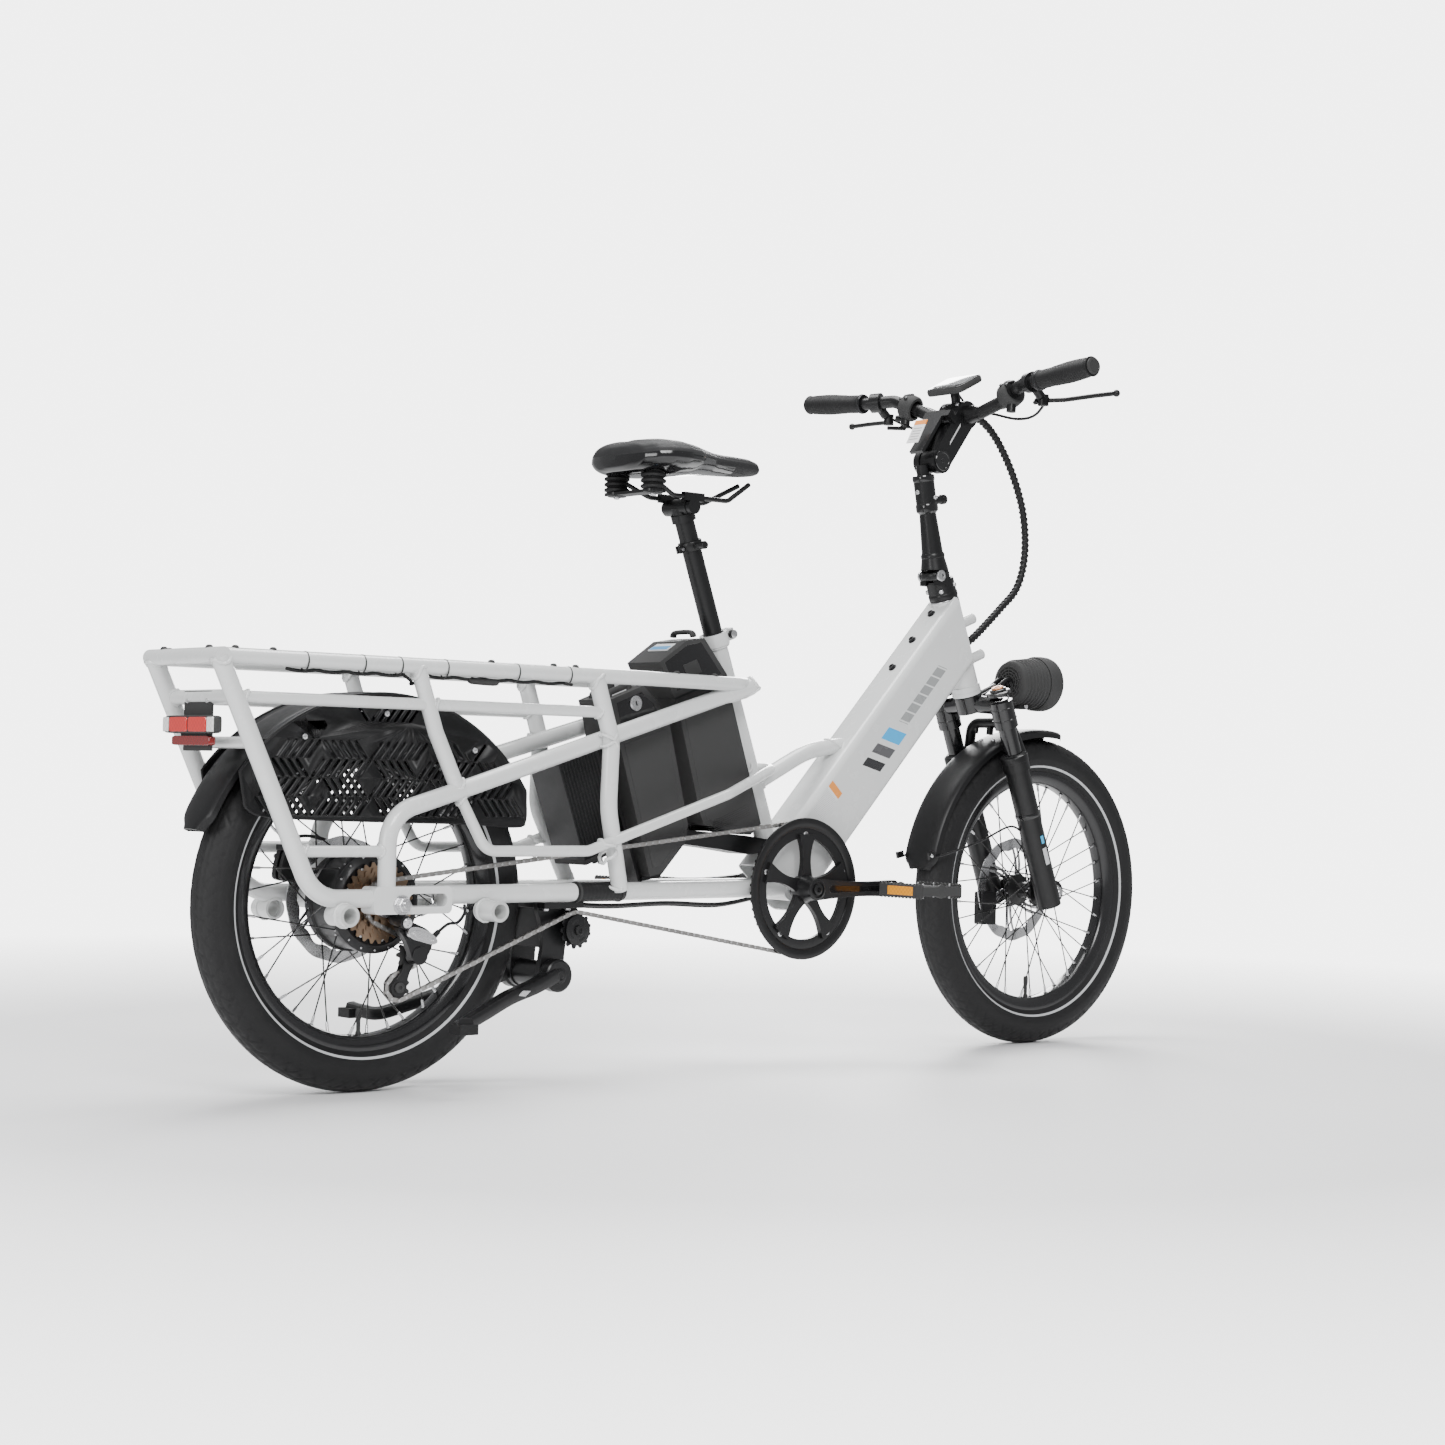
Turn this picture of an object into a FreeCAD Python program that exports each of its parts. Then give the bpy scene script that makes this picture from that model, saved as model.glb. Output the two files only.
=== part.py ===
"""Long-tail electric cargo bicycle, built as separate pieces, one STEP file for each.

Units are millimetres.  While it is being built the model stands on Z = 0 with X = 0 at the rear axle,
+X forward, +Y to the rider's left and +Z up.  save() then moves it so that the middle of its length is at
X = 0.  The drive side is -Y.  The kickstand is folded, the wheels point straight ahead.
"""
import FreeCAD, Part
import os
from math import asin, atan2, cos, degrees, hypot, pi, radians, sin, sqrt, tan

V = FreeCAD.Vector

# ---------------------------------------------------------------- driving sizes
WHEELBASE = 1375.0
TYRE_R = 265.0            # outer radius of a 20 inch tyre
TYRE_SECTION_R = 31.0     # radius of the tyre's round cross-section
TYRE_WALL = 3.6
AXLE_Z = TYRE_R

HEAD_ANGLE = 69.0         # steering axis above the horizontal, leaning back
HEAD_X, HEAD_Z = 1182.0, 680.0   # middle of the head tube
HEAD_LENGTH = 154.0
HEAD_R = 23.0
HEAD_LIP_R = 25.0
HEAD_BORE_R = 20.0

SEAT_ANGLE = 69.5
BB_X, BB_Z = 785.0, 277.0        # crank axis
SEAT_TUBE_R = 17.2
SEAT_TUBE_LENGTH = 418.0
POST_R = 15.2
POST_FIT = 0.05                  # radial clearance of the seatpost
POST_LENGTH = 400.0
POST_EXPOSED = 196.0             # top of the post above the end of the seat tube

RAIL_R = 11.1                    # 22.2 mm rack rail
RAIL_Y = 87.0                    # half the distance between the rails
RAIL_Z = 594.0
RAIL_REAR_X = -285.0
RAIL_WALL = 2.0
STAY_R = 12.7                    # 25.4 mm tube
THIN_R = 8.0                     # 16 mm tube
POST_TUBE_R = 12.7
CHAINSTAY_R = 13.5
CHAINSTAY_REAR_Y = 70.0          # the chainstays run inwards from the dropouts to the crank axis
CHAINSTAY_FRONT_Y = 28.0
CHAINSTAY_Z = 276.5
WELD_GAP = 0.2                   # welded tubes meet this closely in the model

DOWN_TUBE_H = 108.0
DOWN_TUBE_W = 70.0
DOWN_TUBE_WALL = 3.0
DOWN_TUBE_CORNER = 12.0
DOWN_TUBE_ANGLE = 46.8

LEG_Y = 66.0                     # fork legs from the middle
LEG_OFFSET = 8.0                 # fork legs ahead of the steering axis
STANCHION_R = 15.0
LOWER_R = 20.5
FORK_FIT = 0.06                  # radial clearance of the stanchions in the lowers
FORK_TRAVEL = 40.0

CHAIN_PITCH = 12.7
CHAIN_Y = -55.0
CHAINRING_TEETH = 52
DRIVEN_TEETH = 15
JOCKEY_TEETH = 9
IDLER_TEETH = 13
CRANK_LENGTH = 170.0
SPROCKET_T = 1.8
CHAIN_GAP_Y = 1.6                # inner face of a chain side band from the chain's middle
CHAIN_HALF_WIDTH = 3.3
CHAIN_HALF_HEIGHT = 4.0

BATTERY_HALF_W = 39.7
BAR_R = 15.9
BAR_END_R = 11.1
BAR_HALF = 333.0
RUN = 0.05                       # radial clearance of a pivot
SEAT = 0.2                       # two pieces that rest on each other lie this far apart

FRONT_AXLE_X = WHEELBASE
REAR_END_X = RAIL_REAR_X - RAIL_R
FRONT_END_X = FRONT_AXLE_X + TYRE_R
MIDDLE_X = (REAR_END_X + FRONT_END_X) / 2


# ---------------------------------------------------------------- helpers
def unit(v):
    return V(v).normalize()


def cyl(p, q, r):
    """Solid cylinder from point p to point q."""
    return Part.makeCylinder(r, (q - p).Length, p, q - p)


def ring(p, q, r_out, r_in):
    """Open tube from point p to point q."""
    return cyl(p, q, r_out).cut(cyl(p - unit(q - p), q + unit(q - p), r_in))


def cone(p, q, r0, r1):
    return Part.makeCone(r0, r1, (q - p).Length, p, q - p)


def ybar(x, z, y0, y1, r):
    """Cylinder parallel to Y between two y values."""
    return cyl(V(x, min(y0, y1), z), V(x, max(y0, y1), z), r)


def yring(x, z, y0, y1, r_out, r_in):
    return ring(V(x, min(y0, y1), z), V(x, max(y0, y1), z), r_out, r_in)


def box(x0, x1, y0, y1, z0, z1):
    return Part.makeBox(x1 - x0, y1 - y0, z1 - z0, V(x0, y0, z0))


def fuse(shapes):
    """One solid from pieces that overlap."""
    out = shapes[0]
    if len(shapes) > 1:
        out = out.multiFuse(shapes[1:]).removeSplitter()
    return out


def cut(shape, tools):
    """The shape with every tool taken away; crumbs smaller than 100 cubic millimetres are dropped."""
    for tool in tools:
        shape = shape.cut(tool)
    solids = [x for x in shape.Solids if x.Volume > 100]
    return solids[0] if len(solids) == 1 else Part.makeCompound(solids)


def mirrored(shape):
    return shape.mirror(V(0, 0, 0), V(0, 1, 0))


def both(shape):
    """The right-hand piece and its mirror image."""
    return [shape, mirrored(shape)]


def route(points, bend):
    """Wire of straight runs joined by tangent arcs of radius bend."""
    edges = []
    start = points[0]
    for before, corner, after in zip(points, points[1:], points[2:]):
        u, w = unit(before - corner), unit(after - corner)
        half = u.getAngle(w) / 2
        if pi / 2 - half < 1e-4:
            continue
        reach = bend / tan(half)
        centre = corner + unit(u + w) * (bend / sin(half))
        a, b = corner + u * reach, corner + w * reach
        middle = centre + unit(corner - centre) * bend
        edges.append(Part.LineSegment(start, a).toShape())
        edges.append(Part.Arc(a, middle, b).toShape())
        start = b
    edges.append(Part.LineSegment(start, points[-1]).toShape())
    return Part.Wire(edges)


def rod(points, r, bend):
    """Solid round bar along a route."""
    path = route(points, bend)
    profile = Part.Wire(Part.Circle(points[0], points[1] - points[0], r).toShape())
    return Part.Solid(path.makePipeShell([profile], True, False).Shells[0])


def tube(points, r, bend, wall=RAIL_WALL):
    """Hollow round tube along a route, open at both ends."""
    return rod(points, r, bend).cut(rod(points, r - wall, bend))


def slab(outline, y0, y1):
    """Flat piece: an outline of (x, z) points extruded between two y values."""
    pts = [V(x, min(y0, y1), z) for x, z in outline]
    face = Part.Face(Part.makePolygon(pts + pts[:1]))
    return face.extrude(V(0, abs(y1 - y0), 0))


def turned(profile, x, z):
    """Ring or disc: (radius, y) points turned about the line parallel to Y through (x, z)."""
    pts = [V(x + r, y, z) for r, y in profile]
    face = Part.Face(Part.makePolygon(pts + pts[:1]))
    return face.revolve(V(x, 0, z), V(0, 1, 0), 360)


def shell_arc(x, z, r_out, r_in, half_w, a0, a1):
    """Curved sheet between two angles (degrees, 0 ahead and 90 up) about a line parallel to Y."""
    half = turned([(r_in, -half_w), (r_out, -half_w), (r_out, half_w), (r_in, half_w)], x, z)
    reach = r_out * 3
    wedge = []
    for a in (a0, a0 + (a1 - a0) / 2, a1):
        wedge.append((x + reach * cos(radians(a)), z + reach * sin(radians(a))))
    return half.common(slab([(x, z)] + wedge, -half_w - 1, half_w + 1))


def rounded(shape, radius, keep=lambda e: True):
    """Fillet of the straight edges that keep() picks."""
    edges = [e for e in shape.Edges if keep(e)]
    return shape.makeFillet(radius, edges) if edges else shape


def along_y(edge):
    d = edge.Vertexes[-1].Point - edge.Vertexes[0].Point
    return d.Length > 1 and abs(d.y) / d.Length > 0.999


NODES = {}


def save(name, shapes):
    """Keep the solids of a node, placed in the finished model's frame."""
    solids = []
    for shape in shapes:
        solids.extend(shape.Solids)
    for solid in solids:
        solid.translate(V(-MIDDLE_X, 0, 0))
    NODES[name] = solids
    whole = solids[0] if len(solids) == 1 else Part.makeCompound(solids)
    whole.exportStep("parts/" + name + ".step")


# ---------------------------------------------------------------- shared lines and places
HEAD_UP = V(-cos(radians(HEAD_ANGLE)), 0, sin(radians(HEAD_ANGLE)))
HEAD_FWD = V(sin(radians(HEAD_ANGLE)), 0, cos(radians(HEAD_ANGLE)))
SEAT_UP = V(-cos(radians(SEAT_ANGLE)), 0, sin(radians(SEAT_ANGLE)))
SEAT_BACK = V(-sin(radians(SEAT_ANGLE)), 0, -cos(radians(SEAT_ANGLE)))
BB = V(BB_X, 0, BB_Z)


def head(s, f=0.0, y=0.0):
    """Point s along the steering axis from the head tube's middle, f ahead of it and y to the left."""
    return V(HEAD_X, y, HEAD_Z) + HEAD_UP * s + HEAD_FWD * f


def seat(s, d=0.0, y=0.0):
    """Point s up the seat tube from the crank axis, d behind its axis and y to the left."""
    return BB + SEAT_UP * s + SEAT_BACK * d + V(0, y, 0)


def xz(p):
    return (p.x, p.z)


def seat_s(z, d=0.0):
    """Distance up the seat tube at which a point d behind the axis has height z."""
    return (z - BB_Z + d * cos(radians(SEAT_ANGLE))) / sin(radians(SEAT_ANGLE))


def seat_x(z):
    return seat(seat_s(z)).x


AXLE_S = (V(FRONT_AXLE_X, 0, AXLE_Z) - V(HEAD_X, 0, HEAD_Z)).dot(HEAD_UP)
AXLE_F = (V(FRONT_AXLE_X, 0, AXLE_Z) - V(HEAD_X, 0, HEAD_Z)).dot(HEAD_FWD)


def tube_pair(points, r, bend, wall=RAIL_WALL):
    """Outer bars and hollow tubes of a right-hand tube and its mirror image."""
    return both(rod(points, r, bend)), both(tube(points, r, bend, wall))


# ================================================================ frame
def build_main_frame():
    """Head tube, down tube, seat tube, crank shell; returns their outer shapes for trimming."""
    half = HEAD_LENGTH / 2
    head_outer = fuse([cyl(head(-half), head(half), HEAD_R),
                       cyl(head(-half), head(-half + 9), HEAD_LIP_R),
                       cyl(head(half - 9), head(half), HEAD_LIP_R)])
    bosses = [cyl(head(s, 18), head(s, 56), 9) for s in (34, -30)]
    head_tube = fuse([head_outer] + bosses).cut(cyl(head(-half - 1), head(half + 1), HEAD_BORE_R))
    for s in (34, -30):
        head_tube = head_tube.cut(cyl(head(s, 30), head(s, 57), 3))
    cups = [ring(head(e), head(e + d * 7), HEAD_LIP_R, STEERER_R + 2)
            for e, d in ((half + WELD_GAP, 1), (-half - WELD_GAP, -1))]
    cups = [cups[0], ring(head(-half - WELD_GAP - 7), head(-half - WELD_GAP), HEAD_LIP_R, STEERER_R + 2)]
    save("head_tube", [head_tube] + cups)

    a = radians(DOWN_TUBE_ANGLE)
    axis, across = V(cos(a), 0, sin(a)), V(-sin(a), 0, cos(a))
    centre = V(1152.6, 0, 687.7)

    def box_bar(h, w, corner):
        low, high = centre - axis * 565, centre + axis * 60
        pts = [low + across * (sz * h / 2) + V(0, sy * w / 2, 0)
               for sy, sz in ((-1, -1), (1, -1), (1, 1), (-1, 1))]
        bar = Part.Face(Part.makePolygon(pts + pts[:1])).extrude(high - low)
        edges = [e for e in bar.Edges if abs((e.Vertexes[1].Point - e.Vertexes[0].Point).Length - 625) < 1]
        return bar.makeFillet(corner, edges)

    down_outer = box_bar(DOWN_TUBE_H, DOWN_TUBE_W, DOWN_TUBE_CORNER)
    inner = box_bar(DOWN_TUBE_H - 2 * DOWN_TUBE_WALL, DOWN_TUBE_W - 2 * DOWN_TUBE_WALL,
                    DOWN_TUBE_CORNER - DOWN_TUBE_WALL)
    shell_outer = ybar(BB_X, BB_Z, -36.5, 36.5, 21)
    shell = yring(BB_X, BB_Z, -36.5, 36.5, 21, SPINDLE_R + RUN)
    seat_outer = cyl(seat(0), seat(SEAT_TUBE_LENGTH), SEAT_TUBE_R)
    seat_bore = cyl(seat(40), seat(SEAT_TUBE_LENGTH + 1), POST_R + POST_FIT)
    shell_grown = ybar(BB_X, BB_Z, -80, 80, 21 + WELD_GAP)
    seat_tube = cut(seat_outer, [seat_bore, shell_grown])
    collar = ring(seat(SEAT_TUBE_LENGTH - 14), seat(SEAT_TUBE_LENGTH + 6), 22.5, SEAT_TUBE_R + 0.1)
    lug = seat_box(SEAT_TUBE_LENGTH - 13, SEAT_TUBE_LENGTH + 5, -35, -20, -9, 9)
    slot = seat_box(SEAT_TUBE_LENGTH - 20, SEAT_TUBE_LENGTH + 20, -40, -10, -1.5, 1.5)
    pin = cyl(seat(SEAT_TUBE_LENGTH - 4, -28, -20), seat(SEAT_TUBE_LENGTH - 4, -28, 20), 3 + RUN)
    collar = fuse([collar, lug]).cut(cyl(seat(300), seat(500), SEAT_TUBE_R + 0.1)).cut(slot).cut(pin)
    save("seat_tube", [seat_tube, collar, shell])
    seat_grown = cyl(seat(-20), seat(SEAT_TUBE_LENGTH), SEAT_TUBE_R + WELD_GAP)
    head_grown = cyl(head(-half - 30), head(half + 30), HEAD_LIP_R + WELD_GAP)
    front_space = Part.makeBox(300, 300, 900, V(0, -150, -450))
    front_space.rotate(V(0, 0, 0), V(0, 1, 0), -(90 - HEAD_ANGLE))
    front_space.translate(V(HEAD_X, 0, HEAD_Z))
    down_tube = cut(down_outer, [inner, head_grown, front_space, shell_grown, seat_grown])
    save("down_tube", [down_tube])
    return {"head": head_grown, "down": down_outer, "shell": shell_grown, "seat": seat_grown}


def seat_box(s0, s1, d0, d1, y0, y1):
    """Box between two distances up the seat tube, two distances behind it and two y values."""
    pts = [seat(s0, d0, y0), seat(s1, d0, y0), seat(s1, d1, y0), seat(s0, d1, y0)]
    return Part.Face(Part.makePolygon(pts + pts[:1])).extrude(V(0, y1 - y0, 0))


STEERER_R = 14.3
SPINDLE_R = 12.0
SECOND_RAIL_R = 8.3
SECOND_RAIL_Z = 541.0
LOWER_STAY_Z = 338.0
STUB_Z = (252.0, 254.0)          # open tube ends that take a footboard's spigots
STUB_BORE_R = 12.0
DROPOUT_Y = (68.0, 100.0)


def build_rack(core):
    """Bent tubes of the rack and the stays."""
    y = -RAIL_Y
    tip = seat_x(RAIL_Z) + SEAT_TUBE_R / sin(radians(SEAT_ANGLE)) + 0.4 + RAIL_R
    loop = [V(RAIL_REAR_X, y, RAIL_Z), V(430, y, RAIL_Z), V(640, -58, RAIL_Z), V(tip, -34, RAIL_Z)]
    loop += [V(p.x, -p.y, p.z) for p in reversed(loop)]
    loop_outer = rod(loop, RAIL_R, 30)
    bars = {"top_rear": (RAIL_REAR_X, RAIL_Z, RAIL_Y + RAIL_R, RAIL_R),
            "second": (-256, SECOND_RAIL_Z, RAIL_Y, 10), "lower": (-230, 481, RAIL_Y, THIN_R),
            "middle": (25, RAIL_Z, RAIL_Y, THIN_R), "front": (338, RAIL_Z, RAIL_Y, THIN_R)}
    bar_outer = {k: ybar(x, z, -w, w, r) for k, (x, z, w, r) in bars.items()}
    loop_tube = cut(tube(loop, RAIL_R, 30), [bar_outer["top_rear"]])

    post = [V(RAIL_REAR_X, y, RAIL_Z - 1), V(-133, y, 274), V(-45, y, 274)]
    post_outer, post_tube = tube_pair(post, POST_TUBE_R, 60)
    stay = [V(672, -50.2, 592), V(118, y, 428), V(-17, y, 388), V(-17, y, 280)]
    stay_outer, stay_tube = tube_pair(stay, STAY_R, 55)
    mid = [V(25, y, RAIL_Z), V(58, y, 503), V(101, y, 418)]
    mid_outer, mid_tube = tube_pair(mid, RAIL_R, 60)
    front = [V(338, y, RAIL_Z), V(370, y, 500), V(367, y, 400), V(412, -62, 280)]
    front_outer, front_tube = tube_pair(front, POST_TUBE_R, 80)
    tip_low = seat_x(466) + SEAT_TUBE_R / sin(radians(SEAT_ANGLE)) + 0.4 + THIN_R
    low = [V(98, y, 420), V(148, y, LOWER_STAY_Z), V(332, y, LOWER_STAY_Z), V(600, y, 424), V(tip_low, -34, 466)]
    low += [V(p.x, -p.y, p.z) for p in reversed(low)]
    low_outer = rod(low, THIN_R, 32)
    link = [V(725, 0, 438), V(845, 0, 497), V(985, 0, 514)]
    link_outer = rod(link, 13, 200)
    second = [both(cyl(V(-256, y, SECOND_RAIL_Z), V(357, y, SECOND_RAIL_Z), SECOND_RAIL_R))][0]
    flat = both(cyl(V(-163, y, LOWER_STAY_Z), V(-17, y, LOWER_STAY_Z), THIN_R))
    drop_outer = both(box(-45, 84, -DROPOUT_Y[1], -DROPOUT_Y[0], 252, 290))
    chain_pts = (V(80, -CHAINSTAY_REAR_Y, CHAINSTAY_Z), V(BB_X - 10, -CHAINSTAY_FRONT_Y, CHAINSTAY_Z))
    chain_outer = both(cyl(chain_pts[0], chain_pts[1], CHAINSTAY_R))
    chain_tube = both(ring(chain_pts[0], chain_pts[1], CHAINSTAY_R, CHAINSTAY_R - RAIL_WALL))

    loop_tube = cut(loop_tube, [core["seat"]])
    save("top_rail_loop", [loop_tube])
    top = [loop_outer, bar_outer["top_rear"]]
    stub_bores = both(ybar(-93, STUB_Z[0], -117, -70, STUB_BORE_R + 0.3))
    stub_bores += both(ybar(155, STUB_Z[1], -117, -60, STUB_BORE_R + 0.3))
    save("rear_posts", [cut(t, top + drop_outer + stub_bores) for t in post_tube])
    save("main_stays", [cut(t, [loop_outer, core["seat"]] + drop_outer) for t in stay_tube])
    save("rack_posts", [cut(t, top + stay_outer) for t in mid_tube] + [cut(t, top + stay_outer + chain_outer + [low_outer]) for t in front_tube])
    rails = both(ring(V(-256, y, SECOND_RAIL_Z), V(357, y, SECOND_RAIL_Z), SECOND_RAIL_R, SECOND_RAIL_R - 1.8))
    save("second_rails", [cut(t, post_outer + mid_outer + front_outer) for t in rails])
    flats = both(ring(V(-163, y, LOWER_STAY_Z), V(-17, y, LOWER_STAY_Z), THIN_R, THIN_R - 1.8))
    low_tube = cut(tube(low, THIN_R, 32, 1.8), stay_outer + front_outer + [core["seat"]])
    link_tube = cut(tube(link, 13, 200), [core["seat"], low_outer, core["down"]])
    runs = []
    for x0, x1 in ((0, 166), (166, 332), (332, 600), (600, 690), (690, 800)):
        for y0, y1 in ((-120, 0), (0, 120)):
            runs.append(low_tube.common(box(x0, x1, y0, y1, 300, 520)))
    save("lower_stay_loop", runs + [link_tube] + [cut(t, post_outer + stay_outer) for t in flats])
    crossbars = [cut(bar_outer["top_rear"], [ybar(RAIL_REAR_X, RAIL_Z, -91, 91, RAIL_R - RAIL_WALL)])]
    for k in ("second", "lower", "middle", "front"):
        x, z, w, r = bars[k]
        bar = yring(x, z, -w, w, r, r - 1.8)
        crossbars.append(cut(bar, post_outer + [loop_outer] + second + mid_outer + front_outer))
    tail_plate = box(-263.2, -259.4, -30, 40, 470, 548)
    save("rack_crossbars", crossbars[:1] + [c.cut(tail_plate) for c in crossbars[1:]])

    dropouts = []
    for block in drop_outer:
        block = rounded(block, 8, along_y)
        side = 1 if block.BoundBox.YMax > 0 else -1
        axle_slot = fuse([ybar(0, AXLE_Z, side * 60, side * 110, AXLE_R + 0.2),
                          box(-AXLE_R - 0.2, AXLE_R + 0.2, -110 if side < 0 else 60, -60 if side < 0 else 110,
                              240, AXLE_Z)])
        hollow = box(-37, 76, min(side * 74, side * 94), max(side * 74, side * 94), 251, 284)
        wing = box(12, 76, min(side * 66, side * 110), max(side * 66, side * 110), 262, 280)
        wing = rounded(wing, 8.5, along_y)
        block = cut(block, [axle_slot, hollow, wing] + chain_outer)
        dropouts.append(block)
    low_stub = []
    for x, z, y0 in ((-93, STUB_Z[0], 75), (155, STUB_Z[1], 72)):
        stub = yring(x, z, -116, -y0, 15, STUB_BORE_R)
        low_stub += [cut(t, post_outer + chain_outer) for t in both(stub)]
    bridge = yring(430, CHAINSTAY_Z, -60, 60, 8, 6)
    save("chainstays", dropouts + [cut(t, drop_outer + stub_bores + [core["shell"], core["down"], core["seat"]])
                                   for t in chain_tube] + [cut(bridge, chain_outer)])
    save("footboard_stubs", low_stub)
    return {"loop": loop_outer, "posts": post_outer, "front": front_outer, "chain": chain_outer,
            "stay": stay_outer, "lower_bar": bar_outer["lower"], "second_bar": bar_outer["second"],
            "low": low_outer, "tail_plate": tail_plate}


AXLE_R = 6.0
FENDER_R = 293.0
FENDER_T = 2.6
FENDER_HALF_W = 36.0
SKIRT_Y = 50.0


def build_covers(core, rack):
    """Rear fender, wheel skirts, tail light, controller, battery tray."""
    inner = FENDER_R - FENDER_T
    fender = shell_arc(0, AXLE_Z, FENDER_R, inner, FENDER_HALF_W, 22, 160)
    bracket = box(-226, -196, -12, 12, 478, 484)
    bracket = bracket.cut(turned([(0, -60), (inner + 1, -60), (inner + 1, 60), (0, 60)], 0, AXLE_Z))
    fender = cut(fuse([fender, bracket]), [ybar(-230, 481, -90, 90, THIN_R + SEAT)])
    save("rear_fender", [fender])

    ring_r = inner - SEAT
    arc = [(ring_r * cos(radians(t)), AXLE_Z + ring_r * sin(radians(t))) for t in range(26, 144, 3)]
    outline = arc + [(-215, 383), (246, 362)]
    skirts = []
    for sheet in both(slab(outline, -SKIRT_Y - 1.5, -SKIRT_Y + 1.5)):
        side = 1 if sheet.BoundBox.YMax > 0 else -1
        flange = shell_arc(0, AXLE_Z, ring_r, ring_r - 2.5, SKIRT_Y, 40, 130)
        keep = box(-400, 400, min(side * 29, side * 49), max(side * 29, side * 49), 0, 900)
        skirts.append(fuse([sheet, flange.common(keep)]))
    save("wheel_skirts", skirts)

    plate = rack["tail_plate"].cut(ybar(-256, SECOND_RAIL_Z, -90, 90, 10 + SEAT))
    lamp = rounded(box(-276, -263.4, -61, 74, 492, 516), 3, along_y)
    reflector = box(-272, -263.4, -45, 58, 476, 489)
    save("tail_light", [plate, lamp, reflector])

    controller = rounded(seat_box(182, 346, 302, 378, -38, 38), 6, along_y)
    arms = both(ybar(367, 430, -74, -38, 7))
    controller = fuse([controller] + arms)
    save("controller_box", [cut(controller, rack["front"])])

    tray = [(484, 290), (518, 295.5), (566, 346), (640, 338), (700, 330), (752, 335), (750, 352), (692, 359.6),
            (571, 367.6), (560.5, 350.6), (514.6, 301.6), (488, 296.6), (484, 296.6)]
    tray = slab(tray, -26, 26)
    back = seat_box(100, 330, 276, 282, -22, 22)
    foot = seat_box(190, 220, 282, 301.8, -15, 15)
    tray = fuse([tray, back, foot, seat_box(95, 110, 262, 282, -22, 22)])
    save("battery_mounts", [cut(tray, [core["seat"], rack["low"], core["down"]])])


def build_batteries():
    """Two battery packs lying parallel to the seat tube; each slides up out of its tray."""
    front = [seat(s, d) for s, d in ((112, 60), (121, 34), (323, 29), (365, 26), (432, 52), (439, 88), (424, 148),
                                     (347, 136), (180, 147), (161, 145))]
    front = slab([xz(p) for p in front], -BATTERY_HALF_W, BATTERY_HALF_W)
    front = rounded(front, 7, lambda e: not along_y(e) and e.Length > 120)
    save("battery_front", [front])
    rear = [seat(s, d) for s, d in ((123, 271), (119, 246), (149, 187), (172, 175), (328, 160), (370, 172),
                                    (400, 190), (400, 256.6), (368, 258), (335, 262))]
    rear = slab([xz(p) for p in rear], -BATTERY_HALF_W, BATTERY_HALF_W)
    rear = rounded(rear, 7, lambda e: not along_y(e) and e.Length > 120)
    save("battery_rear", [rear])


# ================================================================ wheels
BEAD_R = 203.4
FLANGE_R = 208.5
RIM_IN_R = 186.0
SPOKES = 36
SPOKE_R = 1.15


def rim(x, z):
    profile = [(RIM_IN_R, -11), (BEAD_R - 4, -18.6), (FLANGE_R, -18.6), (FLANGE_R, -16.1), (BEAD_R, -16.1),
               (BEAD_R, 16.1), (FLANGE_R, 16.1), (FLANGE_R, 18.6), (BEAD_R - 4, 18.6), (RIM_IN_R, 11)]
    hollow = [(RIM_IN_R + 2.5, -8), (BEAD_R - 3, -12), (BEAD_R - 3, 12), (RIM_IN_R + 2.5, 8)]
    return turned(profile, x, z).cut(turned(hollow, x, z))


def tyre(x, z):
    """Round tyre wall, open towards the rim, with two beads between the rim flanges."""
    mid = TYRE_R - TYRE_SECTION_R

    def disc(r):
        return Part.Face(Part.Wire(Part.makeCircle(r, V(x + mid, 0, z), V(0, 0, 1))))

    def rect(r0, r1, y0, y1):
        pts = [V(x + r0, y0, z), V(x + r1, y0, z), V(x + r1, y1, z), V(x + r0, y1, z)]
        return Part.Face(Part.makePolygon(pts + pts[:1]))

    legs = [rect(BEAD_R + SEAT, FLANGE_R + 4, s * 12.5 - 1.7 + s * 1.7, s * 12.5 + 1.7 + s * 1.7) for s in (-1, 1)]
    face = disc(TYRE_SECTION_R).cut(disc(TYRE_SECTION_R - TYRE_WALL))
    face = face.cut(rect(BEAD_R - 9, mid, -12.5, 12.5)).cut(rect(BEAD_R - 9, FLANGE_R + SEAT, -40, -15.9))
    face = face.cut(rect(BEAD_R - 9, FLANGE_R + SEAT, 15.9, 40)).fuse(legs)
    solid = face.removeSplitter().revolve(V(x, 0, z), V(0, 1, 0), 360)
    return max(solid.Solids, key=lambda q: q.Volume)


def spoke_set(x, z, r_hub, y_hub, step):
    """Crossed straight spokes from just outside the hub to just inside the rim."""
    out = []
    for i in range(SPOKES):
        side = 1 if i % 2 else -1
        lean = 1 if (i // 2) % 2 else -1
        a_rim = 2 * pi * (i + 0.5) / SPOKES
        a_hub = a_rim + lean * radians(step)
        y0 = side * (y_hub[0] if lean > 0 else y_hub[1])
        p = V(x + r_hub * cos(a_hub), y0, z + r_hub * sin(a_hub))
        q = V(x + (RIM_IN_R - SEAT) * cos(a_rim), side * 3.5, z + (RIM_IN_R - SEAT) * sin(a_rim))
        out.append(cyl(p, q, SPOKE_R))
    return out


def rotor(x, z, y0, r_in):
    """Brake disc with eight windows."""
    disc = turned([(r_in, y0), (90, y0), (90, y0 + 1.8), (r_in, y0 + 1.8)], x, z)
    for i in range(8):
        a = 2 * pi * i / 8
        disc = disc.cut(ybar(x + 55 * cos(a), z + 55 * sin(a), y0 - 1, y0 + 3, 15))
    return disc


REAR_ROTOR_Y = 52.0
FRONT_ROTOR_Y = 33.0


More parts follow.
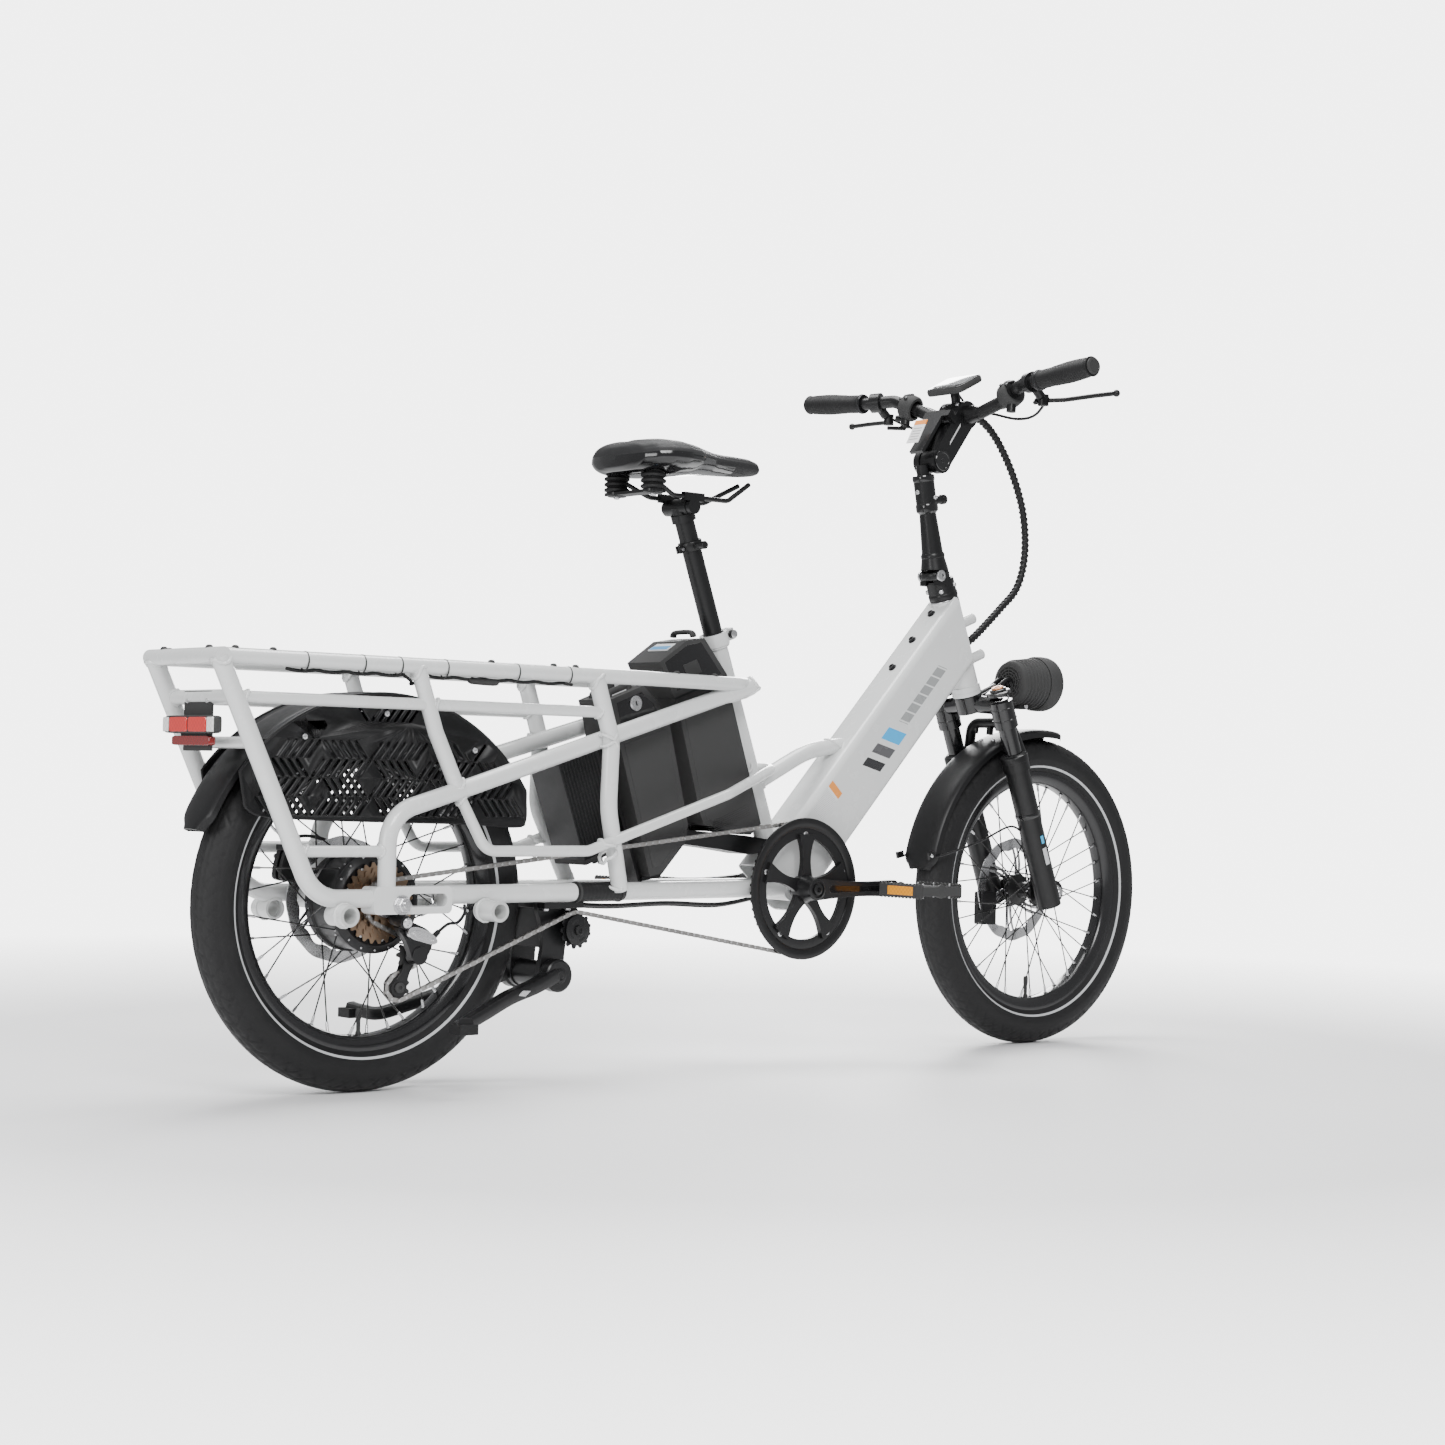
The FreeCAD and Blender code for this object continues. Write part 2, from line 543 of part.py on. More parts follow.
def build_rear_wheel():
    save("rear_tyre", [tyre(0, AXLE_Z)])
    save("rear_rim", [rim(0, AXLE_Z)])
    save("rear_spokes", spoke_set(0, AXLE_Z, 71.6, (30.5, 25.5), 26))
    shell = [(AXLE_R + RUN, -40), (60, -40), (64, -36), (71, -34), (71, -22), (68, -20), (68, 20), (71, 22),
             (71, 34), (64, 36), (60, 40), (AXLE_R + RUN, 40)]
    motor = turned(shell, 0, AXLE_Z)
    driver = yring(0, AXLE_Z, -66, -39.5, 17, AXLE_R + RUN)
    carrier = yring(0, AXLE_Z, 39.5, REAR_ROTOR_Y, 22, AXLE_R + RUN)
    save("hub_motor", [fuse([motor, driver, carrier]), rotor(0, AXLE_Z, REAR_ROTOR_Y + 0.1, 17)])
    teeth = [27, 23, 20, 17, DRIVEN_TEETH, 13]
    cogs = [yring(0, AXLE_Z, CHAIN_Y + 5 * (4 - i) - 0.9, CHAIN_Y + 5 * (4 - i) + 0.9,
                  CHAIN_PITCH / (2 * sin(pi / t)) + 2.5, 17 + RUN) for i, t in enumerate(teeth) if i > 1]
    cogs += [yring(0, AXLE_Z, -41.4, -40.6, 52, 17 + RUN), yring(0, AXLE_Z, -46.9, -45.9, 46, 17 + RUN)][:0]
    sleeve = yring(0, AXLE_Z, -64, -41, 20.5, 17 + RUN)
    big = yring(0, AXLE_Z, -42.8, -41.2, 60, 17 + RUN)
    save("cassette", [fuse([sleeve, big] + cogs)])
    axle = ybar(0, AXLE_Z, -112, 112, AXLE_R)
    nuts = []
    for side in (-1, 1):
        nuts.append(yring(0, AXLE_Z, side * 100.2, side * 108, 12, AXLE_R + 0.02))
        nuts.append(yring(0, AXLE_Z, side * 66.3, side * 67.8, 10, AXLE_R + 0.02))
    save("rear_axle", [axle] + nuts)


def build_front_wheel():
    x = FRONT_AXLE_X
    save("front_tyre", [tyre(x, AXLE_Z)])
    save("front_rim", [rim(x, AXLE_Z)])
    save("front_spokes", spoke_set(x, AXLE_Z, 27.6, (29.5, 24.5), 62))
    shell = [(AXLE_R + RUN, -49), (12, -49), (14, -32), (27, -31), (27, -22), (15, -18), (15, 18), (27, 20),
             (27, 30.5), (22, 32), (22, FRONT_ROTOR_Y), (AXLE_R + RUN, FRONT_ROTOR_Y)]
    hub = turned(shell, x, AXLE_Z)
    cap = yring(x, AXLE_Z, FRONT_ROTOR_Y - 0.5, 49, 12, AXLE_R + RUN)
    save("front_hub", [fuse([hub, cap]), rotor(x, AXLE_Z, FRONT_ROTOR_Y + 0.1, 12.2)])


# ================================================================ drive
def sprocket_r(teeth):
    return CHAIN_PITCH / (2 * sin(pi / teeth))


IDLER = (337.0, 221.0)
JOCKEY_LOW = (26.0, 148.0)
JOCKEY_TOP = (44.0, 193.0)


def belt(wheels):
    """Closed path around circles (x, z, radius, turn); turn is +1 for a clockwise wheel seen from -Y."""
    points = []
    n = len(wheels)
    for i in range(n):
        (x0, z0, r0, t0), (x1, z1, r1, t1) = wheels[i], wheels[(i + 1) % n]
        dx, dz = x1 - x0, z1 - z0
        length = hypot(dx, dz)
        beta = atan2(dz, dx) + asin((t1 * r1 - t0 * r0) / length)
        nx, nz = -sin(beta), cos(beta)
        points.append((V(x0 + t0 * r0 * nx, CHAIN_Y, z0 + t0 * r0 * nz),
                       V(x1 + t1 * r1 * nx, CHAIN_Y, z1 + t1 * r1 * nz)))
    edges = []
    for i in range(n):
        a, b = points[i]
        edges.append(Part.LineSegment(a, b).toShape())
        x, z, r, t = wheels[(i + 1) % n]
        c = points[(i + 1) % n][0]
        a0, a1 = atan2(b.z - z, b.x - x), atan2(c.z - z, c.x - x)
        sweep = (a0 - a1) * t % (2 * pi)
        am = a0 - t * sweep / 2
        edges.append(Part.Arc(b, V(x + r * cos(am), CHAIN_Y, z + r * sin(am)), c).toShape())
    return Part.Wire(edges), points


def build_chain():
    """Two side bands along the chain's path with a pin every other link on the straight runs."""
    wheels = [(0, AXLE_Z, sprocket_r(DRIVEN_TEETH), 1), (BB_X, BB_Z, sprocket_r(CHAINRING_TEETH), 1),
              IDLER + (sprocket_r(IDLER_TEETH), -1), JOCKEY_LOW + (sprocket_r(JOCKEY_TEETH), 1),
              JOCKEY_TOP + (sprocket_r(JOCKEY_TEETH), -1)]
    path, runs = belt(wheels)
    a, b = runs[0]
    side = unit((b - a).cross(V(0, 1, 0)))
    h, width = CHAIN_HALF_HEIGHT, CHAIN_HALF_WIDTH - CHAIN_GAP_Y
    bands = []
    for s in (-1, 1):
        y = s * (CHAIN_GAP_Y + width / 2)
        pts = [a + V(0, y + dy, 0) + side * dz for dy, dz in
               ((-width / 2, -h), (width / 2, -h), (width / 2, h), (-width / 2, h))]
        bands.append(Part.Solid(path.makePipeShell([Part.makePolygon(pts + pts[:1])], True, False).Shells[0]))
    pins = []
    for a, b in runs[:3]:
        count = int((b - a).Length / (CHAIN_PITCH * 6))
        for i in range(1, count):
            p = a + (b - a) * (i / count)
            pins.append(ybar(p.x, p.z, CHAIN_Y - CHAIN_GAP_Y - 0.5, CHAIN_Y + CHAIN_GAP_Y + 0.5, 2))
    save("chain", [bands[0].multiFuse([bands[1]] + pins)])


def disc(x, z, r, r_in, y=CHAIN_Y, t=SPROCKET_T):
    return yring(x, z, y - t / 2, y + t / 2, r, r_in)


def build_drive():
    x, z = BB_X, BB_Z
    ring_r = sprocket_r(CHAINRING_TEETH)
    chainring = disc(x, z, ring_r + 2.2, 78)
    guard = yring(x, z, -63.5, -60.5, 112, 84)
    standoff = yring(x, z, -61, CHAIN_Y, 92, 84)
    spider = [box(x - 9, x + 9, -66, -54.5, z, z + 88)]
    arms = []
    for i in range(5):
        arm = spider[0].copy()
        arm.rotate(V(x, 0, z), V(0, 1, 0), 72 * i + 18)
        arms.append(arm)
    boss = ybar(x, z, -88, -50, 22)
    arm_r = rounded(box(x - 16, x + CRANK_LENGTH + 13, -92, -78, z - 13, z + 13), 10, along_y)
    arm_l = rounded(box(x - CRANK_LENGTH - 13, x + 16, 78, 92, z - 13, z + 13), 10, along_y)
    spindle = ybar(x, z, -80, 80, SPINDLE_R)
    hub_l = ybar(x, z, 40, 88, 20)
    whole = fuse([chainring, guard, standoff, boss, arm_r, arm_l, spindle, hub_l] + arms)
    for s in (-1, 1):
        pin_x = x - s * CRANK_LENGTH
        whole = whole.cut(ybar(pin_x, z, s * 70, s * 100, 6 + RUN))
    save("crankset", [whole])

    for name, s in (("pedal_right", -1), ("pedal_left", 1)):
        px = x - s * CRANK_LENGTH
        frame = rounded(box(px - 46, px + 46, min(s * 104, s * 202), max(s * 104, s * 202), z - 11, z + 11),
                        8, lambda e: abs(e.Vertexes[-1].Point.z - e.Vertexes[0].Point.z) > 20)
        holes = [box(px + sx * 25 - 13, px + sx * 25 + 13, min(s * c - 17, s * c + 17), max(s * c - 17, s * c + 17),
                     z - 20, z + 20) for sx in (-1, 1) for c in (130, 176)]
        frame = cut(frame, holes)
        pin = ybar(px, z, s * 79, s * 120, 6)
        flange = ybar(px, z, s * 92.3, s * 105, 9)
        save(name, [fuse([frame, pin, flange])])

    ix, iz = IDLER
    idler = fuse([disc(ix, iz, sprocket_r(IDLER_TEETH) + 1.5, 5 + RUN), yring(ix, iz, -59, -50, 10, 5 + RUN),
                  yring(ix, iz, -62, -60, 22, 5 + RUN), yring(ix, iz, -60.5, -58.5, 12, 5 + RUN)])
    save("idler_pulley", [idler])

    tx, tz = JOCKEY_TOP
    lx, lz = JOCKEY_LOW
    jr = sprocket_r(JOCKEY_TEETH)
    plates = []
    for y0, y1 in ((-61.2, -59.4), (-50.6, -48.8)):
        a = atan2(lz - tz, lx - tx)
        n = V(-sin(a), 0, cos(a)) * 9
        p, q = V(tx, y0, tz), V(lx, y0, lz)
        quad = [p + n, q + n, q - n, p - n]
        plate = Part.Face(Part.makePolygon(quad + quad[:1])).extrude(V(0, y1 - y0, 0))
        plates.append(fuse([plate, ybar(tx, tz, y0, y1, 12), ybar(lx, lz, y0, y1, 12)]))
    bolts = [ybar(tx, tz, -61.2, -48.8, 4), ybar(lx, lz, -61.2, -48.8, 4)]
    wheels = [disc(tx, tz, jr + 1.2, 3), disc(lx, lz, jr + 1.2, 3)]
    pivot = ybar(tx, tz, -74, -60, 6)
    save("derailleur_cage", [fuse(plates + bolts + wheels + [pivot])])

    body = [(4, 262), (30, 262), (70, 236), (66, 206), (58, 182), (34, 182), (20, 206), (-2, 240)]
    body = rounded(slab(body, -92, -66.5), 6, along_y)
    body = body.cut(ybar(tx, tz, -75, -60, 6 + RUN)).cut(ybar(0, AXLE_Z, -100, -50, 14))
    body = cut(body, [box(-45, 84, -100.2, -67.8, 251.8, 291), ybar(0, AXLE_Z, -99, -50, 21)])
    save("derailleur_body", [body])


# ================================================================ kickstand
STAND = (305.0, 155.0)


def build_kickstand(rack):
    x, z = STAND
    spine = rounded(box(x - 20, x + 22, -40, 40, z + 26, 262), 6, along_y)
    neck = box(x - 14, x + 14, -34, 34, z, z + 40)
    barrel = ybar(x, z, -40, 40, 20)
    plate = box(x - 28, 350, -58, 58, 253, 262.5)
    bracket = fuse([spine, neck, barrel, plate]).cut(ybar(x, z, -60, 60, 9 + RUN))
    ix, iz = IDLER
    tab = fuse([box(ix - 9, ix + 9, -45, -36, iz - 9, 258), ybar(ix, iz, -63.5, -38, 5)])
    save("kickstand_bracket", cut(fuse([bracket, tab]), rack["chain"]).Solids)

    legs = [ybar(x, z, -76, 76, 9)]
    for s in (-1, 1):
        hub = ybar(x, z, s * 40.3, s * 62, 24)
        pts = [V(x - 8, s * 53, z), V(205, s * 72, 128), V(104, s * 104, 96), V(80, s * 142, 101)]
        legs += [hub, rod(pts, 12, 34)]
    legs = fuse(legs)
    save("kickstand_legs", [legs])


# ================================================================ steering and fork
def build_steering():
    top, race = HEAD_LENGTH / 2 + 7.4, -HEAD_LENGTH / 2 - 7.4
    steerer = ring(head(race - 10), head(112), STEERER_R, STEERER_R - 3)
    crown = [cyl(head(race - 1), head(race - 30, 1), 24), cyl(head(race), head(race - 2), 20)]
    for s in (-1, 1):
        bridge = fuse([cyl(head(race - 17, 2), head(race - 25, LEG_OFFSET, s * LEG_Y), 15)])
        boss = cyl(head(-100, LEG_OFFSET, s * LEG_Y), head(-147, LEG_OFFSET, s * LEG_Y), 20)
        cap = cyl(head(-97, LEG_OFFSET, s * LEG_Y), head(-101, LEG_OFFSET, s * LEG_Y), 13)
        stanchion = cyl(head(-140, LEG_OFFSET, s * LEG_Y), head(-380, LEG_OFFSET, s * LEG_Y), STANCHION_R)
        crown += [bridge, boss, cap, stanchion]
    arm = cyl(head(race - 12, 14), head(race - 12, 70), 8)
    save("fork_crown", [fuse(crown + [steerer, arm])])

    x0, x1, z = 1317.0, 1408.0, 626.0
    lamp = fuse([cyl(V(x0, 0, z), V(x0 + 8, 0, z), 38), cone(V(x0 + 7, 0, z), V(x0 + 30, 0, z), 38, 48),
                 cyl(V(x0 + 30, 0, z), V(x1, 0, z), 48)])
    foot = cyl(head(race - 12, 70.2), head(race - 12, 128), 9)
    save("headlight", [fuse([lamp, foot])])

    lowers = []
    for s in (-1, 1):
        leg = cyl(head(-199, LEG_OFFSET, s * LEG_Y), head(-472, LEG_OFFSET, s * LEG_Y), LOWER_R)
        lip = cyl(head(-199, LEG_OFFSET, s * LEG_Y), head(-224, LEG_OFFSET, s * LEG_Y), LOWER_R + 3)
        lug = ybar(FRONT_AXLE_X, AXLE_Z, s * 49.6, s * 64, 20)
        web = cyl(V(FRONT_AXLE_X, s * 58, AXLE_Z), head(AXLE_S + 22, LEG_OFFSET, s * 62), 7)
        lowers += [leg, lip, lug, web]
    arch = [head(-214, 30, -LEG_Y), head(-150, 40, -44), head(-150, 40, 44), head(-214, 30, LEG_Y)]
    lowers.append(rod(arch, 9, 24))
    bores = [cyl(head(-198, LEG_OFFSET, s * LEG_Y), head(-450, LEG_OFFSET, s * LEG_Y), STANCHION_R + FORK_FIT)
             for s in (-1, 1)]
    lowers = fuse(lowers)
    axle_bore = ybar(FRONT_AXLE_X, AXLE_Z, -90, 90, AXLE_R + 0.1)
    lowers = cut(lowers, bores + [axle_bore])
    caliper = rounded(box(1290, 1326, 27.8, 46, 205, 262), 4, along_y)
    caliper = fuse([caliper, cyl(V(1318, 41, 232), V(1346, 50, 236), 4)])
    caliper = caliper.cut(ybar(FRONT_AXLE_X, AXLE_Z, FRONT_ROTOR_Y - 1.5, FRONT_ROTOR_Y + 3.5, 92))
    caliper = cut(caliper, [cyl(head(-198, LEG_OFFSET, LEG_Y), head(-480, LEG_OFFSET, LEG_Y), LOWER_R + SEAT)])
    axle = ybar(FRONT_AXLE_X, AXLE_Z, -70, 70, AXLE_R)
    bands = [lowers.common(box(1000, 1500, y0, y1, 150, 700)) for y0, y1 in ((-120, -45), (-45, 45), (45, 120))]
    save("fork_lowers", bands + [axle, caliper])

    fender = shell_arc(FRONT_AXLE_X, AXLE_Z, 282, 279.6, FENDER_HALF_W, 78, 172)
    wires = []
    for s in (-1, 1):
        a = head(-330, LEG_OFFSET - 16, s * (LEG_Y - 8))
        b = V(FRONT_AXLE_X - 276, s * (FENDER_HALF_W + 1.5), AXLE_Z + 62)
        wires.append(cyl(a, b, 2.2))
        wires.append(box(b.x - 8, b.x + 4, min(s * 34, s * 40), max(s * 34, s * 40), b.z - 6, b.z + 6))
    tab = cyl(head(-170, 30), head(-150, 40), 6)
    pieces = cut(fuse([fender, tab] + wires), [rod(arch, 9 + SEAT, 24)] +
                 [cyl(head(-198, LEG_OFFSET, s * LEG_Y), head(-474, LEG_OFFSET, s * LEG_Y), LOWER_R + SEAT)
                  for s in (-1, 1)])
    pieces = [max(pieces.Solids, key=lambda q: q.Volume)]
    save("front_fender", pieces)


HINGE = (1120.0, 797.0)
TILT = (1115.0, 990.0)
STEM_LEVER = (1137.0, 1063.0)
MAST_LOW = V(1128, 0, 800)
MAST_UP = unit(V(1109, 0, 911) - V(1127, 0, 822))


def mast(s, y=0.0):
    return MAST_LOW + MAST_UP * s + V(0, y, 0)


def build_cockpit():
    hx, hz = HINGE
    base = ring(head(86.4), head(119), 24, STEERER_R + 0.02)
    ears = [ybar(hx, hz, s * 9.2, s * 23.5, 9) for s in (-1, 1)]
    web = [box(hx - 4, hx + 22, min(s * 9.2, s * 23.5), max(s * 9.2, s * 23.5), hz - 16, hz) for s in (-1, 1)]
    web_space = [box(hx - 60, hx + 22.4, min(s * 9, s * 40), max(s * 9, s * 40), hz - 40, hz + 9.4) for s in (-1, 1)]
    web_space.append(box(hx - 60, hx - 1, -9, 9, hz - 40, hz + 9.4))
    plug = cyl(head(100), head(121), 23)
    base = fuse([base] + [plug.cut(cyl(head(80), head(113), 20))] + ears + web)
    base = cut(base, [ybar(hx, hz, -40, 40, 4 + RUN), cyl(head(60), head(112.4), STEERER_R + 0.02)])
    save("mast_base", [base])

    knuckle = ybar(hx, hz, -8.8, 8.8, 9)
    foot = fuse([cyl(mast(-8), mast(9), 23.5), cone(mast(8), mast(34), 23.5, 18.5)])
    block = box(hx - 2, hx + 20, -8.8, 8.8, hz - 2, hz + 30)
    above = Part.makeBox(200, 200, 400, V(-100, -100, 0))
    above.rotate(V(0, 0, 0), V(0, 1, 0), -(90 - HEAD_ANGLE))
    above.translate(head(121.3))
    pole = fuse([cone(mast(30), mast(116), 18.5, 13.5)])
    sleeve = cyl(mast(112), mast(168), 17.5)
    fork = ybar(TILT[0], TILT[1], -10.8, 10.8, 19)
    neck = cyl(mast(160), mast(186), 10.5)
    low = cut(fuse([foot, block]).common(above), [w for w in web_space])
    pin = ybar(hx, hz, -23.5, 23.5, 4)
    body = fuse([low, knuckle, pin, pole, sleeve, neck, fork])
    body = body.cut(ybar(TILT[0], TILT[1], -40, 40, 5 + RUN))
    knob = cyl(V(TILT[0] + 4, 0, 925), V(TILT[0] + 28, 0, 929), 7)
    save("mast", [fuse([body, knob])])

    tx, tz = TILT
    bar_x, bar_z = 1175.0, 1074.0
    cheeks = [ybar(tx, tz, s * 11, s * 24, 21) for s in (-1, 1)]
    plates = [slab([(tx - 20, tz + 6), (tx + 20, tz - 6), (bar_x + 12, bar_z - 20), (bar_x - 20, bar_z + 12)],
                   min(s * 11, s * 24), max(s * 11, s * 24)) for s in (-1, 1)]
    top = slab([(tx + 4, tz + 24), (tx + 32, tz + 18), (bar_x + 10, bar_z - 22), (bar_x - 22, bar_z + 10)], -15, 15)
    clamp = ybar(bar_x, bar_z, -24, 24, 24)
    tilt_pin = ybar(tx, tz, -24, 24, 5)
    rise = V(bar_x - tx, 0, bar_z - tz)
    mount = cyl(V(bar_x, 0, bar_z), V(bar_x - 12, 0, bar_z + 56), 8)
    body = fuse(cheeks + plates + [top, clamp, tilt_pin, mount])
    body = cut(body, [ybar(bar_x, bar_z, -40, 40, BAR_R + 0.1)])
    px, pz = STEM_LEVER
    body = fuse([body] + [ybar(px, pz, s * 11, s * 24, 9) for s in (-1, 1)])
    body = body.cut(ybar(px, pz, -40, 40, 3 + RUN))
    save("stem", [body])
    down, rear = unit(V(tx - bar_x, 0, tz - bar_z)), unit(V(tz - bar_z, 0, bar_x - tx))

    def plate(n0, n1, u0, u1, y0, y1):
        pts = [V(px, 0, pz) + rear * n + down * u for n, u in ((n0, u0), (n1, u0), (n1, u1), (n0, u1))]
        return slab([xz(q) for q in pts], y0, y1)

    lever = [plate(10, 16, -8, 84, -15, 15), ybar(px, pz, -30, 30, 3), plate(10, 16, -6, 6, -30, 30)]
    lever += [plate(-6, 16, -6, 6, min(s * 24.6, s * 30), max(s * 24.6, s * 30)) for s in (-1, 1)]
    save("stem_lever", [fuse(lever)])

    bar = [V(1138, -BAR_HALF, 1120), V(1151, -201, 1111), V(1172, -150, 1113), V(1183, -96, 1091),
           V(bar_x, -50, bar_z), V(bar_x, 50, bar_z), V(1183, 96, 1091), V(1172, 150, 1113), V(1151, 201, 1111),
           V(1138, BAR_HALF, 1120)]
    middle = cut(ybar(bar_x, bar_z, -30, 30, BAR_R), [])
    bar_solid = fuse([rod(bar, BAR_END_R, 26), middle] +
                     [cone(V(bar_x, s * 30, bar_z), V(bar_x, s * 52, bar_z), BAR_R, BAR_END_R) for s in (-1, 1)])
    save("handlebar", [bar_solid])
    grips = []
    for s in (-1, 1):
        a, b = V(1151, s * 201, 1111), V(1138, s * BAR_HALF, 1120)
        d = unit(b - a)
        a2 = a + d * 8
        grip = fuse([cyl(a2, b, 16), cyl(b, b + d * 4, 15)])
        grips.append(grip.cut(cyl(a, b + d * 0.3, BAR_END_R + 0.05)))
    save("grips", grips)

    c, u = V(bar_x - 10, 0, bar_z + 51), radians(27)
    w, h = V(cos(u), 0, sin(u)), V(-sin(u), 0, cos(u))
    pts = [c - w * 41 + V(0, -33, 0), c + w * 41 + V(0, -33, 0), c + w * 41 + V(0, 33, 0), c - w * 41 + V(0, 33, 0)]
    panel = Part.Face(Part.makePolygon(pts + pts[:1])).extrude(h * 12)
    panel = panel.cut(cyl(V(bar_x, 0, bar_z), V(bar_x - 12.1, 0, bar_z + 56.4), 8.2))
    save("display", [panel])

    perches, levers = [], []
    for s in (-1, 1):
        a, b = V(1151, s * 201, 1111), V(1172, s * 150, 1113)
        d = unit(b - a)
        p0 = a + d * 12
        clamp = ring(p0, p0 + d * 18, BAR_END_R + 6, BAR_END_R + 0.05)
        out = unit(V(0.75, 0, -0.66))
        body = cyl(p0 + d * 9 + out * (BAR_END_R + 2), p0 + d * 9 + out * 40, 8)
        hinge = p0 + d * 9 + out * 40
        body = cut(fuse([clamp, body]), [])
        tip = cyl(hinge - V(0, 0, 9), hinge + V(0, 0, 9), 9)
        slot = cyl(hinge - V(0, 0, 4.2), hinge + V(0, 0, 4.2), 40)
        body = fuse([body, tip])
        body = body.cut(slot.common(cyl(hinge - V(0, 0, 5), hinge + V(0, 0, 5), 12.5)))
        body = body.cut(cyl(hinge - V(0, 0, 20), hinge + V(0, 0, 20), 3 + RUN))
        perches.append(body)
        arm = [hinge + V(6, s * 2, 0), hinge + V(20, s * 30, 0), hinge + V(32, s * 80, 3), hinge + V(34, s * 128, 3)]
        pieces = [rod(arm, 3.9, 30), Part.makeSphere(6, arm[3]),
                  cyl(hinge - V(0, 0, 4), hinge + V(0, 0, 4), 8.5), cyl(hinge - V(0, 0, 9), hinge + V(0, 0, 9), 3)]
        levers.append(fuse(pieces))
    save("brake_lever_right", [levers[0]])
    save("brake_lever_left", [levers[1]])
    shift, thumb = [], []
    for s in (-1, 1):
        d = unit(V(1172, s * 150, 1113) - V(1183, s * 96, 1091))
        p0 = V(1183, s * 96, 1091) + d * 24
        block = fuse([ring(p0, p0 + d * 14, BAR_END_R + 6, BAR_END_R + 0.05)])
        shift.append(block)
        q = p0 + d * 7 + V(-4, 0, -BAR_END_R - 14)
        post = cyl(p0 + d * 7 + V(-2, 0, -BAR_END_R - 3), q - V(0, 0, 8), 8)
        shift[-1] = fuse([block, post]).cut(cyl(q - V(0, 0, 20), q + V(0, 0, 20), 2.5 + RUN))
        if s > 0:
            lever = fuse([cyl(q - V(0, 0, 13), q - V(0, 0, 9.2), 9),
                          cyl(q - V(0, 0, 12), q + V(0, 0, 4), 2.5),
                          cyl(q - V(0, 0, 14), q + V(-34, 8, -16), 3.4)])
            save("throttle_lever", [lever])
    save("lever_perches", perches + shift)


# ================================================================ seat
def build_seat():
    top = SEAT_TUBE_LENGTH + POST_EXPOSED
    post = ring(seat(top - POST_LENGTH), seat(top), POST_R, POST_R - 2.5)
    head_block = [cyl(seat(top - 8), seat(top + 4), 19), ybar(seat(top + 14).x, seat(top + 14).z, -24, 24, 13)]
    plate = cyl(seat(top - 14), seat(top + 16), 15.2)
    post = fuse([post, plate] + head_block)
    axis = seat(top + 14)
    post = post.cut(ybar(axis.x, axis.z, -40, 40, 4 + RUN))
    save("seatpost", [post])

    rails = []
    for s in (-1, 1):
        y = s * 29
        pts = [V(axis.x + 128, s * 12, axis.z + 46), V(axis.x + 70, y, axis.z + 14), V(axis.x - 40, y, axis.z + 14),
               V(axis.x - 112, s * 42, axis.z + 46)]
        rails.append(rod(pts, 3.8, 24))
        rails.append(fuse([box(axis.x - 20, axis.x + 20, min(s * 24.4, s * 33), max(s * 24.4, s * 33),
                               axis.z + 8, axis.z + 21), ybar(axis.x, axis.z, s * 24.4, s * 33, 12)]))
    cross = ybar(axis.x, axis.z, -33, 33, 4)
    save("saddle_frame", [fuse(rails + [cross])])

    x, z = axis.x, axis.z + 46 + 3.8 + 0.3
    outline = [(x + 150, 0), (x + 146, 16), (x + 90, 24), (x + 20, 40), (x - 40, 78), (x - 80, 98), (x - 118, 92),
               (x - 132, 50), (x - 134, 0)]
    outline += [(px, -py) for px, py in reversed(outline[1:-1])]
    pts = [V(px, py, z) for px, py in outline]
    shell = Part.Face(Part.makePolygon(pts + pts[:1])).extrude(V(0, 0, 46))
    save("saddle", [shell])

    s0 = SEAT_TUBE_LENGTH - 4
    pivot = seat(s0, -28)
    lever = [cyl(pivot + V(0, 9.4, 0), pivot + V(0, 17, 0), 6.5)]
    lever += [cyl(pivot + V(0, -17, 0), pivot + V(0, -9.4, 0), 6.5), cyl(pivot + V(0, -17, 0), pivot + V(0, 17, 0), 3)]
    lever.append(cyl(pivot + V(4, 14.6, 0), pivot + V(14, 42, -6), 4))
    save("seat_collar_lever", [fuse(lever)])


# ================================================================ cables
def build_cables():
    """Spiral-wrapped harness from the handlebar's middle, forward and down to the front of the head tube."""
    entry = head(2, HEAD_R + 0.6)
    route_pts = [entry, head(2, 70), V(1345, 0, 800), V(1300, 0, 960), V(1240, 0, 1060), V(1205, 0, 1078)]
    save("cockpit_cables", [rod(route_pts, 6.5, 45)])
    wire_r = 3.0
    off = RAIL_R + wire_r + SEAT
    y, z = -RAIL_Y + off * cos(radians(60)), RAIL_Z - off * sin(radians(60))
    save("frame_wiring", [cyl(V(a, y, z), V(b, y, z), wire_r) for a, b in ((-180, 8), (46, 300))])


def build_rear_caliper():
    body = rounded(box(-106, -62, 42, 64, 296, 340), 6, along_y)
    arm = cyl(V(-78, 62, 322), V(-78, 86, 333), 5)
    body = fuse([body, arm]).cut(ybar(0, AXLE_Z, REAR_ROTOR_Y - 1.5, REAR_ROTOR_Y + 3.5, 92))
    save("rear_caliper", [cut(body, [ybar(-80, LOWER_STAY_Z, -100, 100, 0.1),
                                     box(-163, -17, 78.6, 96, 329.8, 346.2)])])


def main():
    os.makedirs("parts", exist_ok=True)
    core = build_main_frame()
    rack = build_rack(core)
    build_covers(core, rack)
    build_batteries()
    build_rear_wheel()
    build_front_wheel()
    build_chain()
    build_drive()
    build_kickstand(rack)
    build_steering()
    build_cockpit()
    build_seat()
    build_cables()
    build_rear_caliper()


main()
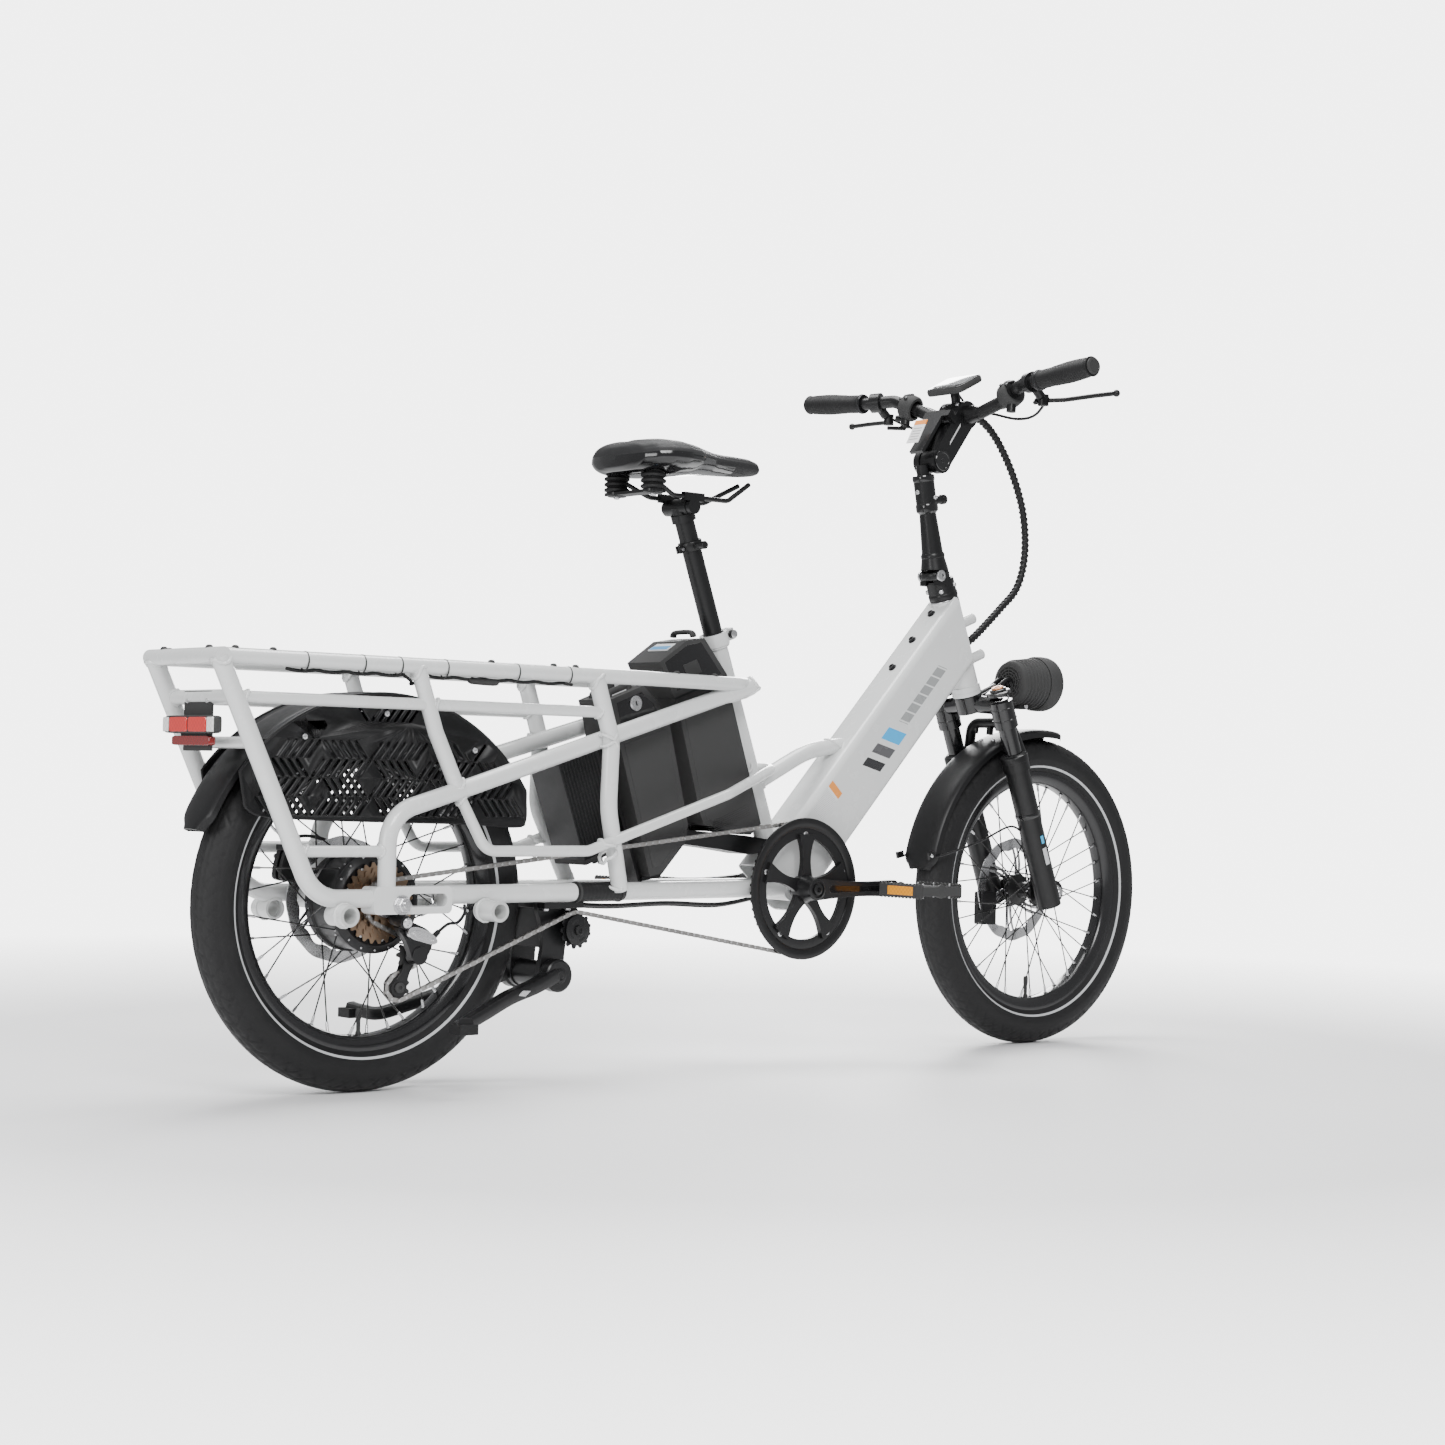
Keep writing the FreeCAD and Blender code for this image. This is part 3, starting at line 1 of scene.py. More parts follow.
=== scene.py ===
"""Looks of the long-tail cargo bicycle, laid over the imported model.

Lengths are millimetres in the bicycle's own frame (X = 0 at the rear axle, +X forward, +Y left, Z = 0 on the
ground) until place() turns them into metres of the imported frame.
"""
import bmesh
import bpy
import numpy as np
from bpy.props import FloatProperty, FloatVectorProperty, IntProperty, PointerProperty
from math import atan2, cos, hypot, pi, radians, sin, sqrt
from mathutils import Matrix, Vector


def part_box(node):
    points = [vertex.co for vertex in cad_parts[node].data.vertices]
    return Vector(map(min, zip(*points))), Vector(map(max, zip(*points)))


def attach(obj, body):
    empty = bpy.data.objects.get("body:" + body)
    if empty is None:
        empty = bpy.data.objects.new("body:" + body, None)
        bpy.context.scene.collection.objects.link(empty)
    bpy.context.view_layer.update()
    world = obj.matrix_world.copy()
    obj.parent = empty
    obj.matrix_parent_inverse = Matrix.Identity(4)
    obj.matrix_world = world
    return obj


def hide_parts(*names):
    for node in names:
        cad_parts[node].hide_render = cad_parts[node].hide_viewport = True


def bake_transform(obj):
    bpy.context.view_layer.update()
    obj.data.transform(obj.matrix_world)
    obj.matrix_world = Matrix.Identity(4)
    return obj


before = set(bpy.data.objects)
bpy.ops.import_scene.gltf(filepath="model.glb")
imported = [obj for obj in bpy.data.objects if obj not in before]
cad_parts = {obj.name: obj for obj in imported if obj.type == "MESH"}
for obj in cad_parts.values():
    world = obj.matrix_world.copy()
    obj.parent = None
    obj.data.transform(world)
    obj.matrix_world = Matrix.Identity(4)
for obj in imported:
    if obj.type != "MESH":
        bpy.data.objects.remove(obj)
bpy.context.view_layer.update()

bl_info = {
    "name": "Cargo bicycle looks",
    "version": (1, 0, 0),
    "blender": (4, 5, 0),
    "location": "View3D > Sidebar > Bicycle",
    "description": "Builds the visible pieces of a long-tail cargo bicycle over its packed model",
    "category": "Object",
}

# ------------------------------------------------------------------ places shared by the pieces
MM = 0.001


def middle(node):
    """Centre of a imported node's box, in metres."""
    low, high = (np.array(c, float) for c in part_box(node))
    return (low + high) / 2


REAR_AXLE = middle("rear_rim") / MM
SHIFT = np.array([REAR_AXLE[0], 0.0, 0.0])
AXLE_Z = REAR_AXLE[2]
FRONT_X = middle("front_rim")[0] / MM - REAR_AXLE[0]
TYRE_R = AXLE_Z
HEAD_ANGLE = radians(69.0)
SEAT_ANGLE = radians(69.5)
HEAD_UP = np.array([-cos(HEAD_ANGLE), 0, sin(HEAD_ANGLE)])
HEAD_FWD = np.array([sin(HEAD_ANGLE), 0, cos(HEAD_ANGLE)])
SEAT_UP = np.array([-cos(SEAT_ANGLE), 0, sin(SEAT_ANGLE)])
SEAT_BACK = np.array([-sin(SEAT_ANGLE), 0, -cos(SEAT_ANGLE)])
HEAD_MID = np.array([1182.0, 0, 680.0])
BB = np.array([785.0, 0, 277.0])
Y_AXIS = np.array([0.0, 1.0, 0.0])
Z_AXIS = np.array([0.0, 0.0, 1.0])


def head(s, f=0.0, y=0.0):
    """Point s up the steering axis, f ahead of it, y to the left."""
    return HEAD_MID + HEAD_UP * s + HEAD_FWD * f + Y_AXIS * y


def seat(s, d=0.0, y=0.0):
    """Point s up the seat tube from the crank axis, d behind it, y to the left."""
    return BB + SEAT_UP * s + SEAT_BACK * d + Y_AXIS * y


def place(points):
    """Millimetres of the bicycle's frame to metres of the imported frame."""
    return (np.asarray(points, float) + SHIFT) * MM


def unit(v):
    v = np.asarray(v, float)
    return v / np.linalg.norm(v)


# ------------------------------------------------------------------ shapes: each gives (points, faces)
def grid(points, wrap_u=False, wrap_v=False, caps=False):
    """Quads over a (rows, columns) array of points; wraps join last to first; caps close both end rows."""
    p = np.asarray(points, float)
    nu, nv = p.shape[:2]
    ids = np.arange(nu * nv).reshape(nu, nv)
    rows = np.vstack([ids, ids[:1]]) if wrap_u else ids
    cols = np.hstack([rows, rows[:, :1]]) if wrap_v else rows
    a, b, c, d = cols[:-1, :-1], cols[1:, :-1], cols[1:, 1:], cols[:-1, 1:]
    faces = np.stack([a, b, c, d], -1).reshape(-1, 4).tolist()
    if caps:
        faces += [ids[0].tolist(), ids[-1][::-1].tolist()]
    return p.reshape(-1, 3), faces


def frame_of(axis):
    """Two directions square to an axis, right-handed with it."""
    axis = unit(axis)
    side = np.cross(axis, Z_AXIS if abs(axis[2]) < 0.9 else np.array([1.0, 0, 0]))
    side = unit(side)
    return side, np.cross(axis, side)


def lathe(profile, origin, axis, n=64, closed=False):
    """(radius, height) profile turned about an axis: origin + axis*h + r*(cos t, sin t)."""
    prof = np.asarray(profile, float)
    u, v = frame_of(axis)
    t = np.linspace(0, 2 * pi, n, endpoint=False)
    ring = np.cos(t)[:, None] * u + np.sin(t)[:, None] * v
    pts = np.asarray(origin, float) + prof[:, None, 1:] * unit(axis) + prof[:, None, :1] * ring[None]
    return grid(pts, wrap_u=closed, wrap_v=True, caps=not closed)


def rod(p, q, r0, r1=None, n=20):
    """Cylinder or cone between two points."""
    r1 = r0 if r1 is None else r1
    p, q = np.asarray(p, float), np.asarray(q, float)
    return lathe([(r0, 0), (r1, np.linalg.norm(q - p))], p, q - p, n)


def smooth_path(points, count=60, closed=False):
    """Catmull-Rom curve through the points, evenly counted."""
    p = np.asarray(points, float)
    k = len(p) if closed else len(p) - 1
    t = np.linspace(0, k, count, endpoint=not closed)
    i = np.minimum(t.astype(int), k - 1)
    f = (t - i)[:, None]
    take = (lambda j: p[j % len(p)]) if closed else (lambda j: p[np.clip(j, 0, len(p) - 1)])
    a, b, c, d = take(i - 1), take(i), take(i + 1), take(i + 2)
    return 0.5 * (2 * b + (c - a) * f + (2 * a - 5 * b + 4 * c - d) * f**2 + (3 * b - a - 3 * c + d) * f**3)


def path_frames(path):
    """Tangent and two carried side directions along a path."""
    tangent = np.gradient(path, axis=0)
    tangent /= np.linalg.norm(tangent, axis=1)[:, None]
    side, _ = frame_of(tangent[0])
    sides = []
    for t in tangent:
        side = unit(side - t * side.dot(t))
        sides.append(side)
    sides = np.array(sides)
    return tangent, sides, np.cross(tangent, sides)


def sweep(path, radius, n=14, flat=1.0):
    """Round or flattened section carried along a path; radius may vary along it."""
    path = np.asarray(path, float)
    r = np.broadcast_to(np.asarray(radius, float), (len(path),))
    _, u, v = path_frames(path)
    t = np.linspace(0, 2 * pi, n, endpoint=False)
    pts = path[:, None] + r[:, None, None] * (np.cos(t)[None, :, None] * u[:, None]
                                              + flat * np.sin(t)[None, :, None] * v[:, None])
    return grid(pts, wrap_v=True, caps=True)


def prism(outline, y0, y1):
    """An outline of (x, z) points given a thickness in y."""
    o = np.asarray(outline, float)
    area = np.sum(o[:, 0] * np.roll(o[:, 1], -1) - np.roll(o[:, 0], -1) * o[:, 1])
    o = o if area > 0 else o[::-1]
    low = np.c_[o[:, 0], np.full(len(o), float(min(y0, y1))), o[:, 1]]
    high = low + [0, abs(y1 - y0), 0]
    return grid(np.stack([low, high]), wrap_v=True, caps=True)


def slab(centre, x_dir, y_dir, size):
    """Box with its own directions: size along x_dir, y_dir and their cross product."""
    x, y = unit(x_dir), unit(y_dir)
    z = np.cross(x, y)
    h = np.asarray(size, float) / 2
    ring = np.array([(-1, -1), (1, -1), (1, 1), (-1, 1)])
    base = ring[:, :1] * x * h[0] + ring[:, 1:] * y * h[1]
    pts = np.stack([base - z * h[2], base + z * h[2]]) + np.asarray(centre, float)
    return grid(pts, wrap_v=True, caps=True)


def bolt(p, axis, r=4.0, h=3.5):
    """Button-head screw with a hexagonal socket, standing on p along axis."""
    a = unit(axis)
    return lathe([(r, 0), (r, h * 0.4), (r * 0.8, h * 0.85), (r * 0.5, h), (r * 0.5, h * 0.4),
                  (0.01, h * 0.4)],
                 p, a, 18)


def flipped(shape):
    """The same shape with every face turned over."""
    return shape[0], [face[::-1] for face in shape[1]]


def other_side(shape):
    """Mirror image across the bicycle's middle, with its faces turned outwards again."""
    p, f = flipped(shape)
    return p * [1, -1, 1], f


class Piece:
    """Collects shapes with a material each, then becomes one object."""

    def __init__(self):
        self.points, self.faces, self.slots, self.flat, self.count = [], [], [], [], 0

    def add(self, shape, slot=0, smooth=True):
        p, f = shape
        self.points.append(np.asarray(p, float))
        self.faces += [[i + self.count for i in face] for face in f]
        self.slots += [slot] * len(f)
        self.flat += [smooth] * len(f)
        self.count += len(p)
        return self

    def both(self, shape, slot=0, smooth=True):
        return self.add(shape, slot, smooth).add(other_side(shape), slot, smooth)

    def make(self, name, materials, body, replaces=(), bevel=0.0, sharp=35, slot_name=None):
        mesh = bpy.data.meshes.new(name)
        mesh.from_pydata(place(np.vstack(self.points)).tolist(), [], self.faces)
        mesh.polygons.foreach_set("material_index", np.array(self.slots, np.int32))
        mesh.polygons.foreach_set("use_smooth", np.array(self.flat, bool))
        for m in materials:
            mesh.materials.append(m)
        mesh.validate()
        shell = bmesh.new()
        shell.from_mesh(mesh)
        bmesh.ops.recalc_face_normals(shell, faces=shell.faces[:])
        shell.to_mesh(mesh)
        shell.free()
        mesh.update()
        obj = bpy.data.objects.new(name, mesh)
        bpy.context.collection.objects.link(obj)
        if bevel:
            cut = obj.modifiers.new("edge", "BEVEL")
            cut.width = bevel * MM
            cut.segments = 2
            cut.limit_method = "ANGLE"
            cut.angle_limit = radians(sharp)
            cut.harden_normals = True
        with bpy.context.temp_override(object=obj, active_object=obj, selected_objects=[obj],
                                       selected_editable_objects=[obj]):
            bpy.ops.object.shade_smooth_by_angle(angle=radians(sharp))
        if replaces:
            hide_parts(*replaces)
        if body:
            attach(obj, body)
        return obj


# ------------------------------------------------------------------ finishes
class Nodes:
    """Short way to lay out a material's nodes."""

    def __init__(self, name):
        self.mat = bpy.data.materials.get(name)
        self.new = self.mat is None
        if self.new:
            self.mat = bpy.data.materials.new(name)
            self.mat.use_nodes = True
            self.tree = self.mat.node_tree
            self.bsdf = self.tree.nodes["Principled BSDF"]
            self.coords = self.add("ShaderNodeTexCoord").outputs["Object"]

    def add(self, kind, **inputs):
        node = self.tree.nodes.new(kind)
        for key, value in inputs.items():
            if hasattr(value, "is_output"):
                self.tree.links.new(value, node.inputs[key.replace("_", " ")])
            else:
                node.inputs[key.replace("_", " ")].default_value = value
        return node

    def link(self, a, b):
        self.tree.links.new(a, b)

    def noise(self, scale, detail=4.0, rough=0.55, coords=None):
        return self.add("ShaderNodeTexNoise", Vector=coords or self.coords, Scale=scale, Detail=detail,
                        Roughness=rough).outputs["Fac"]

    def band(self, value, low, high, out_low=0.0, out_high=1.0):
        node = self.add("ShaderNodeMapRange", Value=value)
        for i, v in enumerate((low, high, out_low, out_high)):
            node.inputs[1 + i].default_value = v
        return node.outputs[0]

    def math(self, kind, a, b=None):
        node = self.tree.nodes.new("ShaderNodeMath")
        node.operation = kind
        for i, v in enumerate((a, b)):
            if v is None:
                continue
            if hasattr(v, "is_output"):
                self.link(v, node.inputs[i])
            else:
                node.inputs[i].default_value = v
        return node.outputs[0]

    def mix(self, fac, a, b):
        node = self.tree.nodes.new("ShaderNodeMix")
        node.data_type = "RGBA"
        for key, v in ((0, fac), (6, a), (7, b)):
            if hasattr(v, "is_output"):
                self.link(v, node.inputs[key])
            else:
                node.inputs[key].default_value = v if key == 0 else (*v, 1)
        return node.outputs[2]

    def split(self, coords=None):
        return self.add("ShaderNodeSeparateXYZ", Vector=coords or self.coords).outputs

    def bump(self, height, strength, distance=0.0005):
        node = self.add("ShaderNodeBump", Height=height, Strength=strength, Distance=distance)
        self.link(node.outputs[0], self.bsdf.inputs["Normal"])
        return node


def finish(name, colour, rough=0.4, metal=0.0, coat=0.0, grain=400.0, bump=0.05, shade=0.12, specular=0.5):
    """Plain finish with a slight mottling of colour and gloss and a fine grain."""
    n = Nodes(name)
    if not n.new:
        return n.mat
    c = np.array(colour[:3], float)
    cloud = n.noise(9.0, 5.0)
    tone = n.mix(n.band(cloud, 0.3, 0.7), tuple(c * (1 - shade)), tuple(np.minimum(c * (1 + shade), 1)))
    n.link(tone, n.bsdf.inputs["Base Color"])
    gloss = n.noise(60.0, 6.0, 0.7)
    n.link(n.band(gloss, 0.3, 0.75, max(rough * 0.9, 0.02), min(rough * 1.1 + 0.02, 1)),
           n.bsdf.inputs["Roughness"])
    n.bsdf.inputs["Metallic"].default_value = metal
    n.bsdf.inputs["Coat Weight"].default_value = coat
    n.bsdf.inputs["Coat Roughness"].default_value = 0.06
    n.bsdf.inputs["Specular IOR Level"].default_value = specular
    n.bump(n.noise(grain, 3.0), bump, 0.0004)
    return n.mat


def brushed(name, colour, rough=0.28):
    """Bright metal with fine lines across the bicycle's width."""
    n = Nodes(name)
    if not n.new:
        return n.mat
    stretch = n.add("ShaderNodeMapping", Vector=n.coords)
    stretch.inputs["Scale"].default_value = (260.0, 18.0, 260.0)
    lines = n.noise(4.0, 6.0, 0.7, stretch.outputs[0])
    c = np.array(colour[:3], float)
    n.link(n.mix(n.band(lines, 0.3, 0.7), tuple(c * 0.82), tuple(np.minimum(c * 1.12, 1))),
           n.bsdf.inputs["Base Color"])
    n.link(n.band(lines, 0.2, 0.8, rough * 0.75, rough * 1.4), n.bsdf.inputs["Roughness"])
    n.bsdf.inputs["Metallic"].default_value = 1.0
    n.bump(lines, 0.06, 0.0003)
    return n.mat


def paint_finish(name, colour, stripes=False):
    """Glossy powder coat with a faint orange peel; the down tube also carries slanted colour stripes."""
    n = Nodes(name)
    if not n.new:
        return n.mat
    c = np.array(colour[:3], float)
    cloud = n.noise(6.0, 4.0)
    tone = n.mix(n.band(cloud, 0.3, 0.7), tuple(c * 0.965), tuple(np.minimum(c * 1.03, 1)))
    if stripes:
        o = n.split()
        x, z = n.math("SUBTRACT", o[0], (DOWN_MID[0] + SHIFT[0]) * MM), n.math("SUBTRACT", o[2],
                                                                               DOWN_MID[2] * MM)
        along = n.math("ADD", n.math("MULTIPLY", x, DOWN_DIR[0]), n.math("MULTIPLY", z, DOWN_DIR[2]))
        across = n.math("SUBTRACT", n.math("MULTIPLY", z, DOWN_DIR[0]), n.math("MULTIPLY", x, DOWN_DIR[2]))
        side = n.math("GREATER_THAN", n.math("ABSOLUTE", o[1]), 0.0335)
        lean = n.math("ADD", along, n.math("MULTIPLY", across, 0.55))
        height = n.math("LESS_THAN", n.math("ABSOLUTE", n.math("SUBTRACT", across, -0.004)), 0.0185)
        marks = ((-0.288, 0.009, (0.02, 0.02, 0.022)), (-0.257, 0.010, (0.09, 0.09, 0.095)),
                 (-0.223, 0.013, (0.03, 0.40, 0.80)))
        for centre, half, mark in marks:
            here = n.math("LESS_THAN", n.math("ABSOLUTE", n.math("SUBTRACT", lean, centre)), half)
            here = n.math("MULTIPLY", n.math("MULTIPLY", here, height), side)
            tone = n.mix(here, tone, mark)
        letter = n.math("LESS_THAN", n.math("ABSOLUTE", n.math("SUBTRACT", across, -0.004)), 0.0095)
        long = n.math("LESS_THAN", n.math("ABSOLUTE", n.math("SUBTRACT", lean, -0.126)), 0.066)
        gaps = n.math("GREATER_THAN", n.math("PINGPONG", lean, 0.0105), 0.0016)
        bars = n.math("MULTIPLY", n.math("MULTIPLY", n.math("MULTIPLY", letter, long), side), gaps)
        tone = n.mix(bars, tone, (0.30, 0.31, 0.31))
        stick = n.math("LESS_THAN", n.math("ABSOLUTE", n.math("SUBTRACT", along, -0.400)), 0.031)
        stick = n.math("MULTIPLY", n.math("MULTIPLY", stick, side),
                       n.math("LESS_THAN", n.math("ABSOLUTE", n.math("SUBTRACT", across, 0.029)), 0.015))
        tone = n.mix(stick, tone, (0.82, 0.83, 0.83))
        head_band = n.math("MULTIPLY", stick, n.math("GREATER_THAN", along, -0.382))
        tone = n.mix(head_band, tone, (0.85, 0.30, 0.05))
        rows = n.math("MULTIPLY", n.math("MULTIPLY", stick, n.math("LESS_THAN", along, -0.386)),
                      n.math("GREATER_THAN", n.math("SINE", n.math("MULTIPLY", along, 2600.0)), 0.55))
        tone = n.mix(n.math("MULTIPLY", rows, 0.6), tone, (0.2, 0.2, 0.2))
    n.link(tone, n.bsdf.inputs["Base Color"])
    n.link(n.band(n.noise(45.0, 5.0), 0.3, 0.7, 0.20, 0.30), n.bsdf.inputs["Roughness"])
    n.bsdf.inputs["Coat Weight"].default_value = 0.6
    n.bsdf.inputs["Coat Roughness"].default_value = 0.08
    n.bump(n.noise(230.0, 2.0), 0.035, 0.0004)
    return n.mat


DOWN_MID = np.array([1152.6, 0, 687.7])
DOWN_DIR = np.array([cos(radians(46.8)), 0, sin(radians(46.8))])


def tyre_finish(name, centre_x):
    """Black tyre rubber: grey reflective line and darker sidewall ribs by axle distance, a lighter grey band
    over the tread.
    """
    n = Nodes(name)
    if not n.new:
        return n.mat
    o = n.split()
    x, z = n.math("SUBTRACT", o[0], (centre_x + SHIFT[0]) * MM), n.math("SUBTRACT", o[2], AXLE_Z * MM)
    r = n.math("SQRT", n.math("ADD", n.math("MULTIPLY", x, x), n.math("MULTIPLY", z, z)))
    cloud = n.noise(30.0, 6.0)
    tone = n.mix(n.band(cloud, 0.3, 0.7), (0.0095, 0.0095, 0.010), (0.015, 0.015, 0.0155))
    tread = n.band(r, 0.250, 0.262)
    tone = n.mix(n.math("MULTIPLY", tread, 0.7), tone, (0.020, 0.020, 0.0205))
    line = n.math("LESS_THAN", n.math("ABSOLUTE", n.math("SUBTRACT", r, 0.2165)), 0.0017)
    tone = n.mix(line, tone, (0.50, 0.51, 0.52))
    n.link(tone, n.bsdf.inputs["Base Color"])
    rough = n.band(cloud, 0.3, 0.7, 0.52, 0.70)
    n.link(n.mix(line, rough, (0.25, 0.25, 0.25)), n.bsdf.inputs["Roughness"])
    ribs = n.math("SINE", n.math("MULTIPLY", r, 4200.0))
    side = n.math("MULTIPLY", n.math("LESS_THAN", r, 0.246), n.math("GREATER_THAN", r, 0.222))
    height = n.math("ADD", n.math("MULTIPLY", ribs, n.math("MULTIPLY", side, 0.35)), n.noise(500.0, 3.0))
    n.bsdf.inputs["Specular IOR Level"].default_value = 0.25
    n.bump(height, 0.25, 0.0004)
    return n.mat


def weave_finish(name, colour, rough=0.6, scale=900.0):
    """Grained cover or rubber with cells."""
    n = Nodes(name)
    if not n.new:
        return n.mat
    cells = n.add("ShaderNodeTexVoronoi", Vector=n.coords, Scale=scale).outputs["Distance"]
    c = np.array(colour[:3], float)
    n.link(n.mix(n.band(n.noise(20.0, 5.0), 0.3, 0.7), tuple(c * 0.85), tuple(c * 1.15)),
           n.bsdf.inputs["Base Color"])
    n.link(n.band(cells, 0.0, 0.6, rough * 0.85, rough * 1.1), n.bsdf.inputs["Roughness"])
    n.bsdf.inputs["Specular IOR Level"].default_value = 0.3
    n.bump(cells, 0.3, 0.0004)
    return n.mat


def lens_finish(name, colour, rough=0.08):
    """Coloured clear plastic with moulded prisms."""
    n = Nodes(name)
    if not n.new:
        return n.mat
    waves = n.add("ShaderNodeTexChecker", Vector=n.coords, Scale=260.0).outputs["Fac"]
    c = np.array(colour[:3], float)
    n.link(n.mix(n.math("MULTIPLY", waves, 0.5), tuple(c), tuple(c * 0.7)), n.bsdf.inputs["Base Color"])
    n.link(n.band(n.noise(70.0, 4.0), 0.3, 0.7, rough, rough * 2), n.bsdf.inputs["Roughness"])
    n.bsdf.inputs["Coat Weight"].default_value = 0.8
    n.bump(waves, 0.15, 0.0005)
    return n.mat


def white_paint():
    return paint_finish("frame_white", tuple(bpy.context.scene.bike_frame.colour))


def black_satin():
    return finish("black_satin", (0.0075, 0.0075, 0.008), 0.34, coat=0.08, grain=700, bump=0.08,
                  specular=0.32)


def black_gloss():
    return finish("black_gloss", (0.005, 0.005, 0.0055), 0.12, coat=0.5, grain=300, bump=0.02, specular=0.4)


def black_plastic():
    return finish("black_plastic", (0.0095, 0.0095, 0.010), 0.46, grain=900, bump=0.25, shade=0.15,
                  specular=0.25)


def fender_plastic():
    return finish("fender_plastic", (0.0085, 0.0085, 0.009), 0.38, grain=800, bump=0.12, shade=0.1,
                  specular=0.28)


def dark_metal():
    return finish("dark_metal", (0.03, 0.03, 0.032), 0.35, metal=0.8, grain=600, bump=0.08)


def silver():
    return brushed("silver_steel", (0.62, 0.62, 0.63), 0.26)


def chain_steel():
    return finish("chain_steel", (0.33, 0.32, 0.31), 0.32, metal=1.0, grain=700, bump=0.1, shade=0.25)


def bronze():
    return finish("bronze_cogs", (0.25, 0.175, 0.12), 0.36, metal=0.95, grain=500, bump=0.1, shade=0.3)


def rubber():
    return weave_finish("grip_rubber", (0.011, 0.011, 0.0115), 0.58, 700)


def cable_cover():
    return finish("cable_cover", (0.008, 0.008, 0.0085), 0.4, grain=600, bump=0.15, specular=0.3)


# ------------------------------------------------------------------ wheels
SECTION_R = 31.0                 # tyre section
TYRE_MID = TYRE_R - SECTION_R
SPOKE_BED_R = 185.8
RIM_WALL_R = 204.5               # where the tyre beads sit
TREAD_PITCH = 26.0               # length of one tread block pair along the crown
SPOKES = 36


def tread_height(phi, theta):
    """Tread depth in mm at section angle phi (0 on the crown) and wheel angle theta: wavy centre ribs, then
    slanted blocks on the shoulders."""
    y = phi * SECTION_R
    turn = theta * TYRE_R
    zig = 2.2 * np.abs(((turn / TREAD_PITCH) % 1.0) * 2 - 1) - 1.1
    groove = np.exp(-((np.abs(y + zig) - 5.0) / 1.0) ** 2) + np.exp(-((np.abs(y - zig) - 14.5) / 1.0) ** 2)
    slant = ((turn + np.sign(y) * (np.abs(y) - 5) * 1.1) / TREAD_PITCH) % 1.0
    cross = np.exp(-((slant - 0.5) * TREAD_PITCH / 1.1) ** 2) * (np.abs(y) > 5) * (np.abs(y) < 36)
    slant2 = ((turn + TREAD_PITCH / 2 - np.sign(y) * (np.abs(y) - 15) * 0.9) / TREAD_PITCH) % 1.0
    cross2 = np.exp(-((slant2 - 0.5) * TREAD_PITCH / 1.1) ** 2) * (np.abs(y) > 15) * (np.abs(y) < 38)
    edge = np.exp(-((np.abs(y) - 38.0) / 1.2) ** 2)
    return -1.5 * np.clip(groove + cross + cross2 + 0.6 * edge, 0, 1)


def make_tyre(name, node, x, body):
    """Section circle carried round the axle, cut by the tread, with beads and an inner wall."""
    turns, across = 620, 68
    theta = np.linspace(0, 2 * pi, turns, endpoint=False)[:, None]
    phi = np.linspace(-2.42, 2.42, across)[None, :]
    r = SECTION_R + tread_height(phi, theta) * (np.abs(phi) < 1.3)
    rise = 0.5 * np.exp(-((np.abs(phi) - 1.72) / 0.05) ** 2) + 0.4 * np.exp(-((np.abs(phi) - 2.2)
                                                                              / 0.04) ** 2)
    r = r + rise
    radius, y = TYRE_MID + r * np.cos(phi), r * np.sin(phi)
    outer = np.stack([x + radius * np.cos(theta), y + 0 * theta, AXLE_Z + radius * np.sin(theta)], -1)
    inner = []
    for yy, rr in ((15.6, RIM_WALL_R), (12.6, RIM_WALL_R), (13.5, 212), (24, 222), (26, 236), (0, 260),
                   (-26, 236), (-24, 222),
                   (-13.5, 212), (-12.6, RIM_WALL_R), (-15.6, RIM_WALL_R)):
        inner.append(np.stack([x + rr * np.cos(theta[:, 0]), np.full(turns, float(yy)),
                               AXLE_Z + rr * np.sin(theta[:, 0])], -1))
    pts = np.concatenate([outer, np.stack(inner, 1)], 1)
    shape = flipped(grid(pts, wrap_u=True, wrap_v=True))
    Piece().add(shape).make(name, [tyre_finish(name + "_rubber", x)], body, [node], sharp=60)


def spoke_places(r_hub, y_hub, step):
    """Hub and rim ends of the 36 crossed spokes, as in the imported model."""
    i = np.arange(SPOKES)
    side = np.where(i % 2 == 1, 1.0, -1.0)
    lean = np.where((i // 2) % 2 == 1, 1.0, -1.0)
    a_rim = 2 * pi * (i + 0.5) / SPOKES
    a_hub = a_rim + lean * radians(step)
    y0 = side * np.where(lean > 0, y_hub[0], y_hub[1])
    p = np.c_[r_hub * np.cos(a_hub), y0, r_hub * np.sin(a_hub)]
    q = np.c_[SPOKE_BED_R * np.cos(a_rim), side * 3.5, SPOKE_BED_R * np.sin(a_rim)]
    return p, q


def make_spokes(name, node, x, body, r_hub, y_hub, step):
    """Black spokes with silver nipples at the rim and bent heads at the hub flange."""
    piece = Piece()
    centre = np.array([x, 0, AXLE_Z])
    for p, q in zip(*spoke_places(r_hub, y_hub, step)):
        d = unit(q - p)
        piece.add(rod(centre + p, centre + q, 1.1, n=8))
        piece.add(lathe([(1.5, -13), (2.1, -11.5), (2.1, -2), (2.9, 0.4)], centre + q, d, 10), 1)
        outwards = np.sign(p[1])
        piece.add(rod(centre + p - d * 0.5, centre + p + [0, -outwards * 2.6, 0] - d * 1.5, 1.2, 2.0, 8), 1)
    piece.make(name, [finish("spoke_black", (0.03, 0.03, 0.03), 0.3, metal=0.7), silver()], body, [node])


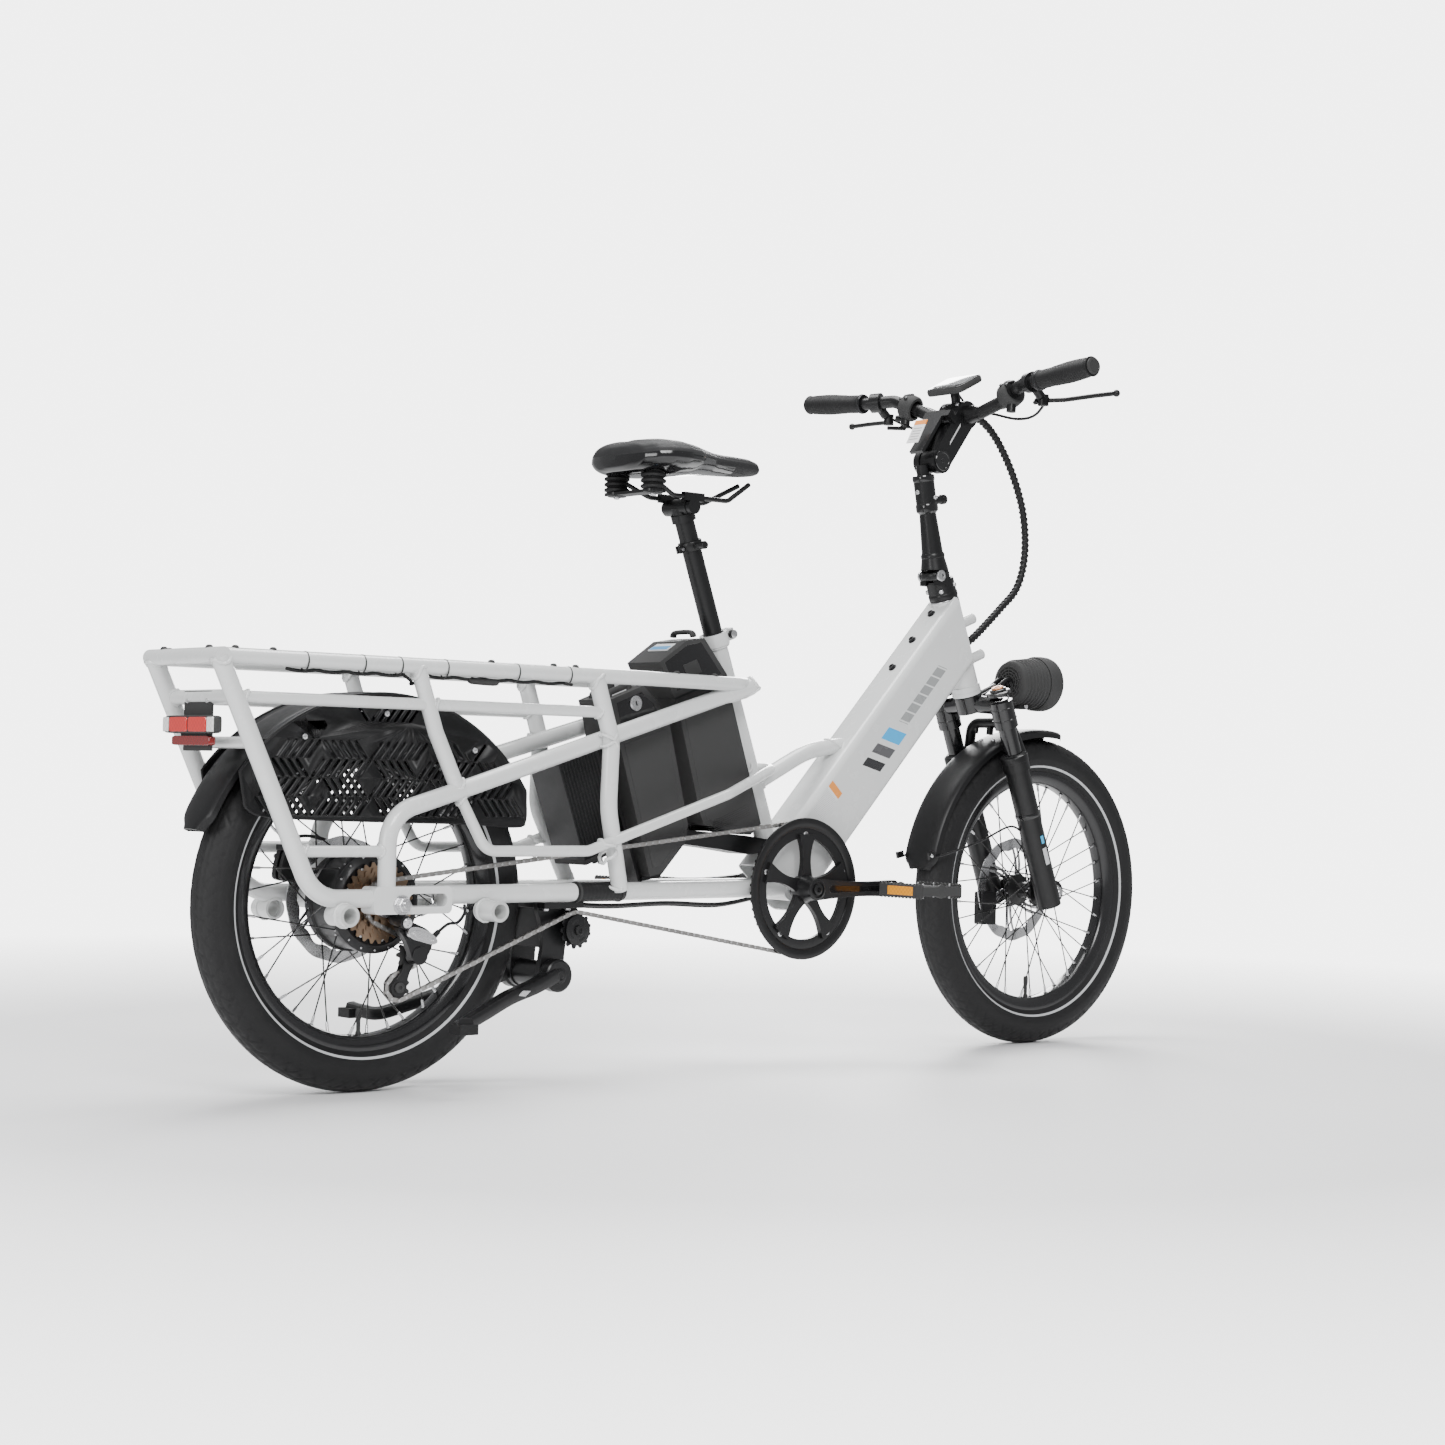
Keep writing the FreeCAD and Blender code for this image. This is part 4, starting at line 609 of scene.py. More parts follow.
def make_rim(name, node, x, body):
    """Double-wall rim: hooked edges, tapered sides and a rounded spoke bed, with a valve and its cap."""
    section = [(208.3, 16.2), (208.5, 17.6), (207.6, 18.5), (203, 18.5), (199.4, 18.2), (194.5, 16.4),
               (190.6, 14.2),
               (187.6, 11.6), (186.2, 8.0), (186, 0)]
    section += [(r, -y) for r, y in section[-2::-1]] + [(203.5, -16.2), (203.5, 16.2)]
    piece = Piece().add(lathe(section, [x, 0, AXLE_Z], Y_AXIS, 180, closed=True))
    a = radians(-90)
    foot = np.array([x + 186 * cos(a), 0, AXLE_Z + 186 * sin(a)])
    inwards = np.array([-cos(a), 0, -sin(a)])
    stem = [(4.2, -1), (4.2, 3), (3.0, 5), (3.0, 21), (3.6, 22), (4.1, 24), (4.1, 33), (3.2, 36), (0.4, 36.5)]
    piece.add(lathe(stem, foot, inwards, 18), 1)
    _, rim_ends = spoke_places(70, (30, 25), 26)
    for q in rim_ends:
        eyelet = [(4.0, -0.2), (3.8, 0.7), (2.6, 0.9), (2.4, 0.2)]
        piece.add(lathe(eyelet, [x, 0, AXLE_Z] + q, -unit(q * [1, 0, 1]), 12), 0)
    piece.make(name, [finish("rim_black", (0.016, 0.016, 0.017), 0.22, metal=0.35, coat=0.3, grain=300,
                             bump=0.03),
                      black_plastic()], body, [node], sharp=40)


def rotor_shape(piece, x, y, slot=0, hub_r=22.0):
    """Wavy brake disc: outer edge 90 mm with shallow scallops, a plain band and swept arms."""
    n, t, arms = 288, 1.8, 6
    a = np.linspace(0, 2 * pi, n, endpoint=False)
    wave = 89.2 + 0.8 * np.cos(12 * a)
    inner = 70.5 + 2.2 * np.cos(12 * a + 1.0)

    def ring(r, yy):
        return np.stack([x + r * np.cos(a), np.full(n, yy), AXLE_Z + r * np.sin(a)], -1)

    band = np.stack([ring(inner, y), ring(wave, y), ring(wave, y + t), ring(inner, y + t)], 1)
    piece.add(flipped(grid(band, wrap_u=True, wrap_v=True)), slot)
    for i in range(arms):
        b = 2 * pi * i / arms
        for k, lean in ((0, 0.42), (1, 0.20)):
            s = np.linspace(0, 1, 9)[:, None]
            turn = b + lean * s * (1 if k == 0 else 1.6) + k * 0.25
            mid = hub_r + (73 - hub_r) * s
            w = 3.2 - 1.0 * s
            normal = w / mid
            corner = [np.concatenate([x + mid * np.cos(turn + e * normal), np.full_like(mid, yy),
                                      AXLE_Z + mid * np.sin(turn + e * normal)], 1)
                      for e, yy in ((-1, y), (1, y), (1, y + t), (-1, y + t))]
            piece.add(flipped(grid(np.stack(corner, 1), wrap_v=True, caps=True)), slot)
    hub = lathe([(10.0, 0), (hub_r + 1, 0), (hub_r + 1, t), (10.0, t)], [x, y, AXLE_Z], Y_AXIS, 48,
                closed=True)
    piece.add(hub, slot)
    for i in range(6):
        b = 2 * pi * (i + 0.5) / 6
        piece.add(bolt([x + 18 * cos(b), y + t, AXLE_Z + 18 * sin(b)], Y_AXIS, 3.4, 2.4), slot + 1)


def build_wheels():
    make_tyre("rear_tyre_tread", "rear_tyre", 0.0, "rear_wheel")
    make_tyre("front_tyre_tread", "front_tyre", FRONT_X, "front_wheel")
    make_rim("rear_rim_profile", "rear_rim", 0.0, "rear_wheel")
    make_rim("front_rim_profile", "front_rim", FRONT_X, "front_wheel")
    make_spokes("rear_spoke_set", "rear_spokes", 0.0, "rear_wheel", 71.6, (30.5, 25.5), 26)
    make_spokes("front_spoke_set", "front_spokes", FRONT_X, "front_wheel", 27.6, (29.5, 24.5), 62)


def build_hub_motor():
    """Black motor shell with a ribbed side cover, screws round it, freehub, brake disc."""
    c = np.array([0, 0, AXLE_Z])
    shell = [(6.2, -40), (20, -40.5), (22, -42), (40, -42), (42, -40), (56, -39), (60, -40.5), (64, -37),
             (70.6, -35),
             (71, -33.5), (71, -22.5), (68, -20), (68, 20), (71, 22.5), (71, 33.5), (70.6, 35), (64, 37),
             (58, 40),
             (42, 40), (40, 42), (24, 42), (22, 44), (6.2, 44)]
    piece = Piece().add(lathe(shell, c, Y_AXIS, 96, closed=False))
    for i in range(9):
        a = 2 * pi * i / 9
        for side in (-1, 1):
            p = c + [52 * cos(a), side * 39.6, 52 * sin(a)]
            piece.add(bolt(p, [0, side, 0], 3.0, 2.2), 1)
    for i in range(18):
        a = 2 * pi * (i + 0.5) / 18
        for side in (-1, 1):
            q = c + [66.2 * cos(a), side * 28, 66.2 * sin(a)]
            piece.add(rod(q, q + [0, side * 9.4, 0], 1.7, n=8), 1)
    for i in range(12):
        a = 2 * pi * i / 12
        rib = slab(c + [31 * cos(a), 42.2, 31 * sin(a)], [cos(a), 0, sin(a)], [-sin(a), 0, cos(a)],
                   (13, 2.0, 1.6))
        piece.add(rib, 0, False)
    piece.add(lathe([(6.2, -66), (16.6, -66), (16.9, -64), (16.9, -40), (6.2, -40)], c, Y_AXIS, 40), 2)
    piece.add(lathe([(6.2, 40), (22, 40), (22, 50), (20, 52), (6.2, 52)], c, Y_AXIS, 40), 0)
    rotor_shape(piece, 0.0, 52.1, 3, hub_r=21)
    piece.make("hub_motor_shell", [black_satin(), silver(), dark_metal(), silver(), dark_metal()],
               "rear_wheel",
               ["hub_motor"], bevel=0.4)


def build_front_hub():
    c = np.array([FRONT_X, 0, AXLE_Z])
    shell = [(6.2, -48.8), (11.5, -48.8), (12, -47), (13.5, -34), (20, -33), (27, -31.5), (27.6, -29),
             (27, -23),
             (20, -19), (14.5, -14), (13.6, 0), (14.5, 14), (20, 17), (27, 21), (27.6, 26), (27, 30),
             (22, 32),
             (21.5, 36), (12.5, 37), (12, 48.8), (6.2, 48.8)]
    piece = Piece().add(lathe(shell, c, Y_AXIS, 64, closed=True))
    rotor_shape(piece, FRONT_X, 33.1, 1, hub_r=21)
    piece.make("front_hub_shell", [black_satin(), silver(), dark_metal()], "front_wheel", ["front_hub"],
               bevel=0.4)


# ------------------------------------------------------------------ fenders and skirts
SHEET = 2.4                      # thickness of the moulded fenders


def arc_sheet(x, radius, half_w, drop, a0, a1, n=70, end_round=0.0):
    """Fender: a crowned strip carried round the axle from a0 to a1 degrees; its rims lie lower by drop."""
    a = np.radians(np.linspace(a0, a1, n))[:, None]
    v = np.linspace(-1, 1, 21)[None, :]
    y = half_w * np.sin(v * pi / 2)
    crown = drop * (1 - np.sqrt(np.clip(1 - 0.985 * v**2, 0, 1)))
    lip = 1.4 * np.exp(-((np.abs(v) - 0.93) / 0.05) ** 2)
    taper = np.ones_like(a)
    if end_round:
        edge = np.minimum(np.abs(a - a[0]), np.abs(a[-1] - a)) * radius
        taper = np.clip(np.sqrt(np.clip(1 - (1 - np.clip(edge / end_round, 0, 1)) ** 2, 0.02, 1)), 0.55, 1)

    def skin(extra):
        r = radius - crown + lip - extra
        return np.stack([x + r * np.cos(a), y * taper + 0 * a, AXLE_Z + r * np.sin(a)], -1)

    outer, inner = skin(0.0), skin(SHEET)
    pts = np.concatenate([outer, inner[:, ::-1]], 1)
    return grid(pts, wrap_v=True, caps=True)


def build_fenders():
    """Rear fender with a flared flap, bracket and screws; front fender with its wire stays and clips."""
    piece = Piece().add(flipped(arc_sheet(0.0, 293.0, 36.0, 13.0, 22, 160, 90, 30)))
    piece.add(slab([-211, 0, 481], [1, 0, 0], Y_AXIS, (30, 24, 3.0)), 1, False)
    for y in (-7, 7):
        piece.add(bolt([-204, y, 482.5], Z_AXIS, 3.6, 3), 2)
    piece.make("rear_fender_skin", [fender_plastic(), black_satin(), silver()], "frame", ["rear_fender"],
               bevel=0.3)

    piece = Piece().add(flipped(arc_sheet(FRONT_X, 282.0, 36.0, 15.0, 78, 172, 70, 26)))
    for s in (-1, 1):
        leg = head(-330, -8, s * 58)
        clip = np.array([FRONT_X - 275, s * 37.2, AXLE_Z + 62])
        wire = smooth_path([leg, leg + [-30, s * -2, 8], (leg + clip) / 2 + [0, s * 3, 3],
                            clip + [16, s * 2, 0], clip], 30)
        piece.add(sweep(wire, 1.9, 10), 1)
        piece.add(slab(clip + [-4, 0, 0], [1, 0, 0.2], Y_AXIS, (14, 5, 11)), 1, False)
        piece.add(bolt(clip + [-6, s * 2.4, 0], [0, s, 0], 3.2, 2.6), 2)
        piece.add(rod(leg, leg + [12, s * 4, -3], 4.6, n=14), 1)
    low, high = head(-168, 30), head(-151, 39)
    piece.add(rod(low, high, 6.0, n=20), 1)
    for y in (-14, 14):
        a = radians(113)
        p = np.array([FRONT_X + 281 * cos(a), y, AXLE_Z + 281 * sin(a)])
        piece.add(bolt(p, [cos(a), 0, sin(a)], 3.6, 3), 2)
    piece.make("front_fender_skin", [fender_plastic(), black_satin(), silver()], "lowers", ["front_fender"],
               bevel=0.3)


SKIRT_Y = 50.0


def skirt_slots():
    """Slanted slots in herringbone bands over the skirt: centre, length, lean of each."""
    slots = []
    for row, z in enumerate(np.arange(398, 560, 26.0)):
        for col, x in enumerate(np.arange(-196, 252, 12.5)):
            lean = 1 if (col // 7 + row) % 2 == 0 else -1
            xx = x + (6.2 if row % 2 else 0)
            reach = hypot(xx, z - AXLE_Z)
            if reach > 268 or z < 388 + max(0.0, (abs(xx - 20) - 190) * 0.3):
                continue
            slots.append((xx, z, 27.0, lean * radians(38)))
    return slots


def build_skirts():
    """Wheel skirts: a flat plate cut by slanted slots, a rolled rim and a flange under the fender."""
    a = np.radians(np.linspace(33, 142, 60))
    ring = 290.0
    outline = np.c_[ring * np.cos(a), AXLE_Z + ring * np.sin(a)]
    low = smooth_path([(-222, 400), (-200, 386), (-120, 381), (20, 378), (150, 376), (225, 372), (243, 380),
                       (243, 412)], 30)
    outline = np.vstack([outline, low[1:-1]])
    cutters = Piece()
    for x, z, length, lean in skirt_slots():
        t = np.linspace(0, pi, 6)
        end = np.c_[2.3 * np.cos(t), length / 2 + 2.3 * np.sin(t)]
        o = np.vstack([end, -end])
        c, s = cos(lean), sin(lean)
        o = np.c_[x + o[:, 0] * c - o[:, 1] * s, z + o[:, 0] * s + o[:, 1] * c]
        cutters.add(prism(o, -70, -30))
    tool = cutters.make("skirt_cutter", [], None)
    for s, name in ((-1, "right"), (1, "left")):
        plate = Piece().add(prism(outline, -SKIRT_Y - 1.4, -SKIRT_Y + 1.4), 0, False)
        obj = plate.make("skirt_plate_" + name, [fender_plastic()], None)
        cut = obj.modifiers.new("slots", "BOOLEAN")
        cut.object = tool
        cut.operation = "DIFFERENCE"
        cut.solver = "FAST"
        graph = bpy.context.evaluated_depsgraph_get()
        mesh = bpy.data.meshes.new_from_object(obj.evaluated_get(graph))
        obj.modifiers.clear()
        obj.data = mesh
        co = np.zeros(len(mesh.vertices) * 3)
        mesh.vertices.foreach_get("co", co)
        co = co.reshape(-1, 3)
        if s > 0:
            co[:, 1] *= -1
            mesh.flip_normals()
        mesh.vertices.foreach_set("co", co.ravel())
        mesh.update()
        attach(obj, "frame")
    bpy.data.objects.remove(tool)
    rim = np.vstack([outline, outline[:1]])
    path = np.c_[rim[:, 0], np.full(len(rim), -SKIRT_Y), rim[:, 1]]
    piece = Piece()
    piece.both(sweep(path, 2.2, 8))
    flange = np.radians(np.linspace(40, 130, 50))[:, None]
    y = np.array([[-SKIRT_Y, -30.0, -30.0, -SKIRT_Y]])
    r = np.array([[289.6, 289.6, 287.4, 287.4]])
    pts = np.stack([r * np.cos(flange), y + 0 * flange, AXLE_Z + r * np.sin(flange)], -1)
    piece.both(grid(pts, wrap_v=True, caps=True))
    for a in (55, 90, 120):
        t = radians(a)
        piece.both(bolt([262 * cos(t), -SKIRT_Y - 1.4, AXLE_Z + 262 * sin(t)], [0, -1, 0], 4.5, 3), 1)
    piece.make("skirt_rims", [fender_plastic(), silver()], "frame", ["wheel_skirts"], bevel=0.2)


# ------------------------------------------------------------------ drive train
PITCH = 12.7
CHAIN_Y = -55.0
IDLER = (337.0, 221.0)
JOCKEY_LOW = (26.0, 148.0)
JOCKEY_TOP = (44.0, 193.0)


def sprocket_r(teeth):
    return PITCH / (2 * sin(pi / teeth))


def chain_path():
    """Points every link along the chain: tangent lines between the wheels and arcs round them."""
    wheels = [(0, AXLE_Z, sprocket_r(15), 1), (BB[0], BB[2], sprocket_r(52), 1), (*IDLER, sprocket_r(13), -1),
              (*JOCKEY_LOW, sprocket_r(9), 1), (*JOCKEY_TOP, sprocket_r(9), -1)]
    runs = []
    for (x0, z0, r0, t0), (x1, z1, r1, t1) in zip(wheels, wheels[1:] + wheels[:1]):
        length = hypot(x1 - x0, z1 - z0)
        beta = atan2(z1 - z0, x1 - x0) + np.arcsin((t1 * r1 - t0 * r0) / length)
        n = np.array([-sin(beta), cos(beta)])
        runs.append((np.array([x0, z0]) + t0 * r0 * n, np.array([x1, z1]) + t1 * r1 * n))
    out = []
    for i, (a, b) in enumerate(runs):
        x, z, r, t = wheels[(i + 1) % len(wheels)]
        c = runs[(i + 1) % len(runs)][0]
        s = np.linspace(0, 1, 80)[:, None]
        out.append(a + (b - a) * s)
        a0, a1 = atan2(b[1] - z, b[0] - x), atan2(c[1] - z, c[0] - x)
        sweep_angle = ((a0 - a1) * t) % (2 * pi)
        ang = a0 - t * sweep_angle * s[1:-1, 0]
        out.append(np.c_[x + r * np.cos(ang), z + r * np.sin(ang)])
    path = np.vstack(out)
    step = np.linalg.norm(np.diff(np.vstack([path, path[:1]]), axis=0), axis=1)
    total = step.sum()
    where = np.r_[0, np.cumsum(step)]
    links = int(round(total / PITCH / 2)) * 2
    at = np.linspace(0, total, links, endpoint=False)
    closed = np.vstack([path, path[:1]])
    return np.c_[np.interp(at, where, closed[:, 0]), np.interp(at, where, closed[:, 1])]


def build_chain():
    """Roller chain: waisted side plates, inner and outer in turn, with pins whose ends stand out."""
    path = chain_path()
    piece = Piece()
    t = np.linspace(0, 2 * pi, 14, endpoint=False)
    for i, (p, q) in enumerate(zip(path, np.roll(path, -1, axis=0))):
        d = (q - p) / np.linalg.norm(q - p)
        n = np.array([-d[1], d[0]])
        mid = (p + q) / 2
        along = np.cos(t) * 10.2
        high = np.sin(t) * 4.0 * (0.78 + 0.22 * np.abs(np.cos(t)) ** 2)
        outline = mid + along[:, None] * d + high[:, None] * n
        if i % 2:
            planes = ((-3.2, -2.4), (2.4, 3.2))
        else:
            planes = ((-2.3, -1.6), (1.6, 2.3))
        for y0, y1 in planes:
            piece.add(prism(outline, CHAIN_Y + y0, CHAIN_Y + y1), 0, False)
        pin = np.array([p[0], CHAIN_Y - 3.4, p[1]])
        piece.add(rod(pin, pin + [0, 6.8, 0], 1.7, n=8), 1)
    piece.make("roller_chain", [chain_steel(), silver()], "frame", ["chain"])


def gear(piece, x, z, y, teeth, thick=1.8, inner=10.0, slot=0, tip=2.6):
    """Toothed ring: tooth outline r = root + height*profile(angle), joined to an inner edge."""
    n = teeth * 8
    a = np.linspace(0, 2 * pi, n, endpoint=False)
    u = (a * teeth / (2 * pi)) % 1.0
    r = sprocket_r(teeth) - 3.4 + (3.4 + tip) * np.clip(1.35 * (0.5 - 0.5 * np.cos(2 * pi * u)) - 0.15, 0, 1)

    def ring(rr, yy):
        return np.stack([x + rr * np.cos(a), np.full(n, yy), z + rr * np.sin(a)], -1)

    inn = np.full(n, inner)
    pts = np.stack([ring(inn, y - thick / 2), ring(r, y - thick / 2), ring(r, y + thick / 2),
                    ring(inn, y + thick / 2)], 1)
    piece.add(flipped(grid(pts, wrap_u=True, wrap_v=True)), slot, False)


def arm_outline(x0, x1, z, w0, w1, waist):
    """Crank arm seen from the side: two round ends joined by a gentle waist."""
    t = np.linspace(pi / 2, 3 * pi / 2, 14)
    back = np.c_[x0 + w0 * np.cos(t), z + w0 * np.sin(t)]
    front = np.c_[x1 - w1 * np.cos(t), z - w1 * np.sin(t)]
    s = np.linspace(0.12, 0.88, 8)
    width = w0 + (w1 - w0) * s - waist * np.sin(pi * s)
    low = np.c_[x0 + (x1 - x0) * s, z - width]
    high = np.c_[x0 + (x1 - x0) * s, z + width][::-1]
    return np.vstack([back, low, front, high])


def build_crank():
    """Crankset: toothed chainring, guard ring, five-armed spider, forged arms and end bolts."""
    x, z = BB[0], BB[2]
    piece = Piece()
    gear(piece, x, z, CHAIN_Y, 52, 1.8, 84.0, 1)
    n = 180
    guard = [(95.0, -63.2), (96.5, -64.4), (106, -65.6), (111.2, -64.8), (112, -63.0), (111.4, -60.8),
             (106, -60.4),
             (95.0, -60.6)]
    piece.add(lathe(guard[::-1], [x, 0, z], Y_AXIS, n, closed=True), 0)
    ring = [(80, -62.5), (92, -63.0), (95.5, -62.5), (95.5, -56), (80, -56)]
    piece.add(lathe(ring[::-1], [x, 0, z], Y_AXIS, n, closed=True), 0)
    for i in range(5):
        a = 2 * pi * i / 5 + radians(18)
        u = np.array([cos(a), sin(a)])
        v = np.array([-u[1], u[0]])
        s = np.linspace(0, 1, 9)
        w = 12.5 - 5.5 * np.sin(pi * np.clip(s * 1.05, 0, 1)) + 4.0 * s**3
        mid = (14 + 72 * s)[:, None] * u
        o = np.vstack([mid + w[:, None] * v, (mid - w[:, None] * v)[::-1]]) + [x, z]
        piece.add(prism(o, -68.5, -58.5), 0)
        c = np.array([x, 0, z]) + [u[0] * 86, -62.6, u[1] * 86]
        piece.add(lathe([(4.6, 0), (4.6, 1.8), (3.4, 2.6), (2.4, 2.6), (2.4, 1.0), (0.01, 1.0)], c,
                        [0, -1, 0], 16), 2)
    boss = [(0.01, -50), (20, -50), (22, -56), (22.5, -68), (20, -76), (18.5, -80), (17, -93.5),
            (14.5, -95), (12.8, -95),
            (12.5, -92.5), (8.8, -92.5), (8.4, -96), (6.4, -97), (4.2, -97), (4.2, -93.5), (0.01, -93.5)]
    piece.add(lathe(boss[::-1], [x, 0, z], Y_AXIS, 48), 0)
    right = arm_outline(x, x + 170, z, 17.5, 13.5, 3.5)
    left = arm_outline(x - 170, x, z, 13.5, 17.5, 3.5)
    piece.add(prism(right, -91.8, -79.0), 0)
    piece.add(prism(left, 79.0, 91.8), 0)
    piece.add(lathe([(0.01, 36.7), (11.9, 36.7), (12, 60), (19, 66), (20, 79), (17, 93.5), (12.8, 95),
                     (12.5, 92.5),
                     (8.4, 92.5), (8.2, 96), (4.2, 96), (4.2, 93), (0.01, 93)], [x, 0, z], Y_AXIS, 48), 0)
    piece.add(rod([x, -52, z], [x, 42, z], 11.9, n=32), 2)
    for s in (-1, 1):
        end = np.array([x - s * 170, s * 91.8, z])
        piece.add(lathe([(9.5, 0), (9.5, 1.0), (6.2, 1.4), (6.2, 0.2)], end, [0, s, 0], 24), 2)
    groove = arm_outline(x + 34, x + 140, z, 6.5, 5.2, 1.0)
    piece.add(prism(groove, -92.1, -91.6), 3)
    piece.make("crank_and_rings", [black_satin(), dark_metal(), silver(), black_gloss()], "crank",
               ["crankset"], bevel=0.9)


def pedal_shape(s):
    """Cage pedal: toothed outer plates, cross bars, rubber-free platform and amber reflectors."""
    px, z = BB[0] - s * 170, BB[2]
    piece = Piece()
    y = lambda v: s * v
    piece.add(rod([px, y(92.4), z], [px, y(105), z], 7.5, n=20), 1)
    piece.add(rod([px, y(79), z], [px, y(93), z], 5.9, n=16), 1)
    barrel = [(10.5, 0), (12.0, 3), (9.2, 12), (8.6, 50), (9.0, 84), (10.8, 92), (10.8, 96), (4, 98)]
    piece.add(lathe(barrel, [px, y(104), z], [0, s, 0], 28), 0)
    for e in (-1, 1):
        t = np.arange(0, 97, 4.0)
        tooth = np.where((np.arange(len(t)) % 2) == 0, 0.0, 3.0)
        top = np.c_[104 + t, z + 9.5 + tooth]
        o = np.vstack([top, np.c_[top[::-1, 0], 2 * z - top[::-1, 1]]])
        p, f = prism(o, 0, 4.0)
        q = np.c_[px + e * (45 - p[:, 1]), s * p[:, 0], p[:, 2]]
        turned_over = e * s < 0
        piece.add((q, f if turned_over else [g[::-1] for g in f]), 0, False)
        piece.add(slab([px + e * 45.3, y(152), z], [1, 0, 0], Y_AXIS, (2.6, 56, 14)), 2, False)
        piece.add(slab([px + e * 44.6, y(152), z], [1, 0, 0], Y_AXIS, (2.0, 64, 19)), 0, False)
    for v in (106, 128, 176, 198):
        piece.add(slab([px, y(v), z], [1, 0, 0], Y_AXIS, (88, 6, 15)), 0, False)
    for e in (-1, 1):
        for v in (117, 152, 187):
            for h in (-1, 1):
                piece.add(rod([px + e * 30, y(v), z + h * 4], [px + e * 30, y(v), z + h * 11.5], 1.8, n=8), 1)
        piece.add(slab([px + e * 30, y(152), z], [1, 0, 0], Y_AXIS, (7, 92, 12)), 0, False)
    return piece


def build_pedals():
    amber = lens_finish("amber_reflector", (0.85, 0.33, 0.02))
    for s, name in ((-1, "right"), (1, "left")):
        pedal_shape(s).make("pedal_cage_" + name, [black_plastic(), silver(), amber], "pedal_" + name,
                            ["pedal_" + name], bevel=0.6)


def build_cassette():
    piece = Piece()
    for i, teeth in enumerate((27, 23, 20, 17, 15, 13)):
        y = CHAIN_Y + 5 * (4 - i)
        if i < 1:
            y = -42.0
        elif i == 1:
            y = -43.9
        gear(piece, 0.0, AXLE_Z, y, teeth, 1.6, 18.0 if teeth < 18 else 24.0, 0, 2.3)
        if teeth >= 20:
            for k in range(6):
                a = 2 * pi * k / 6 + 0.2 * i
                r0, r1 = 20.0, 25.5
                c = np.array([cos(a), 0, sin(a)])
                piece.add(slab([c[0] * (r0 + r1) / 2, y, AXLE_Z + c[2] * (r0 + r1) / 2], c, [-c[2], 0, c[0]],
                               (r1 - r0 + 4, 9, 1.5)), 0, False)
    piece.add(lathe([(17.1, -64), (20.3, -64), (20.3, -41.2), (17.1, -41.2)], [0, 0, AXLE_Z], Y_AXIS, 48,
                    closed=True), 1)
    piece.add(lathe([(17.1, -65.6), (19.4, -65.6), (19.8, -64), (17.1, -64)], [0, 0, AXLE_Z], Y_AXIS, 48,
                    closed=True), 2)
    piece.make("cassette_cogs", [bronze(), dark_metal(), silver()], "cassette", ["cassette"])


def build_idler():
    """Idler pulley with its slotted guard disc and bolt."""
    x, z = IDLER
    piece = Piece()
    gear(piece, x, z, CHAIN_Y, 13, 1.8, 6.0, 0, 1.4)
    piece.add(lathe([(5.1, -59.6), (10, -59.6), (10, -50), (5.1, -50)], [x, 0, z], Y_AXIS, 32, closed=True),
              0)
    piece.add(lathe([(5.1, -62.0), (20, -62.0), (22, -61.4), (22, -60.2), (5.1, -60.2)], [x, 0, z], Y_AXIS,
                    56, closed=True), 1)
    for i in range(4):
        a = 2 * pi * i / 4 + 0.5
        t = np.linspace(a - 0.42, a + 0.42, 10)
        o = np.vstack([np.c_[x + 17.5 * np.cos(t), z + 17.5 * np.sin(t)],
                       np.c_[x + 13.5 * np.cos(t[::-1]), z + 13.5 * np.sin(t[::-1])]])
        piece.add(prism(o, -62.25, -61.8), 2)
    piece.make("idler_and_guard", [dark_metal(), black_satin(), black_gloss()], "idler", ["idler_pulley"],
               bevel=0.2)


